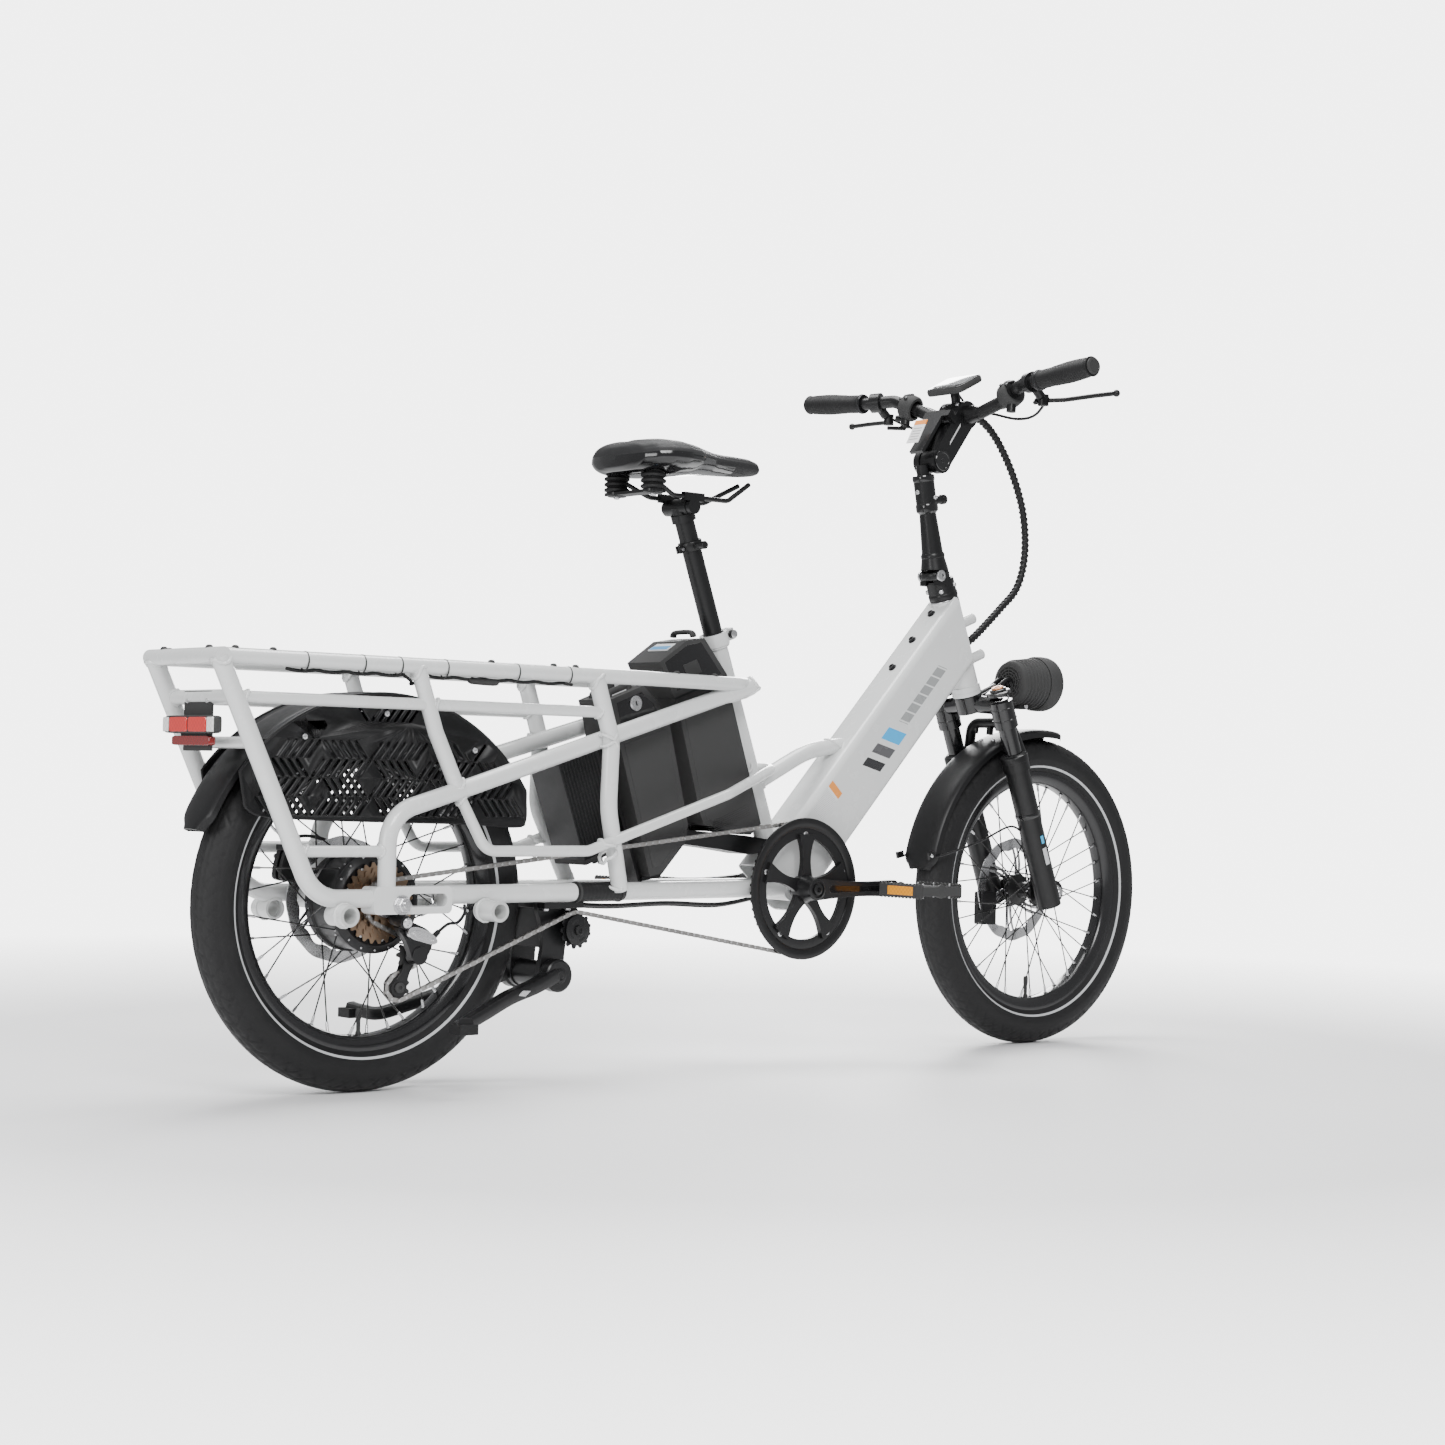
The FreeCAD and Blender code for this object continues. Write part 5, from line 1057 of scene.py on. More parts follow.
def build_derailleur():
    """Derailleur: hanger knuckle, parallelogram with a bright outer plate, lower knuckle, cage, jockeys."""
    tx, tz = JOCKEY_TOP
    piece = Piece()
    piece.add(rod([12, -67, 246], [12, -97, 240], 11, 9.5, 28), 0)
    piece.add(lathe([(7.5, 0), (7.5, 2), (5.5, 3.4), (3.2, 3.4), (3.2, 1), (0.01, 1)], [12, -97, 240],
                    [0, -1, -0.15], 20), 1)
    piece.add(rod([tx, -67, tz], [tx, -84, tz], 13.5, 12.5, 32), 0)
    link = np.array([(8, 232), (18, 243), (36, 238), (58, 228), (66, 214), (60, 196), (48, 184), (34, 186),
                     (28, 200),
                     (20, 216)])
    piece.add(prism(smooth_outline(link, 40), -82, -70), 0)
    plate = np.array([(18, 231), (30, 234), (50, 228), (63, 219), (66, 212), (58, 209), (40, 213), (22, 219)])
    piece.add(prism(smooth_outline(plate, 36), -93, -84), 2)
    piece.add(prism(smooth_outline(plate * 0.62 + plate.mean(0) * 0.38, 30), -94.2, -92.6), 1)
    for p in ((24, 226), (57, 215)):
        piece.add(bolt([p[0], -93, p[1]], [0, -1, 0], 3.0, 2.0), 1)
    piece.add(rod([66, -78, 216], [78, -78, 226], 4.5, 3.6, 16), 0)
    wire = smooth_path([(78, -78, 226), (92, -80, 236), (108, -80, 238), (122, -76, 250), (126, -70, 262)],
                       24)
    piece.add(sweep(wire, 2.3, 10), 3)
    piece.make("derailleur_linkage",
               [black_satin(), silver(), brushed("derailleur_plate", (0.66, 0.66, 0.67), 0.22),
                cable_cover()],
               "frame", ["derailleur_body"], bevel=0.7)

    lx, lz = JOCKEY_LOW
    cage = Piece()
    d = unit([lx - tx, 0, lz - tz])
    n = np.array([-d[2], 0, d[0]])
    for y0, y1 in ((-61.2, -59.6), (-50.4, -48.8)):
        s = np.linspace(0, 1, 9)
        t = np.linspace(0, pi, 12)
        length = hypot(lx - tx, lz - tz)
        top = [(-(11.5 * sin(a)), 11.5 * cos(a)) for a in t]
        bottom = [(length + 13.5 * sin(a), -13.5 * cos(a)) for a in t]
        waist = [(length * k, -11.5 + 5.5 * sin(pi * k)) for k in s[1:-1]]
        waist2 = [(length * k, 12.5 - 4.5 * sin(pi * k)) for k in s[::-1][1:-1]]
        o = [(tx + d[0] * a + n[0] * w, tz + d[2] * a + n[2] * w) for a, w in top + waist + bottom + waist2]
        cage.add(prism(o, y0, y1), 0)
    for (x, z), k in ((JOCKEY_TOP, 0), (JOCKEY_LOW, 1)):
        gear(cage, x, z, CHAIN_Y, 9, 2.2, 4.0, 1, 2.0)
        cage.add(lathe([(7.5, 0), (7.5, 2.6), (6.5, 3.2), (2.8, 3.2), (2.8, 1.4), (0.01, 1.4)], [x, -61, z],
                       [0, -1, 0], 24), 1)
        cage.add(rod([x, -61, z], [x, -49, z], 4.4, n=16), 2)
    cage.make("derailleur_cage_plates", [black_satin(), black_plastic(), silver()], "derailleur_cage",
              ["derailleur_cage"],
              bevel=0.3)


def smooth_outline(points, count):
    return smooth_path(points, count, closed=True)


# ------------------------------------------------------------------ kickstand
STAND = np.array([305.0, 0.0, 155.0])


def build_kickstand():
    """Cast bracket under the chainstays with its pivot, and two box legs swept back to wide feet."""
    x, z = STAND[0], STAND[2]
    piece = Piece()
    for s in (-1, 1):
        o = smooth_outline([(286, 262), (330, 262), (346, 258), (345, 236), (334, 214), (329, 186),
                            (327, 160), (318, 138),
                            (300, 134), (285, 146), (284, 170), (288, 200), (284, 232), (276, 256)], 60)
        piece.add(prism(o, s * 40, s * 31), 0)
    piece.add(slab([307, 0, 226], [1, 0, 0], Y_AXIS, (34, 62, 62)), 0, False)
    piece.add(rod([x, -40, z], [x, 40, z], 19.5, n=40), 0)
    piece.add(slab([313, 0, 257.6], [1, 0, 0], Y_AXIS, (72, 116, 9.0)), 0, False)
    for s in (-1, 1):
        for dx in (-18, 22):
            piece.add(bolt([x + dx, s * 47, 253], [0, 0, -1], 5.0, 4.5), 1)
    ix, iz = IDLER
    tab = smooth_outline([(ix - 13, iz), (ix - 8, iz - 11), (ix + 5, iz - 12), (ix + 12, iz - 3),
                          (ix + 12, iz + 16),
                          (ix + 10, 252), (ix - 12, 252), (ix - 12, iz + 16)], 30)
    piece.add(prism(tab, -45, -37.5), 0)
    piece.add(rod([ix, -63.5, iz], [ix, -38, iz], 4.9, n=20), 1)
    piece.add(lathe([(7.5, 0), (7.5, 3), (6.5, 4), (3.5, 4), (3.5, 1.5), (0.01, 1.5)], [ix, -62.4, iz],
                    [0, -1, 0], 24), 0)
    piece.make("kickstand_casting", [black_satin(), silver()], "frame", ["kickstand_bracket"], bevel=1.2)

    legs = Piece()
    for s in (-1, 1):
        legs.add(lathe([(0.01, 40.4), (22, 40.4), (24, 43), (24, 59), (21, 61.5), (11, 61.5), (10.5, 63.5),
                        (6, 64), (5, 62.5),
                        (0.01, 62.5)], [x, 0, z], [0, s, 0], 48), 0)
        pts = np.array([(x - 6, s * 52, z + 1), (258, s * 60, 141), (205, s * 72, 128), (150, s * 89, 110),
                        (104, s * 104, 96),
                        (88, s * 126, 98), (80, s * 146, 101)], float)
        path = smooth_path(pts, 40)
        w = np.interp(np.linspace(0, 1, 40), [0, 0.12, 0.5, 0.78, 0.9, 1], [13, 11.5, 10.5, 10, 10, 11])
        t = np.linspace(0, 2 * pi, 24, endpoint=False)
        sq = (np.abs(np.cos(t)) ** 5 + np.abs(np.sin(t)) ** 5) ** (-1 / 5)
        _, u, v = path_frames(path)
        ring = path[:, None] + (w[:, None] * (np.cos(t) * sq)[None])[..., None] * u[:, None] \
            + (w[:, None] * (np.sin(t) * sq)[None] * 0.9)[..., None] * v[:, None]
        legs.add(grid(ring, wrap_v=True, caps=True), 0)
        foot = path[-1]
        legs.add(slab(foot + [0, s * -6, -6], [1, 0, 0], Y_AXIS, (30, 30, 14)), 1, False)
        mid = np.array([228, s * (66 + 11.5), 134])
        o = [(mid[0] - 12, mid[2] - 3), (mid[0] - 2, mid[2] + 4.5), (mid[0] + 12, mid[2] + 3.5),
             (mid[0] + 2, mid[2] - 4.5)]
        legs.add(prism(o, mid[1] - 2.5, mid[1] + 2.5), 2)
    legs.add(rod([x, -60, z], [x, 60, z], 8.9, n=28), 2)
    legs.make("kickstand_box_legs", [black_satin(), rubber(), silver()], "kickstand", ["kickstand_legs"],
              bevel=0.8)


# ------------------------------------------------------------------ frame details
PAINTED = ("head_tube", "seat_tube", "top_rail_loop", "second_rails", "rear_posts", "main_stays",
           "rack_posts",
           "lower_stay_loop", "chainstays", "rack_crossbars", "footboard_stubs")
DARK_NODES = ("battery_mounts", "mast_base", "fork_crown", "fork_lowers", "mast", "stem", "stem_lever",
              "handlebar",
              "seatpost", "seat_collar_lever", "lever_perches", "brake_lever_right", "brake_lever_left",
              "throttle_lever")


def finish_nodes():
    """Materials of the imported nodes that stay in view."""
    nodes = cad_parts

    def dress(name, material):
        mesh = nodes[name].data
        mesh.materials.clear()
        mesh.materials.append(material)

    for name in PAINTED:
        dress(name, white_paint())
    dress("down_tube", paint_finish("frame_white_striped", tuple(bpy.context.scene.bike_frame.colour), True))
    for name in DARK_NODES:
        dress(name, black_satin())
    dress("fork_crown", black_gloss())
    dress("mast", black_satin())
    dress("handlebar", black_satin())
    dress("rear_axle", silver())
    dress("rear_caliper", dark_metal())
    dress("saddle_frame", black_satin())


def ring_bead(piece, centre, axis, radius, bead=2.6, n=72):
    """Weld bead: a torus of radius R whose tube radius swells with each ripple, b*(1 + 0.13 cos(k*t))."""
    a = unit(axis)
    u, v = frame_of(a)
    t = np.linspace(0, 2 * pi, n, endpoint=False)
    ripples = max(8, int(2 * pi * radius / 3.2))
    b = bead * (1 + 0.13 * np.cos(ripples * t))
    s = np.linspace(0, 2 * pi, 8, endpoint=False)
    out = np.cos(t)[:, None] * u + np.sin(t)[:, None] * v
    base = np.asarray(centre, float) + radius * out
    pts = base[:, None] + (b[:, None] * np.cos(s)[None])[..., None] * out[:, None] \
        + (b[:, None] * np.sin(s)[None])[..., None] * a
    piece.add(grid(pts, wrap_u=True, wrap_v=True))


def joint_bead(piece, foot, tube_dir, tube_r, main_dir, main_r, bead):
    """Bead where a tube of radius r meets a larger one of radius R: the saddle curve of two cylinders.
    foot is on the larger tube's axis; the curve is foot + h*d + r*(cos t, sin t), with
    h = sqrt(R^2 - g^2) / sin of the angle between the tubes."""
    d, m = unit(tube_dir), unit(main_dir)
    side = unit(np.cross(m, d))
    along = np.cross(d, side)
    t = np.linspace(0, 2 * pi, 56, endpoint=False)
    g = np.clip(tube_r * np.cos(t), -main_r * 0.985, main_r * 0.985)
    s_dm = max(np.linalg.norm(np.cross(d, m)), 0.35)
    lean = d.dot(m) * (1 if along.dot(m) > 0 else -1)
    h = (np.sqrt(main_r**2 - g**2) - tube_r * np.sin(t) * lean) / s_dm
    path = np.asarray(foot, float) + h[:, None] * d \
        + (tube_r * np.cos(t))[:, None] * side + (tube_r * np.sin(t))[:, None] * along
    ripple = bead * (1 + 0.12 * np.cos(np.arange(56) * 2 * pi / 4))
    closed = np.vstack([path, path[:1]])
    tangent = np.gradient(np.vstack([path[-1:], closed]), axis=0)[1:-1]
    tangent /= np.linalg.norm(tangent, axis=1)[:, None]
    out = np.cos(t)[:, None] * side + np.sin(t)[:, None] * along
    b2 = np.cross(tangent, out)
    s = np.linspace(0, 2 * pi, 8, endpoint=False)
    pts = path[:, None] + (ripple[:, None] * np.cos(s))[..., None] * out[:, None] \
        + (ripple[:, None] * np.sin(s))[..., None] * b2[:, None]
    piece.add(grid(pts, wrap_u=True, wrap_v=True))


RAIL_R, STAY_R, THIN_R, SECOND_R, SEAT_TUBE_R = 11.1, 12.7, 8.0, 8.3, 17.2
RAIL_Y, RAIL_Z, SECOND_Z = 87.0, 594, 541
STUD_Z = RAIL_Z + 10.6
STUD = [(5.2, -1.5), (5.2, 0.6), (4.2, 2.6), (2.4, 3.6), (0.01, 3.9)]


def build_frame_details():
    """Weld beads at the tube joints, rack studs, stub linings, chainstay guard and tube bolts."""
    bead = bpy.context.scene.bike_frame.weld_size / MM
    weld = Piece()
    x_dir = np.array([1.0, 0, 0])
    for s in (-1, 1):
        yy = s * RAIL_Y
        joints = [
            ((25, yy, RAIL_Z), (33, 0, -91), RAIL_R, x_dir, RAIL_R),
            ((338, yy, RAIL_Z), (32, 0, -94), STAY_R, x_dir, RAIL_R),
            ((25, yy, RAIL_Z), (0, -s, 0), THIN_R, x_dir, RAIL_R),
            ((338, yy, RAIL_Z), (0, -s, 0), THIN_R, x_dir, RAIL_R),
            ((-285, yy, RAIL_Z), (152, 0, -320), STAY_R, (0, 1, 0), RAIL_R),
            ((672, s * 50.2, 592), (-554, s * 36.8, -164), STAY_R, (1, -s * 0.4, 0), RAIL_R),
            ((58, yy, SECOND_Z), (-1, 0, 0), SECOND_R, (33, 0, -91), RAIL_R),
            ((46, yy, SECOND_Z), (1, 0, 0), SECOND_R, (33, 0, -91), RAIL_R),
            ((357, yy, SECOND_Z), (-1, 0, 0), SECOND_R, (32, 0, -94), STAY_R),
            ((-259, yy, SECOND_Z), (1, 0, 0), SECOND_R, (152, 0, -320), STAY_R),
            ((101, yy, 421), (-43, 0, 85), RAIL_R, (554, 0, 164), STAY_R),
            ((366, yy, 500), (-30, 0, 94), STAY_R, (554, -s * 36.8, 164), STAY_R),
            ((366, yy, 500), (-1, 0, -94), STAY_R, (554, -s * 36.8, 164), STAY_R),
            ((98, yy, 420), (50, 0, -82), THIN_R, (554, 0, 164), STAY_R),
            ((-163, yy, 338), (1, 0, 0), THIN_R, (152, 0, -320), STAY_R),
            ((-17, yy, 338), (-1, 0, 0), THIN_R, (0, 0, 1), STAY_R),
            ((-256, yy, SECOND_Z), (0, -s, 0), 10.0, (152, 0, -320), STAY_R),
            ((-230, yy, 481), (0, -s, 0), THIN_R, (152, 0, -320), STAY_R),
            ((367, s * 86, 345), (0, 0, 1), STAY_R, (1, 0, 0.1), THIN_R),
            ((372, s * 82, 334), (0.35, -s * 0.2, -1), STAY_R, (1, 0, 0.1), THIN_R),
            ((408, s * 60, 279), (-45, s * 25, 120), STAY_R, (1, s * 0.06, 0), 13.5),
        ]
        for foot, d, r, m, big in joints:
            joint_bead(weld, foot, d, r, m, big, bead)
        for sx, sz in ((-93, 252), (155, 254)):
            ring_bead(weld, (sx, s * (101.5 if sx < 0 else 80.5), sz), Y_AXIS, 15.4, bead * 0.9, 44)
    joint_bead(weld, (985, 0, 514), (-140, 0, -17), 13.0, DOWN_DIR, 54.0, bead)
    joint_bead(weld, (725, 0, 438), (120, 0, 59), 13.0, SEAT_UP, SEAT_TUBE_R, bead)
    for s in (-1, 1):
        joint_bead(weld, seat(203.5, 0, 0), (-30, s * 34, -1.5), THIN_R, SEAT_UP, SEAT_TUBE_R, bead)
        joint_bead(weld, seat(338.5, 0, 0), (-30, s * 30, -1.5), RAIL_R, SEAT_UP, SEAT_TUBE_R, bead)
    ring_bead(weld, seat(26, 0), SEAT_UP, 17.6, bead, 60)
    ring_bead(weld, seat(402.5, 0), SEAT_UP, 18.6, bead, 60)
    for s in (34, -30):
        ring_bead(weld, head(s, 24.5), HEAD_FWD, 9.3, bead * 0.8, 36)
    weld.make("weld_beads", [white_paint()], "frame", slot_name="frame_paint", sharp=80)

    studs = Piece()
    for s in (-1, 1):
        for x in (-262, -205, 150, 260, 300, 500, 585):
            yy = s * (RAIL_Y if x <= 430 else RAIL_Y - (x - 430) / 210 * 29)
            studs.add(lathe(STUD, (x, yy, STUD_Z), Z_AXIS, 20), 0)
    for s in (-60, 60):
        studs.add(lathe(STUD, (-285, s, STUD_Z), Z_AXIS, 20), 0)
    up_normal = np.array([-DOWN_DIR[2], 0, DOWN_DIR[0]])
    for along in (-52.0, -118.0, 12.0):
        p = DOWN_MID + DOWN_DIR * along + up_normal * 53.6
        studs.add(lathe([(7.2, -0.5), (7.2, 1.0), (6.4, 1.4), (5.0, 1.4), (4.8, 5.2), (2.4, 5.4),
                         (2.2, 3.0), (0.01, 3.0)],
                        p, up_normal, 24), 1)
    for sx, sz, y0 in ((-93, 252, 84), (155, 254, 84)):
        for s in (-1, 1):
            studs.add(lathe([(11.9, y0), (11.9, 114.6), (14.6, 116.0), (14.6, 116.9), (10.6, 116.9),
                             (10.2, 114), (10.2, y0)],
                            (sx, 0, sz), (0, s, 0), 40, closed=True), 2)
    studs.make("studs_and_bolts", [black_plastic(), dark_metal(),
                                   weave_finish("stub_lining", (0.55, 0.56, 0.55), 0.4, 500)],
               "frame", bevel=0.0)

    guard = Piece()
    p0, p1 = np.array([80.0, -70.0, 276.5]), np.array([775.0, -28.0, 276.5])
    d = unit(p1 - p0)
    a, b = p0 + d * 250, p0 + d * 345
    u, v = frame_of(d)
    t = np.linspace(0, 2 * pi, 40, endpoint=False)
    s = np.linspace(0, 1, 40)[:, None]
    swell = 14.6 + 0.25 * np.cos(s * 2 * pi * 13) - 0.9 * np.exp(-(s / 0.02) ** 2) - 0.9 * np.exp(-((1 - s)
            / 0.02) ** 2)
    ring = np.cos(t)[:, None] * u + np.sin(t)[:, None] * v
    pts = (a + (b - a) * s)[:, None] + swell[..., None] * ring[None]
    guard.add(grid(pts, wrap_v=True, caps=True), 0)
    for k in (0.06, 0.94):
        guard.add(lathe([(15.3, -2), (15.8, -1), (15.8, 1), (15.3, 2), (14.0, 2), (14.0, -2)],
                        a + (b - a) * k, d, 40, closed=True), 1)
    guard.make("chainstay_guard", [rubber(), black_plastic()], "frame")


# ------------------------------------------------------------------ calipers, axle
def build_rear_end():
    """Rear axle nuts and washers, and the two halves of the rear brake caliper with its bolts."""
    piece = Piece()
    for s in (-1, 1):
        c = np.array([0, s * 100.2, AXLE_Z])
        piece.add(lathe([(6.2, 0), (13.5, 0), (13.5, 2.0), (6.2, 2.0)], c, (0, s, 0), 36, closed=True), 0)
        hexa = lathe([(6.0, 2.0), (11.0, 2.0), (11.2, 3.0), (11.2, 9.6), (9.4, 11.0), (6.0, 11.0)], c,
                     (0, s, 0), 6, closed=True)
        piece.add(hexa, 0, False)
        piece.add(lathe([(5.9, 8.0), (5.9, 13.6), (4.8, 14.6), (0.01, 14.6)], c, (0, s, 0), 24), 0)
        piece.add(lathe([(6.1, 0), (9, 0.2), (9, 1.0), (6.1, 1.0)], np.array([0, s * 66, AXLE_Z]),
                        (0, s, 0), 24, closed=True), 0)
    piece.make("axle_nuts", [silver()], "frame", ["rear_axle"], bevel=0.4)

    cal = Piece()
    body = smooth_outline([(-106, 300), (-98, 334), (-84, 341), (-68, 338), (-61, 318), (-64, 300),
                           (-78, 292), (-96, 292)], 44)
    cal.add(prism(body, 55.6, 66.5), 0)
    cal.add(prism(body, 40.5, 49.4), 0)
    for x, z in ((-99, 326), (-70, 331), (-72, 302)):
        cal.add(bolt((x, 66.2, z), (0, 1, 0), 4.0, 3.0), 1)
    cal.add(rod((-84, 66, 316), (-84, 71, 316), 10.5, 9.6, 30), 1)
    cal.add(slab((-84, 52.5, 338.5), (1, 0, 0), Y_AXIS, (34, 24, 8)), 0, False)
    cal.make("rear_caliper_halves", [black_satin(), silver()], "frame", ["rear_caliper"], bevel=1.0)


# ------------------------------------------------------------------ lights
def build_tail_light():
    """Two-cell red lamp with clear corner windows, dark red reflector under it, and the back plate."""
    piece = Piece()
    piece.add(slab((-261.3, 5, 509), (0, 1, 0), Z_AXIS, (72, 80, 4)), 0, False)

    def case(x0, x1, y0, y1, z0, z1, slot):
        yc, zc = (y0 + y1) / 2, (z0 + z1) / 2
        t = np.linspace(0, 2 * pi, 48, endpoint=False)
        e = 0.18
        oy = (y1 - y0) / 2 * np.sign(np.cos(t)) * np.abs(np.cos(t)) ** e
        oz = (z1 - z0) / 2 * np.sign(np.sin(t)) * np.abs(np.sin(t)) ** (e * 1.6)
        rings = []
        for shrink, x in ((1.0, x1), (1.0, x0 + 3.5), (0.985, x0 + 1.2), (0.955, x0)):
            rings.append(np.stack([np.full(48, x), yc + oy * shrink, zc + oz * shrink], -1))
        piece.add(grid(np.array(rings), wrap_v=True, caps=True), slot)

    case(-276.0, -263.6, -61, 74, 492, 516, 0)
    for y0, y1, slot in ((-42.5, 5.5, 1), (8.5, 56, 1), (-59.5, -44.5, 2), (58, 72.5, 2)):
        case(-277.6, -272.5, y0, y1, 494, 514, slot)
    case(-272.4, -263.6, -45, 58, 476, 489, 3)
    case(-268.5, -263.3, -30, 40, 486, 494, 0)
    for yy in (-22, 30):
        piece.add(bolt((-263.2, yy, 536), (-1, 0, 0), 4.2, 2.8), 4)
    piece.make("tail_lamp", [black_plastic(), lens_finish("lamp_red", (0.62, 0.02, 0.015)),
                             lens_finish("lamp_clear", (0.86, 0.85, 0.84)),
                             lens_finish("reflector_red", (0.20, 0.006, 0.005)),
                             silver()], "frame", ["tail_light"], bevel=0.6)


def build_headlight():
    """Ribbed drum of the headlight with a grille of rings on its back, lens in front, bracket and bolts."""
    piece = Piece()
    z = 626.0
    prof = [(0.01, 1319.5), (17.5, 1318.0), (20, 1317.6), (20.6, 1316.6), (33.0, 1316.6), (36.5, 1319),
            (38, 1323)]
    x = 1326.0
    while x < 1372:
        prof += [(38.0 + (x - 1323) * 0.11, x), (39.6 + (x - 1323) * 0.11, x + 1.0),
                 (39.6 + (x - 1323) * 0.11, x + 4.2),
                 (37.8 + (x - 1323) * 0.11, x + 5.2), (37.8 + (x - 1323) * 0.11, x + 6.6)]
        x += 7.6
    prof += [(46, 1376), (47.6, 1380), (48, 1392), (47.6, 1402), (46.2, 1407), (43.2, 1408), (42.4, 1404),
             (42.0, 1400)]
    piece.add(lathe(prof + [(0.01, 1400)], (0, 0, z), (1, 0, 0), 96), 0)
    for r in (12.0, 17.0, 22.0, 27.0):
        piece.add(lathe([(r - 1.3, 1317.2), (r - 1.2, 1314.9), (r + 1.2, 1314.9), (r + 1.3, 1317.2)],
                        (0, 0, z), (1, 0, 0), 64, closed=True), 0)
    for k in range(14):
        a = 2 * pi * k / 14
        p = np.array([1316.0, 19.5 * sin(a), z + 19.5 * cos(a)])
        piece.add(slab(p, (0, -cos(a), sin(a)), (0, sin(a), cos(a)), (1.6, 19, 3.0)), 0, False)
    piece.add(lathe([(0.01, 1403.5), (20, 1403), (41.6, 1400.5), (41.6, 1399), (0.01, 1399)], (0, 0, z),
                    (1, 0, 0), 64), 1)
    piece.add(lathe([(0.01, 1314), (5.5, 1314.2), (6.5, 1316), (6.5, 1318), (0.01, 1318)], (0, 0, z),
                    (1, 0, 0), 28), 2)
    arm = smooth_path([head(-96.4, 20), head(-96.4, 60), head(-92, 100), (1330, 0, 596), (1352, 0, 588)], 26)
    for s in (-1, 1):
        off = np.array([0, s * 9.0, 0])
        piece.add(sweep(arm + off, 3.4, 12, 1.4), 2)
    foot = np.array([1346, 0, 585.0])
    piece.add(slab(foot, (1, 0, 0), Y_AXIS, (30, 26, 9)), 2, False)
    piece.add(bolt(foot + [0, 13, 0], (0, 1, 0), 4.5, 3), 3)
    piece.add(bolt(foot + [0, -13, 0], (0, -1, 0), 4.5, 3), 3)
    piece.add(slab(head(-96.4, 34), HEAD_FWD, Y_AXIS, (26, 26, 8)), 2, False)
    piece.make("headlight_drum", [black_plastic(), lens_finish("headlight_lens", (0.80, 0.83, 0.86), 0.04),
                                  black_satin(), silver()],
               "steering", ["headlight"], bevel=0.5)


# ------------------------------------------------------------------ batteries and controller
FRONT_PACK = ((112, 60), (121, 34), (323, 29), (365, 26), (432, 52), (439, 88), (424, 148), (347, 136),
              (180, 147), (161, 145))
REAR_PACK = ((123, 271), (119, 246), (149, 187), (172, 175), (328, 160), (370, 172), (400, 190),
             (400, 256.6), (368, 258),
             (335, 262))
PACK_HALF = 39.7


def seat_outline(points):
    """(s, d) places along and behind the seat tube to (x, z)."""
    return [(p[0], p[2]) for p in (seat(s, d) for s, d in points)]


CROWN = 0.6                      # swell of a raised panel over its edge


def side_panel(piece, outline, y, depth, slot):
    """Raised panel on both sides of a pack: the outline pulled in and swelling outwards in two steps."""
    o = np.array(outline, float)
    c = o.mean(0)
    rings = []
    for k, out in ((1.0, 0.0), (0.985, depth * 0.8), (0.955, depth), (0.5, depth + CROWN / 2),
                   (0.02, depth + CROWN)):
        q = c + (o - c) * k
        rings.append(np.c_[q[:, 0], np.full(len(o), y + out), q[:, 1]])
    shape = grid(np.array(rings), wrap_v=True, caps=True)
    area = np.sum(o[:, 0] * np.roll(o[:, 1], -1) - np.roll(o[:, 0], -1) * o[:, 1])
    piece.both(shape if area > 0 else flipped(shape), slot)


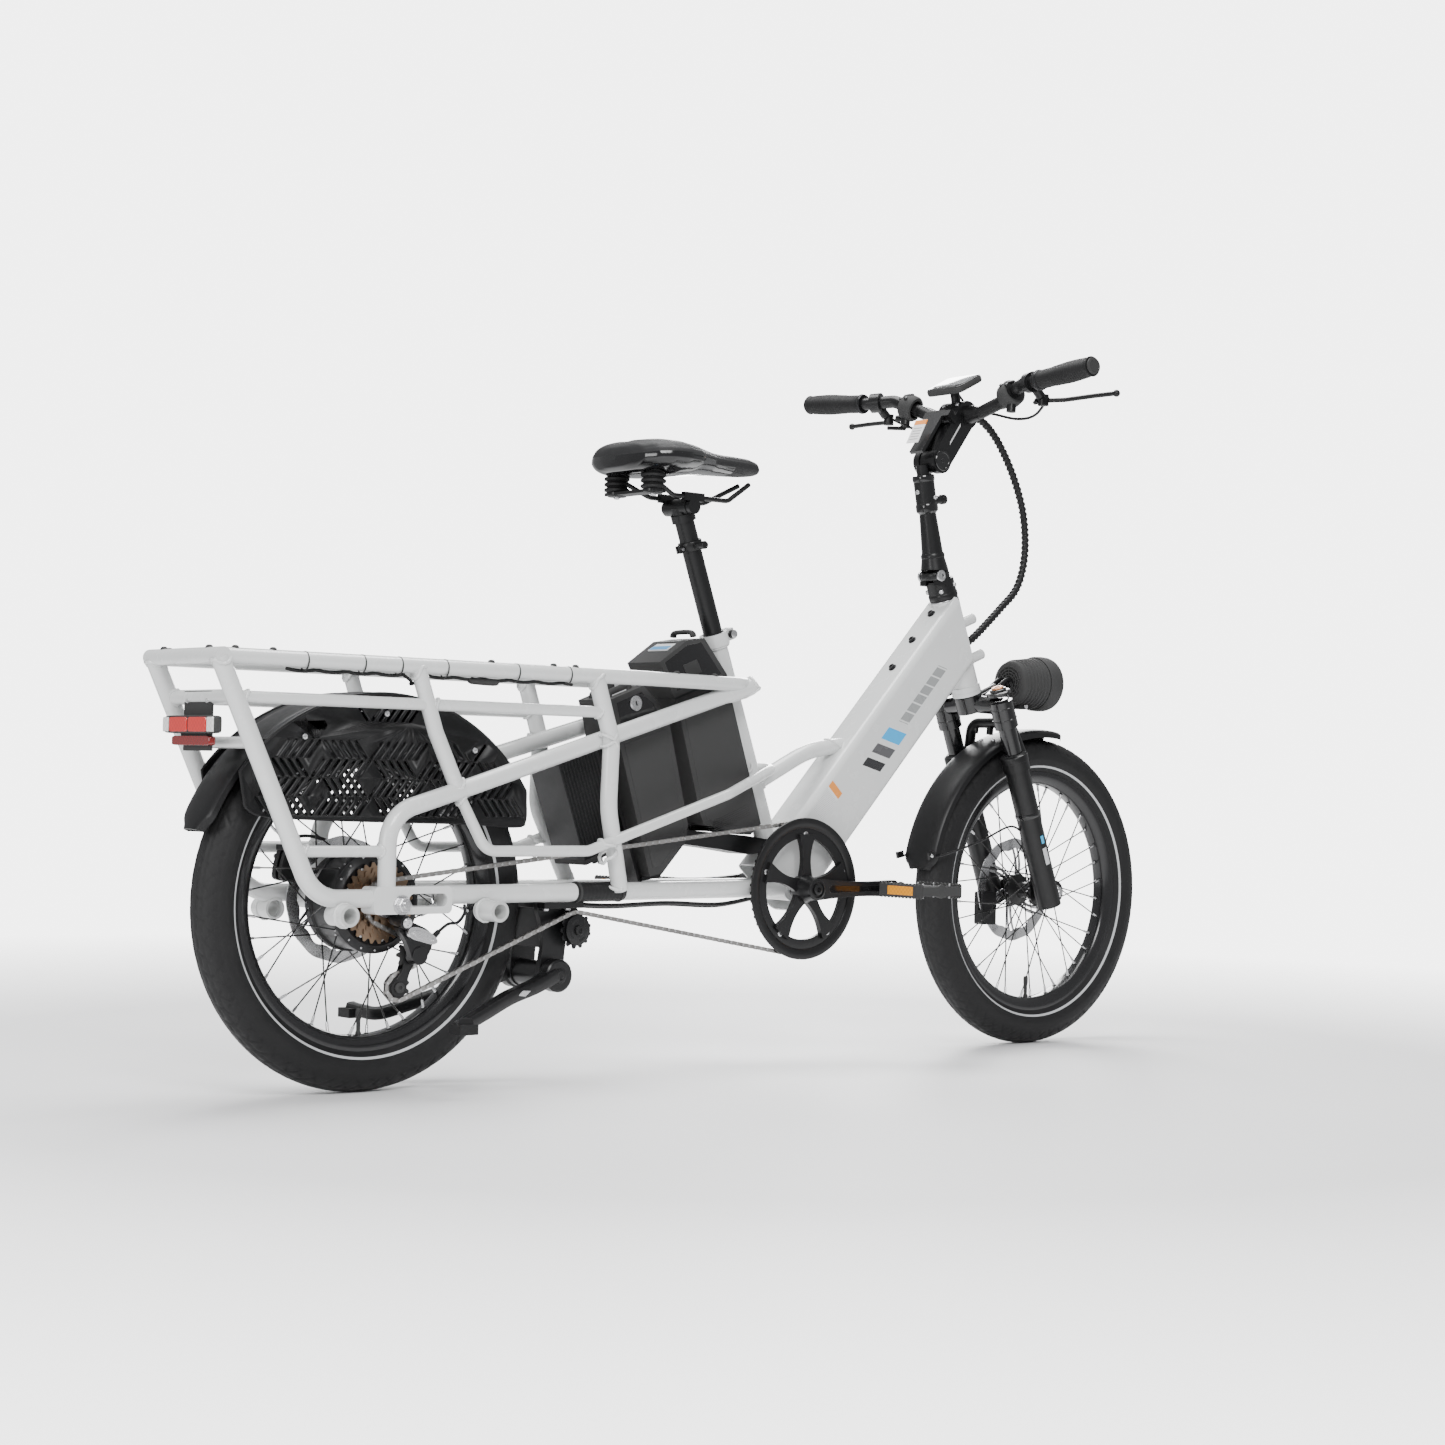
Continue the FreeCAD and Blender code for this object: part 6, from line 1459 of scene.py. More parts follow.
def build_batteries():
    """Two battery packs: body, faceted head, raised side panels, seams, handle, port cover, lock, label."""
    label_white = finish("label_white", (0.80, 0.81, 0.82), 0.3, grain=200, bump=0.02)
    label_blue = finish("label_blue", (0.08, 0.35, 0.68), 0.3, grain=200, bump=0.02)
    front = Piece()
    front.add(prism(seat_outline(FRONT_PACK), -PACK_HALF, PACK_HALF), 0, False)
    low = ((124, 64), (130, 42), (318, 37), (352, 36), (358, 124), (344, 128), (182, 138), (165, 136))
    side_panel(front, seat_outline(low), PACK_HALF - 0.6, 1.4, 0)
    top = ((368, 36), (428, 60), (432, 88), (420, 140), (372, 131))
    side_panel(front, seat_outline(top), PACK_HALF - 0.6, 1.2, 1)
    o = seat_outline(((360, 27), (363.5, 27), (363.5, 139), (360, 137)))
    front.add(prism(o, -PACK_HALF - 0.35, PACK_HALF + 0.35), 3, False)
    port = seat_outline(((384, 74), (384, 104), (406, 108), (406, 78)))
    side_panel(front, port, PACK_HALF + 0.6, 1.6, 0)
    lid0, lid1 = seat(436.5, 82), seat(431, 118)
    up = unit(np.cross(Y_AXIS, lid1 - lid0))
    up = up if up[2] > 0 else -up
    mid = (lid0 + lid1) / 2
    front.add(slab(mid + up * 1.6, lid1 - lid0, Y_AXIS, (32, 46, 2.2)), 4, False)
    front.add(slab(mid + up * 2.4 + unit(lid1 - lid0) * 9, lid1 - lid0, Y_AXIS, (11, 42, 1.4)), 5, False)
    front.add(slab(mid + up * 2.9 + unit(lid1 - lid0) * -8, lid1 - lid0, Y_AXIS, (2.0, 34, 0.6)), 3, False)
    handle = smooth_path([seat(437, 60, -24), seat(443, 58, -20), seat(444, 57, 0), seat(443, 58, 20),
                          seat(437, 60, 24)], 24)
    front.add(sweep(handle, 3.8, 12, 1.6), 0)
    for k in range(6):
        s = 142 + k * 3.2
        o = seat_outline(((s, 50), (s + 1.4, 50), (s + 1.4, 128), (s, 127)))
        front.add(prism(o, -PACK_HALF - 1.35, PACK_HALF + 1.35), 0, False)
    front.make("battery_front_case", [black_plastic(), black_gloss(), dark_metal(), rubber(), label_white,
                                      label_blue],
               "battery_front", ["battery_front"], bevel=2.4, sharp=25)

    rear = Piece()
    rear.add(prism(seat_outline(REAR_PACK), -PACK_HALF, PACK_HALF), 0, False)
    low = ((133, 262), (130, 246), (154, 197), (175, 184), (326, 169), (330, 254), (240, 258))
    side_panel(rear, seat_outline(low), PACK_HALF - 0.6, 1.4, 0)
    top = ((340, 172), (369, 181), (392, 197), (392, 248), (368, 250), (342, 253))
    side_panel(rear, seat_outline(top), PACK_HALF - 0.6, 1.2, 1)
    o = seat_outline(((332, 160.5), (335.5, 161.5), (337, 261.5), (333.5, 261.8)))
    rear.add(prism(o, -PACK_HALF - 0.35, PACK_HALF + 0.35), 3, False)
    lock = seat(380, 214, -PACK_HALF - 0.8)
    rear.add(lathe([(11, 0), (11.5, 2.0), (9.5, 3.4), (7.6, 3.4), (7.4, 2.2), (2.5, 2.2), (0.01, 2.2)],
                   lock, (0, -1, 0), 32), 2)
    rear.add(slab(lock + [0, -2.6, 0], SEAT_UP, SEAT_BACK, (7.0, 1.6, 1.0)), 3, False)
    a, b = seat(401.5, 205), seat(401.5, 243)
    handle = smooth_path([a + [0, -22, -4], a + [0, -20, 4], (a + b) / 2 + [0, -20, 5], b + [0, -20, 4],
                          b + [0, -22, -4]], 24)
    rear.both(sweep(handle, 3.4, 12, 1.5), 0)
    rear.add(slab((seat(400.4, 205) + seat(400.4, 243)) / 2, SEAT_BACK, Y_AXIS, (34, 44, 2.4)), 4, False)
    rear.make("battery_rear_case", [black_plastic(), black_gloss(), silver(), rubber(), label_white],
              "battery_rear",
              ["battery_rear"], bevel=2.4, sharp=25)


def build_controller():
    """Finned aluminium controller box with end caps and cable glands."""
    piece = Piece()
    o = [(182, 302), (346, 302), (346, 378), (182, 378)]
    piece.add(prism(seat_outline(o), -36.4, 36.4), 0, False)
    for k in range(12):
        d = 306 + k * 5.9
        fin = seat_outline(((190, d), (338, d), (338, d + 2.4), (190, d + 2.4)))
        piece.both(prism(fin, 36.0, 38.0), 0, False)
    for s0, s1 in ((181.6, 189), (339, 346.4)):
        piece.add(prism(seat_outline(((s0, 301.6), (s1, 301.6), (s1, 378.4), (s0, 378.4))), -38.0, 38.0), 1,
                  False)
    for y in (-22, -8, 8, 22):
        g = seat(181.8, 340, y)
        piece.add(lathe([(5.5, 0), (5.5, 4), (4.2, 6), (4.2, 12), (0.01, 12.5)], g, -SEAT_UP, 14), 1)
    piece.make("controller_case", [finish("cast_black", (0.022, 0.022, 0.023), 0.42, metal=0.5, grain=500,
                                          bump=0.2),
                                   black_plastic()], "frame", ["controller_box"], bevel=0.8)


# ------------------------------------------------------------------ fork
def build_fork():
    """Rings, preload caps, seals, arch ribs and axle hardware laid on the fork's packed tubes."""
    crown = Piece()
    copper = finish("fork_cap_copper", (0.42, 0.19, 0.09), 0.3, metal=0.9, grain=500, bump=0.05)
    for s in (-1, 1):
        top = head(-85.0, 8, s * 66)
        crown.add(lathe([(21.0, -3), (21.4, 1.5), (18.5, 3.4), (14.5, 3.6), (14.0, 6.6), (12.0, 7.6),
                         (4.5, 7.6), (4.0, 6.4), (0.01, 6.4)],
                        top, HEAD_UP, 40), 0)
        crown.add(lathe([(10.6, 7.4), (10.6, 9.2), (8.8, 10.4), (5.0, 10.4), (4.6, 9.2), (0.01, 9.2)], top,
                        HEAD_UP, 28), 2 if s < 0 else 0)
        for z in (-112, -132):
            crown.add(lathe([(20.15, -1.2), (20.9, -0.6), (20.9, 0.6), (20.15, 1.2), (18, 1.2), (18, -1.2)],
                            head(z, 8, s * 66), HEAD_UP, 40, closed=True), 0)
        crown.add(bolt(head(-99, 8 + 20.5, s * 62), HEAD_FWD, 4.0, 3.0), 1)
    crown.make("fork_caps", [black_gloss(), silver(), copper], "steering")

    low = Piece()
    for s in (-1, 1):
        c = head(-199, 8, s * 66)
        low.add(lathe([(15.3, 4.5), (17.4, 5.4), (19.6, 3.0), (22.6, 1.6), (23.9, -1.0), (23.9, -8.5),
                       (22, -10), (20.7, -11),
                       (20.6, -14), (15.3, -14)][::-1], c, HEAD_UP, 48, closed=True), 0)
        low.add(lathe([(20.55, 0), (21.6, -3), (21.6, -6), (20.55, -9)], head(-300, 8, s * 66), HEAD_UP, 48,
                      closed=False), 1)
        mark = head(-372, 8, s * 66)
        side = np.array([0, float(s), 0])
        for k, (length, slot) in enumerate(((30, 3), (14, 4))):
            low.add(arc_patch(mark + HEAD_UP * (k * 30 - 8), HEAD_UP, side, 20.68, length,
                              13 if k == 0 else 9, 0.25), slot)
        axle = np.array([FRONT_X, s * 63.9, AXLE_Z])
        low.add(lathe([(6.0, 0), (12.5, 0), (12.5, 1.8), (6.0, 1.8)], axle, side, 32, closed=True), 2)
        low.add(lathe([(5.2, 1.6), (9.8, 1.6), (10.0, 8.8), (8.4, 10.2), (5.2, 10.2)], axle, side, 6,
                      closed=True), 2, False)
        low.add(lathe([(5.1, 6), (5.1, 12.2), (4.2, 13.2), (0.01, 13.2)], axle, side, 20), 2)
    for k in (-30, 0, 30):
        low.add(rod(head(-150 + 2, 40, k), head(-166, 31, k), 3.2, 2.2, 12), 0)
    for p in ((1300, 46, 222), (1300, 46, 248), (1322, 46, 252)):
        low.add(bolt(p, (0, 1, 0), 4.0, 3.2), 2)
    low.add(rod((1308, 45.5, 232), (1308, 49.5, 232), 10.5, 9.6, 32), 2)
    low.make("fork_seals_and_nuts",
             [black_satin(), black_gloss(), silver(), finish("mark_grey", (0.55, 0.56, 0.57), 0.35),
                                     finish("mark_blue", (0.05, 0.42, 0.72), 0.35)], "lowers")


def arc_patch(centre, axis, out, radius, length, half_deg, thick):
    """Thin plate wrapped on a cylinder: radius r over angles -a..a about the outward direction."""
    a, o = unit(axis), unit(out)
    side = np.cross(a, o)
    t = radians(half_deg) * np.linspace(-1, 1, 9)
    s = np.array([-length / 2, length / 2])
    ring = np.cos(t)[:, None] * o + np.sin(t)[:, None] * side
    outer = centre + s[:, None, None] * a + (radius + thick) * ring[None]
    inner = centre + s[:, None, None] * a + (radius - 0.3) * ring[None][:, ::-1]
    loop = np.concatenate([outer, inner], 1)
    return grid(loop, wrap_v=True, caps=True)


# ------------------------------------------------------------------ mast and stem
HINGE = np.array([1120.0, 0, 797.0])
TILT = np.array([1115.0, 0, 990.0])
MAST_LOW = np.array([1128.0, 0, 800.0])
MAST_UP = unit([-18, 0, 89])


def mast_at(s, f=0.0, y=0.0):
    """Point s up the mast, f ahead of it, y to the left."""
    return MAST_LOW + MAST_UP * s + np.array([MAST_UP[2], 0, -MAST_UP[0]]) * f + Y_AXIS * y


def build_mast():
    """Collars, hinge knuckles, pin heads, lock slot, knob and set screws of the folding mast."""
    piece = Piece()
    piece.add(lathe([(23.7, -6), (24.6, -4), (24.6, 2), (23.7, 4), (20, 4), (20, -6)], mast_at(0), MAST_UP,
                    64, closed=True), 0)
    piece.add(lathe([(18.7, 28), (20.2, 30), (20.2, 34), (18.7, 37), (15, 37), (15, 28)], mast_at(0),
                    MAST_UP, 56, closed=True), 0)
    piece.add(lathe([(14.4, 104), (18.4, 108), (18.9, 112), (18.9, 118), (17.7, 121), (13, 121), (13, 104)],
                    mast_at(0), MAST_UP, 56, closed=True), 1)
    piece.add(lathe([(17.7, 158), (18.8, 160), (18.8, 166), (17.6, 169), (12, 169), (12, 158)], mast_at(0),
                    MAST_UP, 56, closed=True), 1)
    for s in (-1, 1):
        piece.add(bolt(mast_at(130, 4, s * 17.2), (0, s, 0), 4.2, 3.4), 2)
        piece.add(lathe([(7.2, 0), (7.2, 3.4), (6.2, 4.6), (3.2, 4.6), (3.0, 2.6), (0.01, 2.6)],
                        TILT + [0, s * 10.8, 0], (0, s, 0), 28), 2)
    piece.add(bolt(mast_at(142, -17.0), -np.array([MAST_UP[2], 0, -MAST_UP[0]]), 4.2, 3.4), 2)
    k = np.array([1143.0, 0, 929.0])
    d = unit([24, 0, 4])
    piece.add(lathe([(7.1, -6), (8.4, -5), (8.4, 3), (7.0, 4.6), (0.01, 5.0)], k, d, 32), 0)
    piece.make("mast_fittings", [black_satin(), black_gloss(), silver()], "mast", bevel=0.3)

    base = Piece()
    base.add(lathe([(24.1, 88), (25.0, 90), (25.0, 96), (24.1, 98), (20, 98), (20, 88)], HEAD_MID, HEAD_UP,
                   64, closed=True), 0)
    base.add(lathe([(24.1, 80.5), (24.6, 81.5), (24.6, 85), (24.1, 86.2), (20, 86.2), (20, 80.5)], HEAD_MID,
                   HEAD_UP, 64, closed=True), 1)
    for s in (-1, 1):
        base.add(lathe([(9.1, -3), (9.6, -1), (9.6, 0.6), (7.4, 1.6), (4.8, 1.6), (4.4, 0.2), (0.01, 0.2)],
                       HINGE + [0, s * 23.5, 0], (0, s, 0), 32), 1)
        base.add(bolt(head(104, -18, s * 16), -HEAD_FWD + np.array([0, s * 0.8, 0]), 4.2, 3.6), 1)
        base.add(bolt(head(108, 10, s * 21.5), np.array([0.35, s, 0.1]), 4.0, 3.2), 1)
    base.make("mast_base_fittings", [black_satin(), silver()], "steering", bevel=0.3)


def build_stem():
    """Round side caps, clamp bolts, face plate and the lever with a plain white label and orange band."""
    piece = Piece()
    clamp = np.array([1175.0, 0, 1074.0])
    for s in (-1, 1):
        piece.add(lathe([(17.5, 0), (17.5, 2.0), (16.2, 3.2), (13.5, 3.4), (12.8, 2.6), (4, 2.6),
                         (3.6, 3.6), (0.01, 3.6)],
                        TILT + [0, s * 23.9, 0], (0, s, 0), 48), 0)
        piece.add(lathe([(15.0, 0), (15.0, 1.4), (14, 2.2), (0.01, 2.3)], clamp + [0, s * 23.6, 0],
                        (0, s, 0), 48), 0)
        for a in (0.55, 2.4):
            p = clamp + 23.2 * np.array([cos(a), 0, sin(a)]) + [0, s * 15.5, 0]
            piece.add(bolt(p, (cos(a), 0, sin(a)), 3.9, 3.4), 1)
    mark = (TILT + clamp) / 2 + [0, 0, 6]
    d = unit(clamp - TILT)
    for s in (-1, 1):
        piece.add(slab(mark + [0, s * 24.2, 0], d, (0, 0, 1), (42, 5.0, 0.8)), 2, False)
    piece.make("stem_fittings", [black_gloss(), silver(), finish("mark_pale", (0.6, 0.6, 0.6), 0.4)],
               "stem", bevel=0.4)

    lever = Piece()
    lo, hi = (np.array(c, float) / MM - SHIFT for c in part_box("stem_lever"))
    mid = (lo + hi) / 2
    back = lo[0] - 0.4
    n = unit([-0.88, 0, 0.48])
    t = np.cross(Y_AXIS, n)
    t = t if t[2] > 0 else -t
    piece_mid = np.array([back + 3.0, 0, mid[2] - 2])
    lever.add(slab(piece_mid, t, Y_AXIS, (46, 27, 1.4)), 0, False)
    lever.add(slab(piece_mid + t * 18, t, Y_AXIS, (9, 27.2, 1.8)), 1, False)
    for k in range(5):
        lever.add(slab(piece_mid + t * (6 - 5.5 * k) + n * 0.3, t, Y_AXIS, (1.2, 20, 1.5)), 2, False)
    lever.make("stem_lever_label", [finish("label_paper", (0.82, 0.82, 0.82), 0.4),
                                    finish("label_orange", (0.85, 0.28, 0.04), 0.4),
                                    finish("label_grey", (0.35, 0.35, 0.35), 0.4)], "stem_lever")


# ------------------------------------------------------------------ handlebar and its controls
BAR_OUT = np.array([1151.0, 201.0, 1111.0])
BAR_END = np.array([1138.0, 333.0, 1120.0])


def build_bar():
    """Ribbed ergonomic grips with end plugs, and clamp rings along the bar."""
    grips = Piece()
    d = unit(BAR_END - BAR_OUT)
    length = np.linalg.norm(BAR_END - BAR_OUT)
    s = np.linspace(0, 1, 90)
    t = np.linspace(0, 2 * pi, 40, endpoint=False)
    u, v = frame_of(d)
    start = length - 127.0
    base = 15.4 + 1.5 * np.sin(pi * np.clip((s - 0.25) / 0.75, 0, 1)) ** 2
    ends = 2.2 * np.exp(-((s - 0.015) / 0.02) ** 2) + 1.4 * np.exp(-((s - 0.985) / 0.018) ** 2)
    ribs = 0.55 * (np.sin(s * 2 * pi * 26) > 0) * ((s > 0.3) & (s < 0.93))
    r = (base + ends + ribs)[:, None] + 0.5 * np.cos(4 * t)[None] * ((s > 0.1) & (s < 0.95))[:, None]
    pts = (BAR_OUT + d * start) + (s * 125)[:, None, None] * d + r[...,
                                                                   None] * (np.cos(t)[:, None] * u
                                                                            + np.sin(t)[:, None] * v)[None]
    grips.both(grid(pts, wrap_v=True, caps=True), 0)
    plug = lathe([(13.8, -0.5), (13.4, 1.6), (10.0, 2.6), (9.4, 1.8), (0.01, 1.8)], BAR_END, d, 32)
    grips.both(plug, 1)
    collar = lathe([(11.2, -3), (16.4, -3), (16.9, -1.5), (16.9, 4.5), (16.2, 6), (11.2, 6)],
                   BAR_OUT + d * start, d, 36, closed=True)
    grips.both(collar, 2)
    grips.make("handlebar_grips", [rubber(), black_plastic(), dark_metal()], "stem", ["grips"])


BAR_BEND, BAR_INNER = np.array([1172, 150, 1113.0]), np.array([1183, 96, 1091.0])


def build_levers():
    """Clamp bolts, pivot pins, hose barrels, gear shifter window and bell-shaped housings of the controls."""
    piece = Piece()
    d = unit(BAR_BEND - BAR_OUT)
    out = unit([0.75, 0, -0.66])
    hinge = BAR_OUT + d * 21 + out * 40
    for s in (-1, 1):
        m = np.array([1, s, 1.0])
        h = hinge * m
        piece.add(lathe([(5.4, -8.6), (6.2, -8), (6.2, -5.6), (5.4, -5), (3.4, -5), (3.4, -8.6)], h, Z_AXIS,
                        24, closed=True), 1)
        piece.add(bolt(h + [0, 0, 8.0], Z_AXIS, 3.6, 2.8), 1)
        c = (BAR_OUT + d * 21 + out * 16) * m
        piece.add(bolt(c + np.array([4, -s * 7, 6]), unit([0.5, 0, 0.86]), 3.2, 2.6), 1)
        piece.add(lathe([(11.3, -7), (14.6, -7), (15.2, -5.6), (15.2, 5.6), (14.6, 7), (11.3, 7)],
                        (BAR_OUT + d * 21) * m, d * m, 36, closed=True), 0)
        b = (BAR_OUT + d * 36 + out * 38) * m
        barrel = unit((d + out * 0.15) * m)
        piece.add(lathe([(5.0, 0), (5.6, 2), (5.6, 8), (4.2, 10), (4.2, 18), (3.0, 20), (0.01, 20)], b,
                        barrel, 20), 0)
        for k in range(6):
            piece.add(lathe([(5.6, 2.0 + k), (5.95, 2.3 + k), (5.6, 2.6 + k), (5.0, 2.3 + k)], b, barrel,
                            14, closed=True), 0)
        p0 = BAR_INNER * m
        clamp = unit((BAR_BEND - BAR_INNER) * m)
        q0 = p0 + clamp * 24
        body = lathe([(15.9, -13), (20.4, -12.5), (22.4, -9), (22.8, 0), (22.4, 9), (20.4, 12.5),
                      (15.9, 13)], q0,
                     clamp, 40, closed=True)
        piece.add(body, 2)
        top = q0 + [-4, 0, 21]
        piece.add(lathe([(0.01, 2.4), (7.4, 2.2), (9.4, 0.8), (9.8, -2), (0.01, -2)], top,
                        unit([-0.25, 0, 0.97]), 28), 3 if s < 0 else 2)
        for k in (-1, 1):
            piece.add(lathe([(3.4, 0), (3.4, 1.8), (2.4, 2.4), (0.01, 2.4)],
                            q0 + np.array([-17.5, k * 6.0, 13.5]), unit([-0.8, 0, 0.6]), 14), 3)
    piece.make("control_fittings", [black_satin(), silver(), black_plastic(), black_gloss()], "stem",
               bevel=0.3)


def build_display():
    """Display: rounded case, raised bezel, dark glass and a row of soft keys."""
    c = np.array([1165.0, 0, 1125.0])
    tilt = radians(27)
    fx = np.array([cos(tilt), 0, sin(tilt)])
    n = np.array([-sin(tilt), 0, cos(tilt)])
    piece = Piece()

    def plate(half_x, half_y, z0, z1, slot, shift=0.0, shrink=1.2):
        t = np.linspace(0, 2 * pi, 56, endpoint=False)
        e = 0.28
        ox = half_x * np.sign(np.cos(t)) * np.abs(np.cos(t)) ** e
        oy = half_y * np.sign(np.sin(t)) * np.abs(np.sin(t)) ** e
        rings = []
        for z, k in ((z0, -shrink), (z0 + (z1 - z0) * 0.25, 0.0), (z0 + (z1 - z0) * 0.8, 0.0), (z1, -shrink)):
            sx, sy = 1 + k / half_x, 1 + k / half_y
            rings.append(c + (ox * sx + shift)[:, None] * fx + (oy * sy)[:, None] * Y_AXIS + z * n)
        piece.add(grid(np.array(rings), wrap_v=True, caps=True), slot)

    plate(33, 41, -6.0, 4.6, 0)
    plate(32, 40, 4.2, 6.2, 1, shrink=0.8)
    plate(24.5, 35.5, 6.0, 6.7, 2, shift=5.0, shrink=0.4)
    for y in (-22, -7, 7, 22):
        p = c + fx * -25.5 + Y_AXIS * y + n * 6.0
        piece.add(lathe([(0.01, 1.2), (3.6, 1.0), (4.6, 0.2), (4.6, -1)], p, n, 20), 0)
    piece.make("display_unit", [black_plastic(), black_gloss(),
                                finish("display_glass", (0.20, 0.205, 0.21), 0.14, coat=1.0, grain=80,
                                       bump=0.0)],
               "stem", ["display"], bevel=0.4)


# ------------------------------------------------------------------ saddle and seatpost
POST_HEAD = seat(628)


def build_saddle():
    """Saddle: half-width w(x) and height h(x) along its length, section a rolled super-ellipse; a channel
    down the middle and a stitched seam; glossy bumper round the back; rubber springs below."""
    n_len, n_sec = 120, 96
    u = np.linspace(0, 1, n_len)
    x = -134 + 284 * (0.5 - 0.5 * np.cos(pi * u))
    xs = [-134, -132, -126, -112, -90, -60, -30, 0, 30, 60, 90, 120, 138, 146, 149.5, 150]
    ws = [4, 34, 62, 84, 96, 97, 88, 70, 52, 40, 33, 28.5, 24, 17, 8, 1]
    top = [72, 80, 86, 92, 95.2, 95.6, 93, 90, 87.6, 86.8, 87.2, 86.6, 83, 78, 72, 68]
    low = [60, 50, 44, 41, 40, 41, 44, 49, 53, 55.5, 57, 58.5, 60.5, 63, 65, 66]
    w, zt, zb = (np.interp(x, xs, a) for a in (ws, top, low))
    for a in (w, zt, zb):
        a[2:-2] = np.convolve(a, [0.1, 0.2, 0.4, 0.2, 0.1], "valid")
    t = np.linspace(0, 2 * pi, n_sec, endpoint=False)
    cy, cz = np.cos(t), np.sin(t)
    e = 0.6
    yy = np.sign(cy) * np.abs(cy) ** e
    zz = np.sign(cz) * np.abs(cz) ** 0.8
    mid = (zt * 0.42 + zb * 0.58)[:, None]
    up = np.where(zz > 0, (zt[:, None] - mid) * zz, (mid - zb[:, None]) * zz)
    tuck = np.where(zz < 0, 1 - 0.16 * (-zz), 1.0)
    y = w[:, None] * yy * tuck
    z = mid + up
    channel = 5.0 * np.exp(-(y / 9.0) ** 2) * (zz > 0) * np.exp(-((x[:, None] + 20) / 85.0) ** 4)
    seam = 0.8 * np.exp(-((zz - 0.55) / 0.045) ** 2) * (np.abs(x[:, None] - 5) < 130)
    z = z - channel - seam
    pts = np.stack([POST_HEAD[0] + x[:, None] + 0 * y, y, POST_HEAD[2] + z], -1)
    saddle = Piece().add(flipped(grid(pts, wrap_v=True, caps=True)), 0)
    cols = np.tile(zz[None, :], (n_len - 1, 1)).ravel()
    rows = np.repeat(x[:-1], n_sec)
    glossy = (cols < 0.30) & (rows < 20 + 60 * (cols < -0.1))
    for i in np.flatnonzero(glossy):
        saddle.slots[i] = 1
    cover = weave_finish("saddle_cover", tuple(bpy.context.scene.bike_seat.colour), 0.55, 420)
    obj = saddle.make("saddle_pad", [cover, black_gloss()], "saddle", ["saddle"], sharp=60,
                      slot_name="leather")

    under = Piece()
    ribs = bpy.context.scene.bike_seat.ribs
    for s in (-1, 1):
        prof = [(0.01, 17)]
        for k in range(ribs):
            z0 = 17 + k * 34.0 / ribs
            h = 34.0 / ribs
            prof += [(15.5, z0 + 0.4), (19.5, z0 + 0.28 * h), (19.5, z0 + 0.68 * h), (15.5, z0 + 0.96 * h)]
        prof += [(0.01, 51.2)]
        under.add(lathe(prof, POST_HEAD + [-92, s * 44, 0], Z_AXIS, 40), 0)
        under.add(lathe([(0.01, 10.4), (13.5, 10.6), (16, 13), (16, 17.2), (0.01, 17.2)],
                        POST_HEAD + [-92, s * 44, 0], Z_AXIS, 32), 1)
        under.add(bolt(POST_HEAD + [-92, s * 44, 10.6], (0, 0, -1), 5.0, 3.6), 2)
    under.add(slab(POST_HEAD + [-92, 0, 14.5], (1, 0, 0), Y_AXIS, (26, 116, 5.0)), 1, False)
    under.make("saddle_springs", [rubber(), black_satin(), silver()], "saddle", bevel=0.6)


def build_seatpost():
    """Clamp cheeks and bolts at the top of the post, and a ring clamp that carries a small reflector."""
    head_piece = Piece()
    for s in (-1, 1):
        head_piece.add(lathe([(0.01, 0), (9.5, 0), (10, 1.2), (10, 5), (8.8, 6.2), (4.4, 6.2), (4.0, 4.6),
                              (0.01, 4.6)],
                             POST_HEAD + [0, s * 24, 0], (0, s, 0), 32), 1)
    ring = seat(567)
    head_piece.add(lathe([(15.3, -7), (18.4, -7), (19, -5.8), (19, 5.8), (18.4, 7), (15.3, 7)], ring,
                         SEAT_UP, 48, closed=True), 0)
    for s in (-1, 1):
        head_piece.add(slab(ring + SEAT_BACK * 22 + [0, s * 3.2, 0], SEAT_BACK, Y_AXIS, (10, 3.2, 12)), 0,
                       False)
    head_piece.add(rod(ring + SEAT_BACK * 22 + [0, -8, 0], ring + SEAT_BACK * 22 + [0, 8, 0], 2.6, n=14), 1)
    arm = ring + SEAT_BACK * 4 + np.array([0, -24, 0])
    head_piece.add(slab(arm, SEAT_BACK, Y_AXIS, (10, 18, 7)), 0, False)
    head_piece.add(lathe([(5.0, -5), (6.4, -4), (6.4, 5), (5.4, 6.4), (0.01, 6.8)], arm + [0, -10, 0],
                         (0, -1, 0), 24), 0)
    for k in range(9):
        s = 236 + k * 10 + 190
        head_piece.add(arc_patch(seat(s), SEAT_UP, (-1, -0.3, 0), 15.22, 0.7, 14 if k % 2 else 22, 0.12), 2)
    head_piece.make("seatpost_fittings",
                    [black_satin(), silver(), finish("post_scale", (0.5, 0.5, 0.5), 0.4)], "seatpost",
                    bevel=0.4)
    lever = Piece()
    c = seat(414, -28)
    for s in (-1, 1):
        lever.add(lathe([(5.2, 0), (6.4, 0.6), (6.4, 2.4), (4.8, 3.2), (0.01, 3.4)], c + [0, s * 14.5, 0],
                        (0, s, 0), 24), 0)
    lever.make("seat_lever_caps", [silver()], "seat_lever")


# ------------------------------------------------------------------ cables
HARNESS = ((2, 23.6), (2, 46), (1290, 752), (1332, 792), (1350, 850), (1344, 920), (1316, 985), (1276, 1040),
           (1238, 1070), (1205, 1078))


def harness_line():
    pts = [head(*HARNESS[0]), head(*HARNESS[1])] + [np.array([x, 0.0, z]) for x, z in HARNESS[2:]]
    return smooth_path(pts, 260)


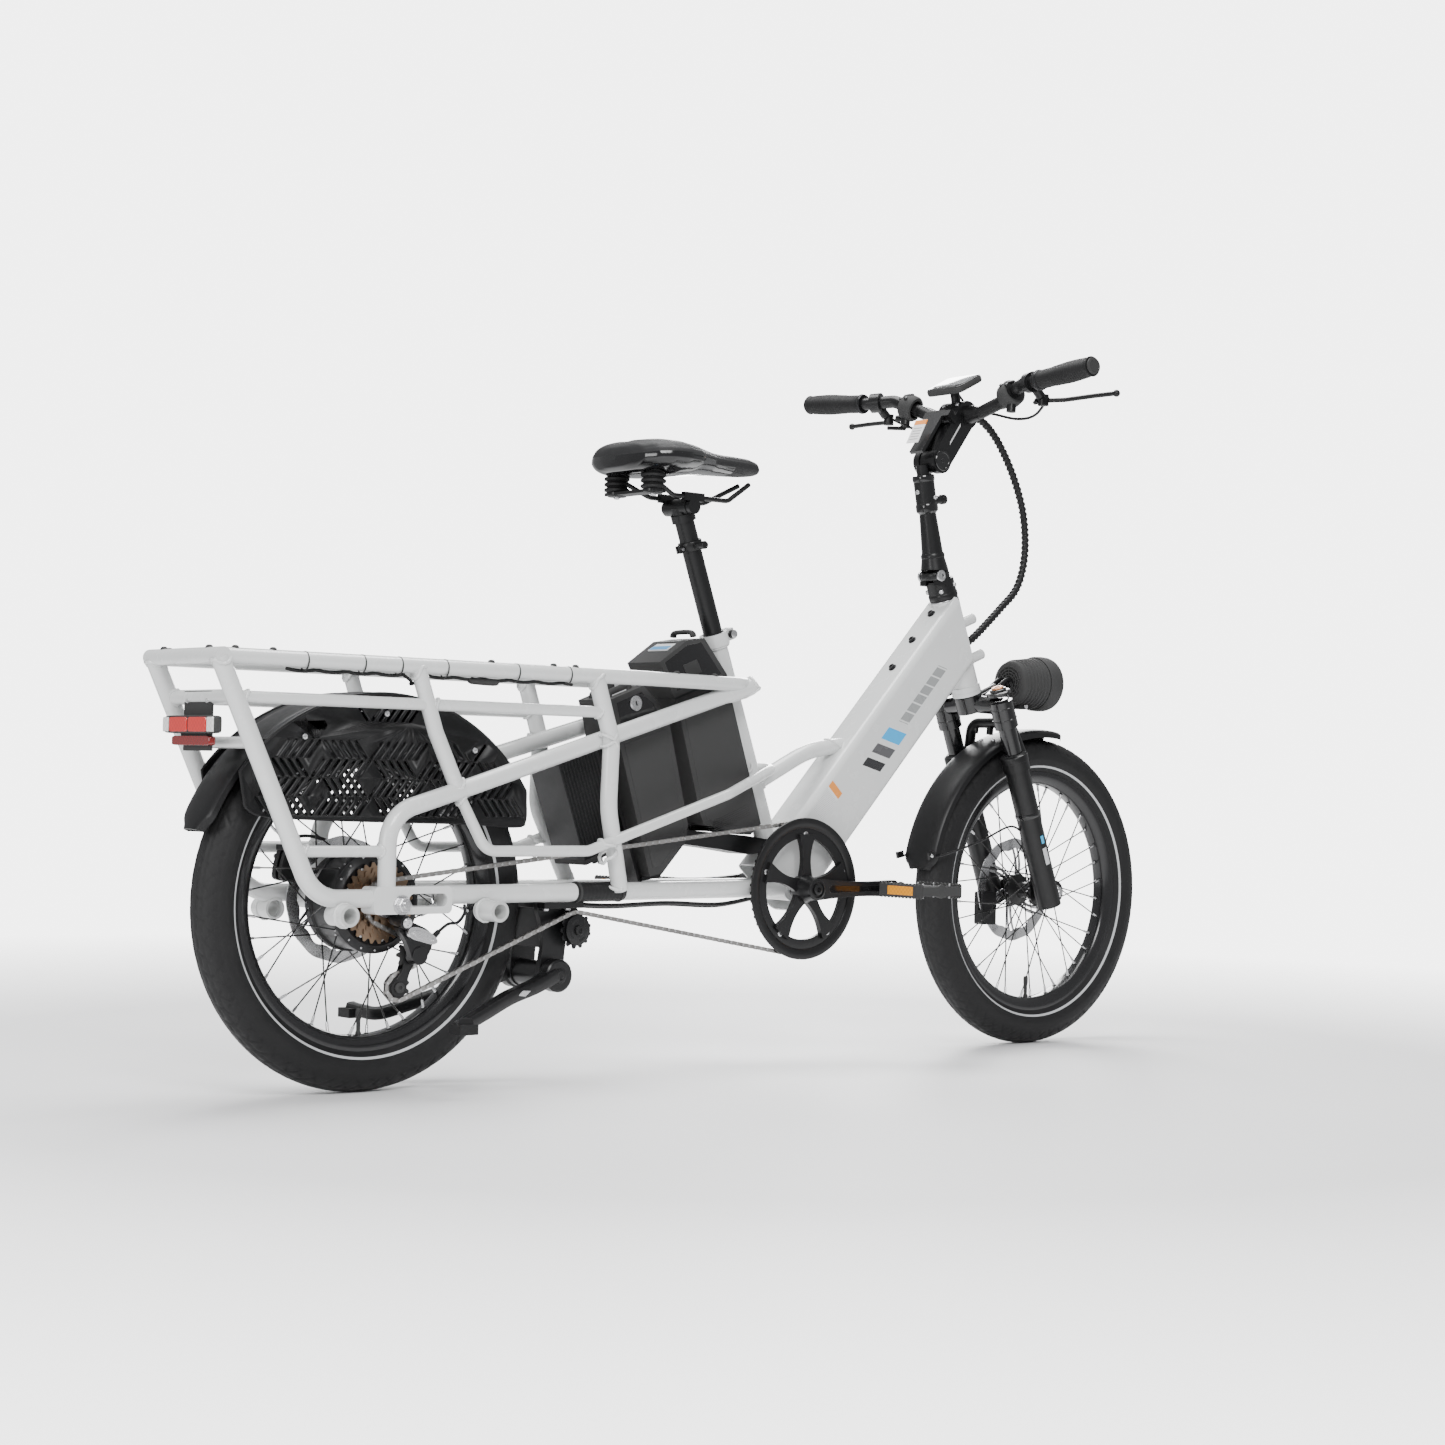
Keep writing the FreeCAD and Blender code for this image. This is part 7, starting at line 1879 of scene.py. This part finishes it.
def wrapped(path, radius, pitch, lead):
    """Cable bundle in a spiral wrap: radius r + ridge * wave(distance along - pitch * angle / 2pi)."""
    _, u, v = path_frames(path)
    step = np.r_[0, np.cumsum(np.linalg.norm(np.diff(path, axis=0), axis=1))] + lead
    t = np.linspace(0, 2 * pi, 16, endpoint=False)
    phase = step[:, None] / pitch - t[None] / (2 * pi)
    wave = np.clip(1.6 * np.cos(2 * pi * phase), -1, 1)
    r = radius + 0.75 * wave
    pts = path[:, None] + (r * np.cos(t))[..., None] * u[:, None] + (r * np.sin(t))[..., None] * v[:, None]
    return grid(pts, wrap_v=True, caps=True)


def build_harness():
    """Spiral-wrapped harness from the head tube to the stem in three lengths, and the bar's short cables."""
    line = harness_line()
    fine = smooth_path(line, 900)
    cuts = (0, 150, 770, 899)
    step = np.r_[0, np.cumsum(np.linalg.norm(np.diff(fine, axis=0), axis=1))]
    cover = cable_cover()
    made = []
    for i, name in enumerate(("harness_lower", "harness_loop", "harness_upper")):
        a, b = cuts[i], cuts[i + 1]
        piece = Piece()
        piece.add(wrapped(fine[a:b + 1], 6.3, 9.0, step[a]), 0)
        if i == 0:
            piece.add(lathe([(7.2, -2.0), (9.6, -1.0), (9.6, 3.0), (7.8, 5.0), (6.8, 5.0)][::-1], fine[0],
                            fine[6] - fine[0], 24), 1)
        made.append((piece.make(name, [cover, rubber()], None, ["cockpit_cables"] if i == 1 else ()),
                     fine[a], fine[b]))
    for (obj, a, b), (low, high) in zip(made,
                                        (("frame", "steering"), ("steering", "mast"), ("mast", "stem"))):
        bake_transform(obj)
    bar = Piece()
    end = fine[-1]
    runs = [
        ([end + [-8, 0, 0], end + [10, -34, 2], (1222, -92, 1066), (1216, -140, 1068), (1196, -186, 1090)],
         2.4),
        ([end + [-8, 0, 0], end + [14, -24, 8], (1226, -70, 1090), (1212, -104, 1104), (1198, -116, 1106)],
         2.2),
        ([end + [-8, 0, 0], end + [10, 34, 2], (1222, 92, 1066), (1216, 140, 1068), (1196, 186, 1090)], 2.4),
        ([end + [-8, 0, 0], end + [14, 24, 8], (1226, 70, 1086), (1212, 104, 1100), (1198, 116, 1104)], 2.2),
        ([end + [-8, 4, 0], end + [-4, 8, 18], (1188, 10, 1112), (1176, 8, 1118)], 2.0),
    ]
    for pts, r in runs:
        bar.add(sweep(smooth_path(pts, 46), r, 10), 0)
    bar.add(lathe([(6.9, -9), (8.4, -7), (8.4, 7), (6.9, 9), (0.01, 9)][::-1], end, fine[-1] - fine[-8],
                  24), 0)
    bar.make("bar_cables", [cover], "stem")


def build_wiring():
    """Thin wire under the right rail with an inline plug and ties, and the rear brake hose."""
    piece = Piece()
    y, z = -79.9, 581.6
    for x0, x1 in ((-180.0, 8.0), (46.0, 300.0)):
        xs = np.linspace(x0, x1, 30)
        droop = 2.6 * np.abs(np.sin((xs - x0) / 47.0 * pi))
        piece.add(sweep(np.c_[xs, np.full(30, y), z - droop], 2.6, 10), 0)
        for x in (x0 + 24, (x0 + x1) / 2 + 20, x1 - 14):
            t = np.linspace(0, 2 * pi, 30, endpoint=False)
            ring = np.stack([np.full(30, x), -87 + 11.7 * np.cos(t), 592.4 + 13.2 * np.sin(t)], -1)
            pts = np.stack([ring + [-1.0, 0, 0], ring + [1.0, 0, 0],
                            (ring - [x, -87, 592.5]) * [1, 0.93, 0.93] + [x + 1.0, -87, 592.5],
                            (ring - [x, -87, 592.5]) * [1, 0.93, 0.93] + [x - 1.0, -87, 592.5]], 1)
            piece.add(grid(pts, wrap_u=True, wrap_v=True), 1, False)
    piece.add(sweep(smooth_path([(120, y, z - 2), (124, y, z - 4), (160, y, z - 5), (164, y, z - 3)], 16),
                    [3] + [5.2] * 14 + [3], 14), 1)
    hook = smooth_path([(8, -80, 580), (20, -79, 573), (25, -72, 569), (36, -76, 574), (46, -80, 580)], 24)
    piece.add(sweep(hook, 2.4, 10), 0)
    hose = smooth_path([(-88, 60, 342), (-70, 66, 352), (-30, 74, 352), (40, 78, 330), (90, 76, 300)], 50)
    piece.add(sweep(hose, 2.5, 10), 0)
    under = smooth_path([(300, -30, 262), (420, -22, 254), (540, -16, 256), (650, -12, 252),
                         (735, -6, 262)], 60)
    piece.add(sweep(under, 3.2, 10), 0)
    piece.add(sweep(under + [0, 8, -3], 2.6, 10), 0)
    piece.make("rail_wire_and_hoses", [cable_cover(), black_plastic()], "frame", ["frame_wiring"])


# ------------------------------------------------------------------ stage
EYE = np.array([-1988.0, -3050.0, 449.0])
SENSOR_WIDTH = 36.0
FOCAL_LENGTH, FRAME_WIDTH = 2577.0, 1445.0           # both in the same unit; only their ratio counts
YAW, PITCH_UP, ROLL = radians(49.03), radians(1.23), radians(1.32)


def area_light(name, at, target, size, power):
    lamp = bpy.data.lights.new(name, "AREA")
    lamp.shape = "RECTANGLE"
    lamp.size, lamp.size_y = size
    lamp.energy = power
    obj = bpy.data.objects.new(name, lamp)
    bpy.context.collection.objects.link(obj)
    obj.location = Vector(at)
    obj.rotation_euler = (Vector(target) - Vector(at)).to_track_quat("-Z", "Y").to_euler()
    return obj


def build_stage():
    """Pale floor that fades into a pale room, four soft boxes and the camera."""
    settings = bpy.context.scene.bike_stage
    floor = bpy.data.meshes.new("floor")
    floor.from_pydata([(-30, -30, 0), (30, -30, 0), (30, 30, 0), (-30, 30, 0)], [], [(0, 1, 2, 3)])
    obj = bpy.data.objects.new("floor", floor)
    bpy.context.collection.objects.link(obj)
    obj.data.materials.append(floor_finish())
    world = bpy.data.worlds.new("studio")
    bpy.context.scene.world = world
    world.use_nodes = True
    tree = world.node_tree
    back = tree.nodes["Background"]
    back.inputs[0].default_value = (0.97, 0.98, 1.0, 1)
    back.inputs[1].default_value = settings.room_light
    sky = tree.nodes.new("ShaderNodeBackground")
    sky.inputs[0].default_value = (1, 1, 1, 1)
    sky.inputs[1].default_value = settings.backdrop
    rays, both = tree.nodes.new("ShaderNodeLightPath"), tree.nodes.new("ShaderNodeMixShader")
    tree.links.new(rays.outputs["Is Camera Ray"], both.inputs[0])
    tree.links.new(back.outputs[0], both.inputs[1])
    tree.links.new(sky.outputs[0], both.inputs[2])
    tree.links.new(both.outputs[0], tree.nodes["World Output"].inputs["Surface"])
    power = settings.lamp_power
    area_light("key", (-2.4, -3.6, 3.4), (0.0, 0, 0.5), (2.4, 1.8), 200 * power)
    area_light("top", (0.3, 0.6, 3.8), (0.0, 0, 0.4), (3.0, 2.0), 190 * power)
    area_light("rim", (2.8, 2.6, 2.0), (0.2, 0, 0.6), (1.4, 2.0), 120 * power)
    area_light("low", (-3.6, -0.6, 1.1), (-0.4, 0, 0.5), (1.2, 1.4), 40 * power)
    fwd = np.array([cos(PITCH_UP) * cos(YAW), cos(PITCH_UP) * sin(YAW), sin(PITCH_UP)])
    right = unit(np.cross(fwd, Z_AXIS))
    up = np.cross(right, fwd)
    r = cos(ROLL) * right + sin(ROLL) * up
    u = -sin(ROLL) * right + cos(ROLL) * up
    cam = bpy.data.objects.new("camera", bpy.data.cameras.new("camera"))
    bpy.context.collection.objects.link(cam)
    cam.data.sensor_width = SENSOR_WIDTH
    cam.data.lens = SENSOR_WIDTH * FOCAL_LENGTH / FRAME_WIDTH
    cam.data.clip_end = 100.0
    m = Matrix.Identity(4)
    for i, axis in enumerate((r, u, -fwd, place(EYE))):
        for j in range(3):
            m[j][i] = axis[j]
    cam.matrix_world = m
    bpy.context.scene.camera = cam


def floor_finish():
    """Pale floor whose cover falls smoothly to nothing between 1.3 m and 3.2 m from the bicycle."""
    n = Nodes("floor_pale")
    if n.new:
        o = n.split()
        r = n.math("SQRT", n.math("ADD", n.math("MULTIPLY", o[0], o[0]), n.math("MULTIPLY", o[1], o[1])))
        n.link(n.band(n.noise(3.0), 0.2, 0.8, 0.5, 0.6), n.bsdf.inputs["Roughness"])
        n.bsdf.inputs["Base Color"].default_value = (0.95, 0.95, 0.955, 1)
        n.link(n.band(r, 1.3, 3.2, 1.0, 0.0), n.bsdf.inputs["Alpha"])
    return n.mat


# ------------------------------------------------------------------ settings a user would change
class BikeFrameSettings(bpy.types.PropertyGroup):
    colour: FloatVectorProperty(name="Frame colour", description="Powder coat of the frame and fork",
                                default=(0.70, 0.71, 0.705), size=3, min=0, max=1, subtype="COLOR")
    weld_size: FloatProperty(name="Weld bead", description="Radius of the weld beads round the joints",
                             default=0.0026, min=0.0, max=0.006, unit="LENGTH", subtype="DISTANCE")


class BikeSeatSettings(bpy.types.PropertyGroup):
    colour: FloatVectorProperty(name="Cover colour", description="Colour of the saddle's cover",
                                default=(0.020, 0.020, 0.021), size=3, min=0, max=1, subtype="COLOR")
    ribs: IntProperty(name="Spring ribs", description="Ribs of each rubber spring under the saddle",
                      default=4, min=1, max=8)


class BikeStageSettings(bpy.types.PropertyGroup):
    lamp_power: FloatProperty(name="Lamps", description="Strength of the soft boxes", default=1.0, min=0.0,
                              max=4.0)
    room_light: FloatProperty(name="Room light", description="Strength of the pale surroundings", default=0.5,
                              min=0.0, max=3.0)
    backdrop: FloatProperty(name="Backdrop", description="Brightness of the room seen behind the bicycle",
                            default=5.0,
                            min=0.0, max=20.0)


# ------------------------------------------------------------------ operators
class BIKE_OT_frame(bpy.types.Operator):
    """Painted tubes of the frame with their welds, caps, bolts and guards"""
    bl_idname = "bike.frame"
    bl_label = "Frame tubes"

    def execute(self, context):
        finish_nodes()
        build_frame_details()
        return {"FINISHED"}


class BIKE_OT_wheels(bpy.types.Operator):
    """Tyres, rims, spokes, hubs and brake discs"""
    bl_idname = "bike.wheels"
    bl_label = "Wheels"

    def execute(self, context):
        build_wheels()
        build_hub_motor()
        build_front_hub()
        return {"FINISHED"}


class BIKE_OT_fenders(bpy.types.Operator):
    """Mudguards of both wheels and the slotted wheel skirts"""
    bl_idname = "bike.fenders"
    bl_label = "Fenders and skirts"

    def execute(self, context):
        build_fenders()
        build_skirts()
        return {"FINISHED"}


class BIKE_OT_chain(bpy.types.Operator):
    """Roller chain, sprockets, idler and derailleur"""
    bl_idname = "bike.chain"
    bl_label = "Chain and gears"

    def execute(self, context):
        build_chain()
        build_cassette()
        build_idler()
        build_derailleur()
        return {"FINISHED"}


class BIKE_OT_crank(bpy.types.Operator):
    """Crankset and both pedals"""
    bl_idname = "bike.crank"
    bl_label = "Crank and pedals"

    def execute(self, context):
        build_crank()
        build_pedals()
        return {"FINISHED"}


class BIKE_OT_kickstand(bpy.types.Operator):
    """Two-legged kickstand and its casting"""
    bl_idname = "bike.kickstand"
    bl_label = "Kickstand"

    def execute(self, context):
        build_kickstand()
        return {"FINISHED"}


class BIKE_OT_brakes(bpy.types.Operator):
    """Brake calipers and the rear axle's nuts and washers"""
    bl_idname = "bike.brakes"
    bl_label = "Calipers and axle"

    def execute(self, context):
        build_rear_end()
        return {"FINISHED"}


class BIKE_OT_lights(bpy.types.Operator):
    """Headlight, tail light and reflectors"""
    bl_idname = "bike.lights"
    bl_label = "Lights"

    def execute(self, context):
        build_tail_light()
        build_headlight()
        return {"FINISHED"}


class BIKE_OT_batteries(bpy.types.Operator):
    """Both batteries, their tray and the controller"""
    bl_idname = "bike.batteries"
    bl_label = "Batteries and controller"

    def execute(self, context):
        build_batteries()
        build_controller()
        return {"FINISHED"}


class BIKE_OT_fork(bpy.types.Operator):
    """Sprung fork: crown, legs and arch"""
    bl_idname = "bike.fork"
    bl_label = "Fork"

    def execute(self, context):
        build_fork()
        return {"FINISHED"}


class BIKE_OT_mast(bpy.types.Operator):
    """Folding mast with its hinge, tilting stem and stem lever"""
    bl_idname = "bike.mast"
    bl_label = "Mast and stem"

    def execute(self, context):
        build_mast()
        build_stem()
        return {"FINISHED"}


class BIKE_OT_bar(bpy.types.Operator):
    """Handlebar, grips, display, brake levers and throttle"""
    bl_idname = "bike.bar"
    bl_label = "Handlebar and controls"

    def execute(self, context):
        build_bar()
        build_levers()
        build_display()
        return {"FINISHED"}


class BIKE_OT_saddle(bpy.types.Operator):
    """Padded saddle on its rails and rubber springs, seatpost and quick release"""
    bl_idname = "bike.saddle"
    bl_label = "Saddle"

    def execute(self, context):
        build_saddle()
        build_seatpost()
        return {"FINISHED"}


class BIKE_OT_cables(bpy.types.Operator):
    """Wrapped cable harness and the wire along the rack rail"""
    bl_idname = "bike.cables"
    bl_label = "Cables"

    def execute(self, context):
        build_harness()
        build_wiring()
        return {"FINISHED"}


class BIKE_OT_stage(bpy.types.Operator):
    """Pale floor, soft light and camera"""
    bl_idname = "bike.stage"
    bl_label = "Stage"

    def execute(self, context):
        build_stage()
        return {"FINISHED"}


OPERATORS = (BIKE_OT_frame, BIKE_OT_wheels, BIKE_OT_fenders, BIKE_OT_chain, BIKE_OT_crank, BIKE_OT_kickstand,
             BIKE_OT_brakes, BIKE_OT_lights, BIKE_OT_batteries, BIKE_OT_fork, BIKE_OT_mast, BIKE_OT_bar,
             BIKE_OT_saddle, BIKE_OT_cables, BIKE_OT_stage)


class BIKE_PT_panel(bpy.types.Panel):
    """Lists the bicycle's settings and builders"""
    bl_label = "Cargo bicycle"
    bl_space_type = "VIEW_3D"
    bl_region_type = "UI"
    bl_category = "Bicycle"

    def draw(self, context):
        for group in ("bike_frame", "bike_seat", "bike_stage"):
            settings = getattr(context.scene, group)
            for key in settings.__annotations__:
                self.layout.prop(settings, key)
        for op in OPERATORS:
            self.layout.operator(op.bl_idname)


GROUPS = (("bike_frame", BikeFrameSettings), ("bike_seat", BikeSeatSettings),
          ("bike_stage", BikeStageSettings))


def register():
    for key, group in GROUPS:
        bpy.utils.register_class(group)
        setattr(bpy.types.Scene, key, PointerProperty(type=group))
    for cls in (*OPERATORS, BIKE_PT_panel):
        bpy.utils.register_class(cls)


def unregister():
    for cls in (BIKE_PT_panel, *reversed(OPERATORS)):
        bpy.utils.unregister_class(cls)
    for key, group in reversed(GROUPS):
        delattr(bpy.types.Scene, key)
        bpy.utils.unregister_class(group)


def main():
    register()
    for op in OPERATORS:
        getattr(bpy.ops.bike, op.bl_idname.split(".")[1])()


if __name__ == "__main__":
    main()
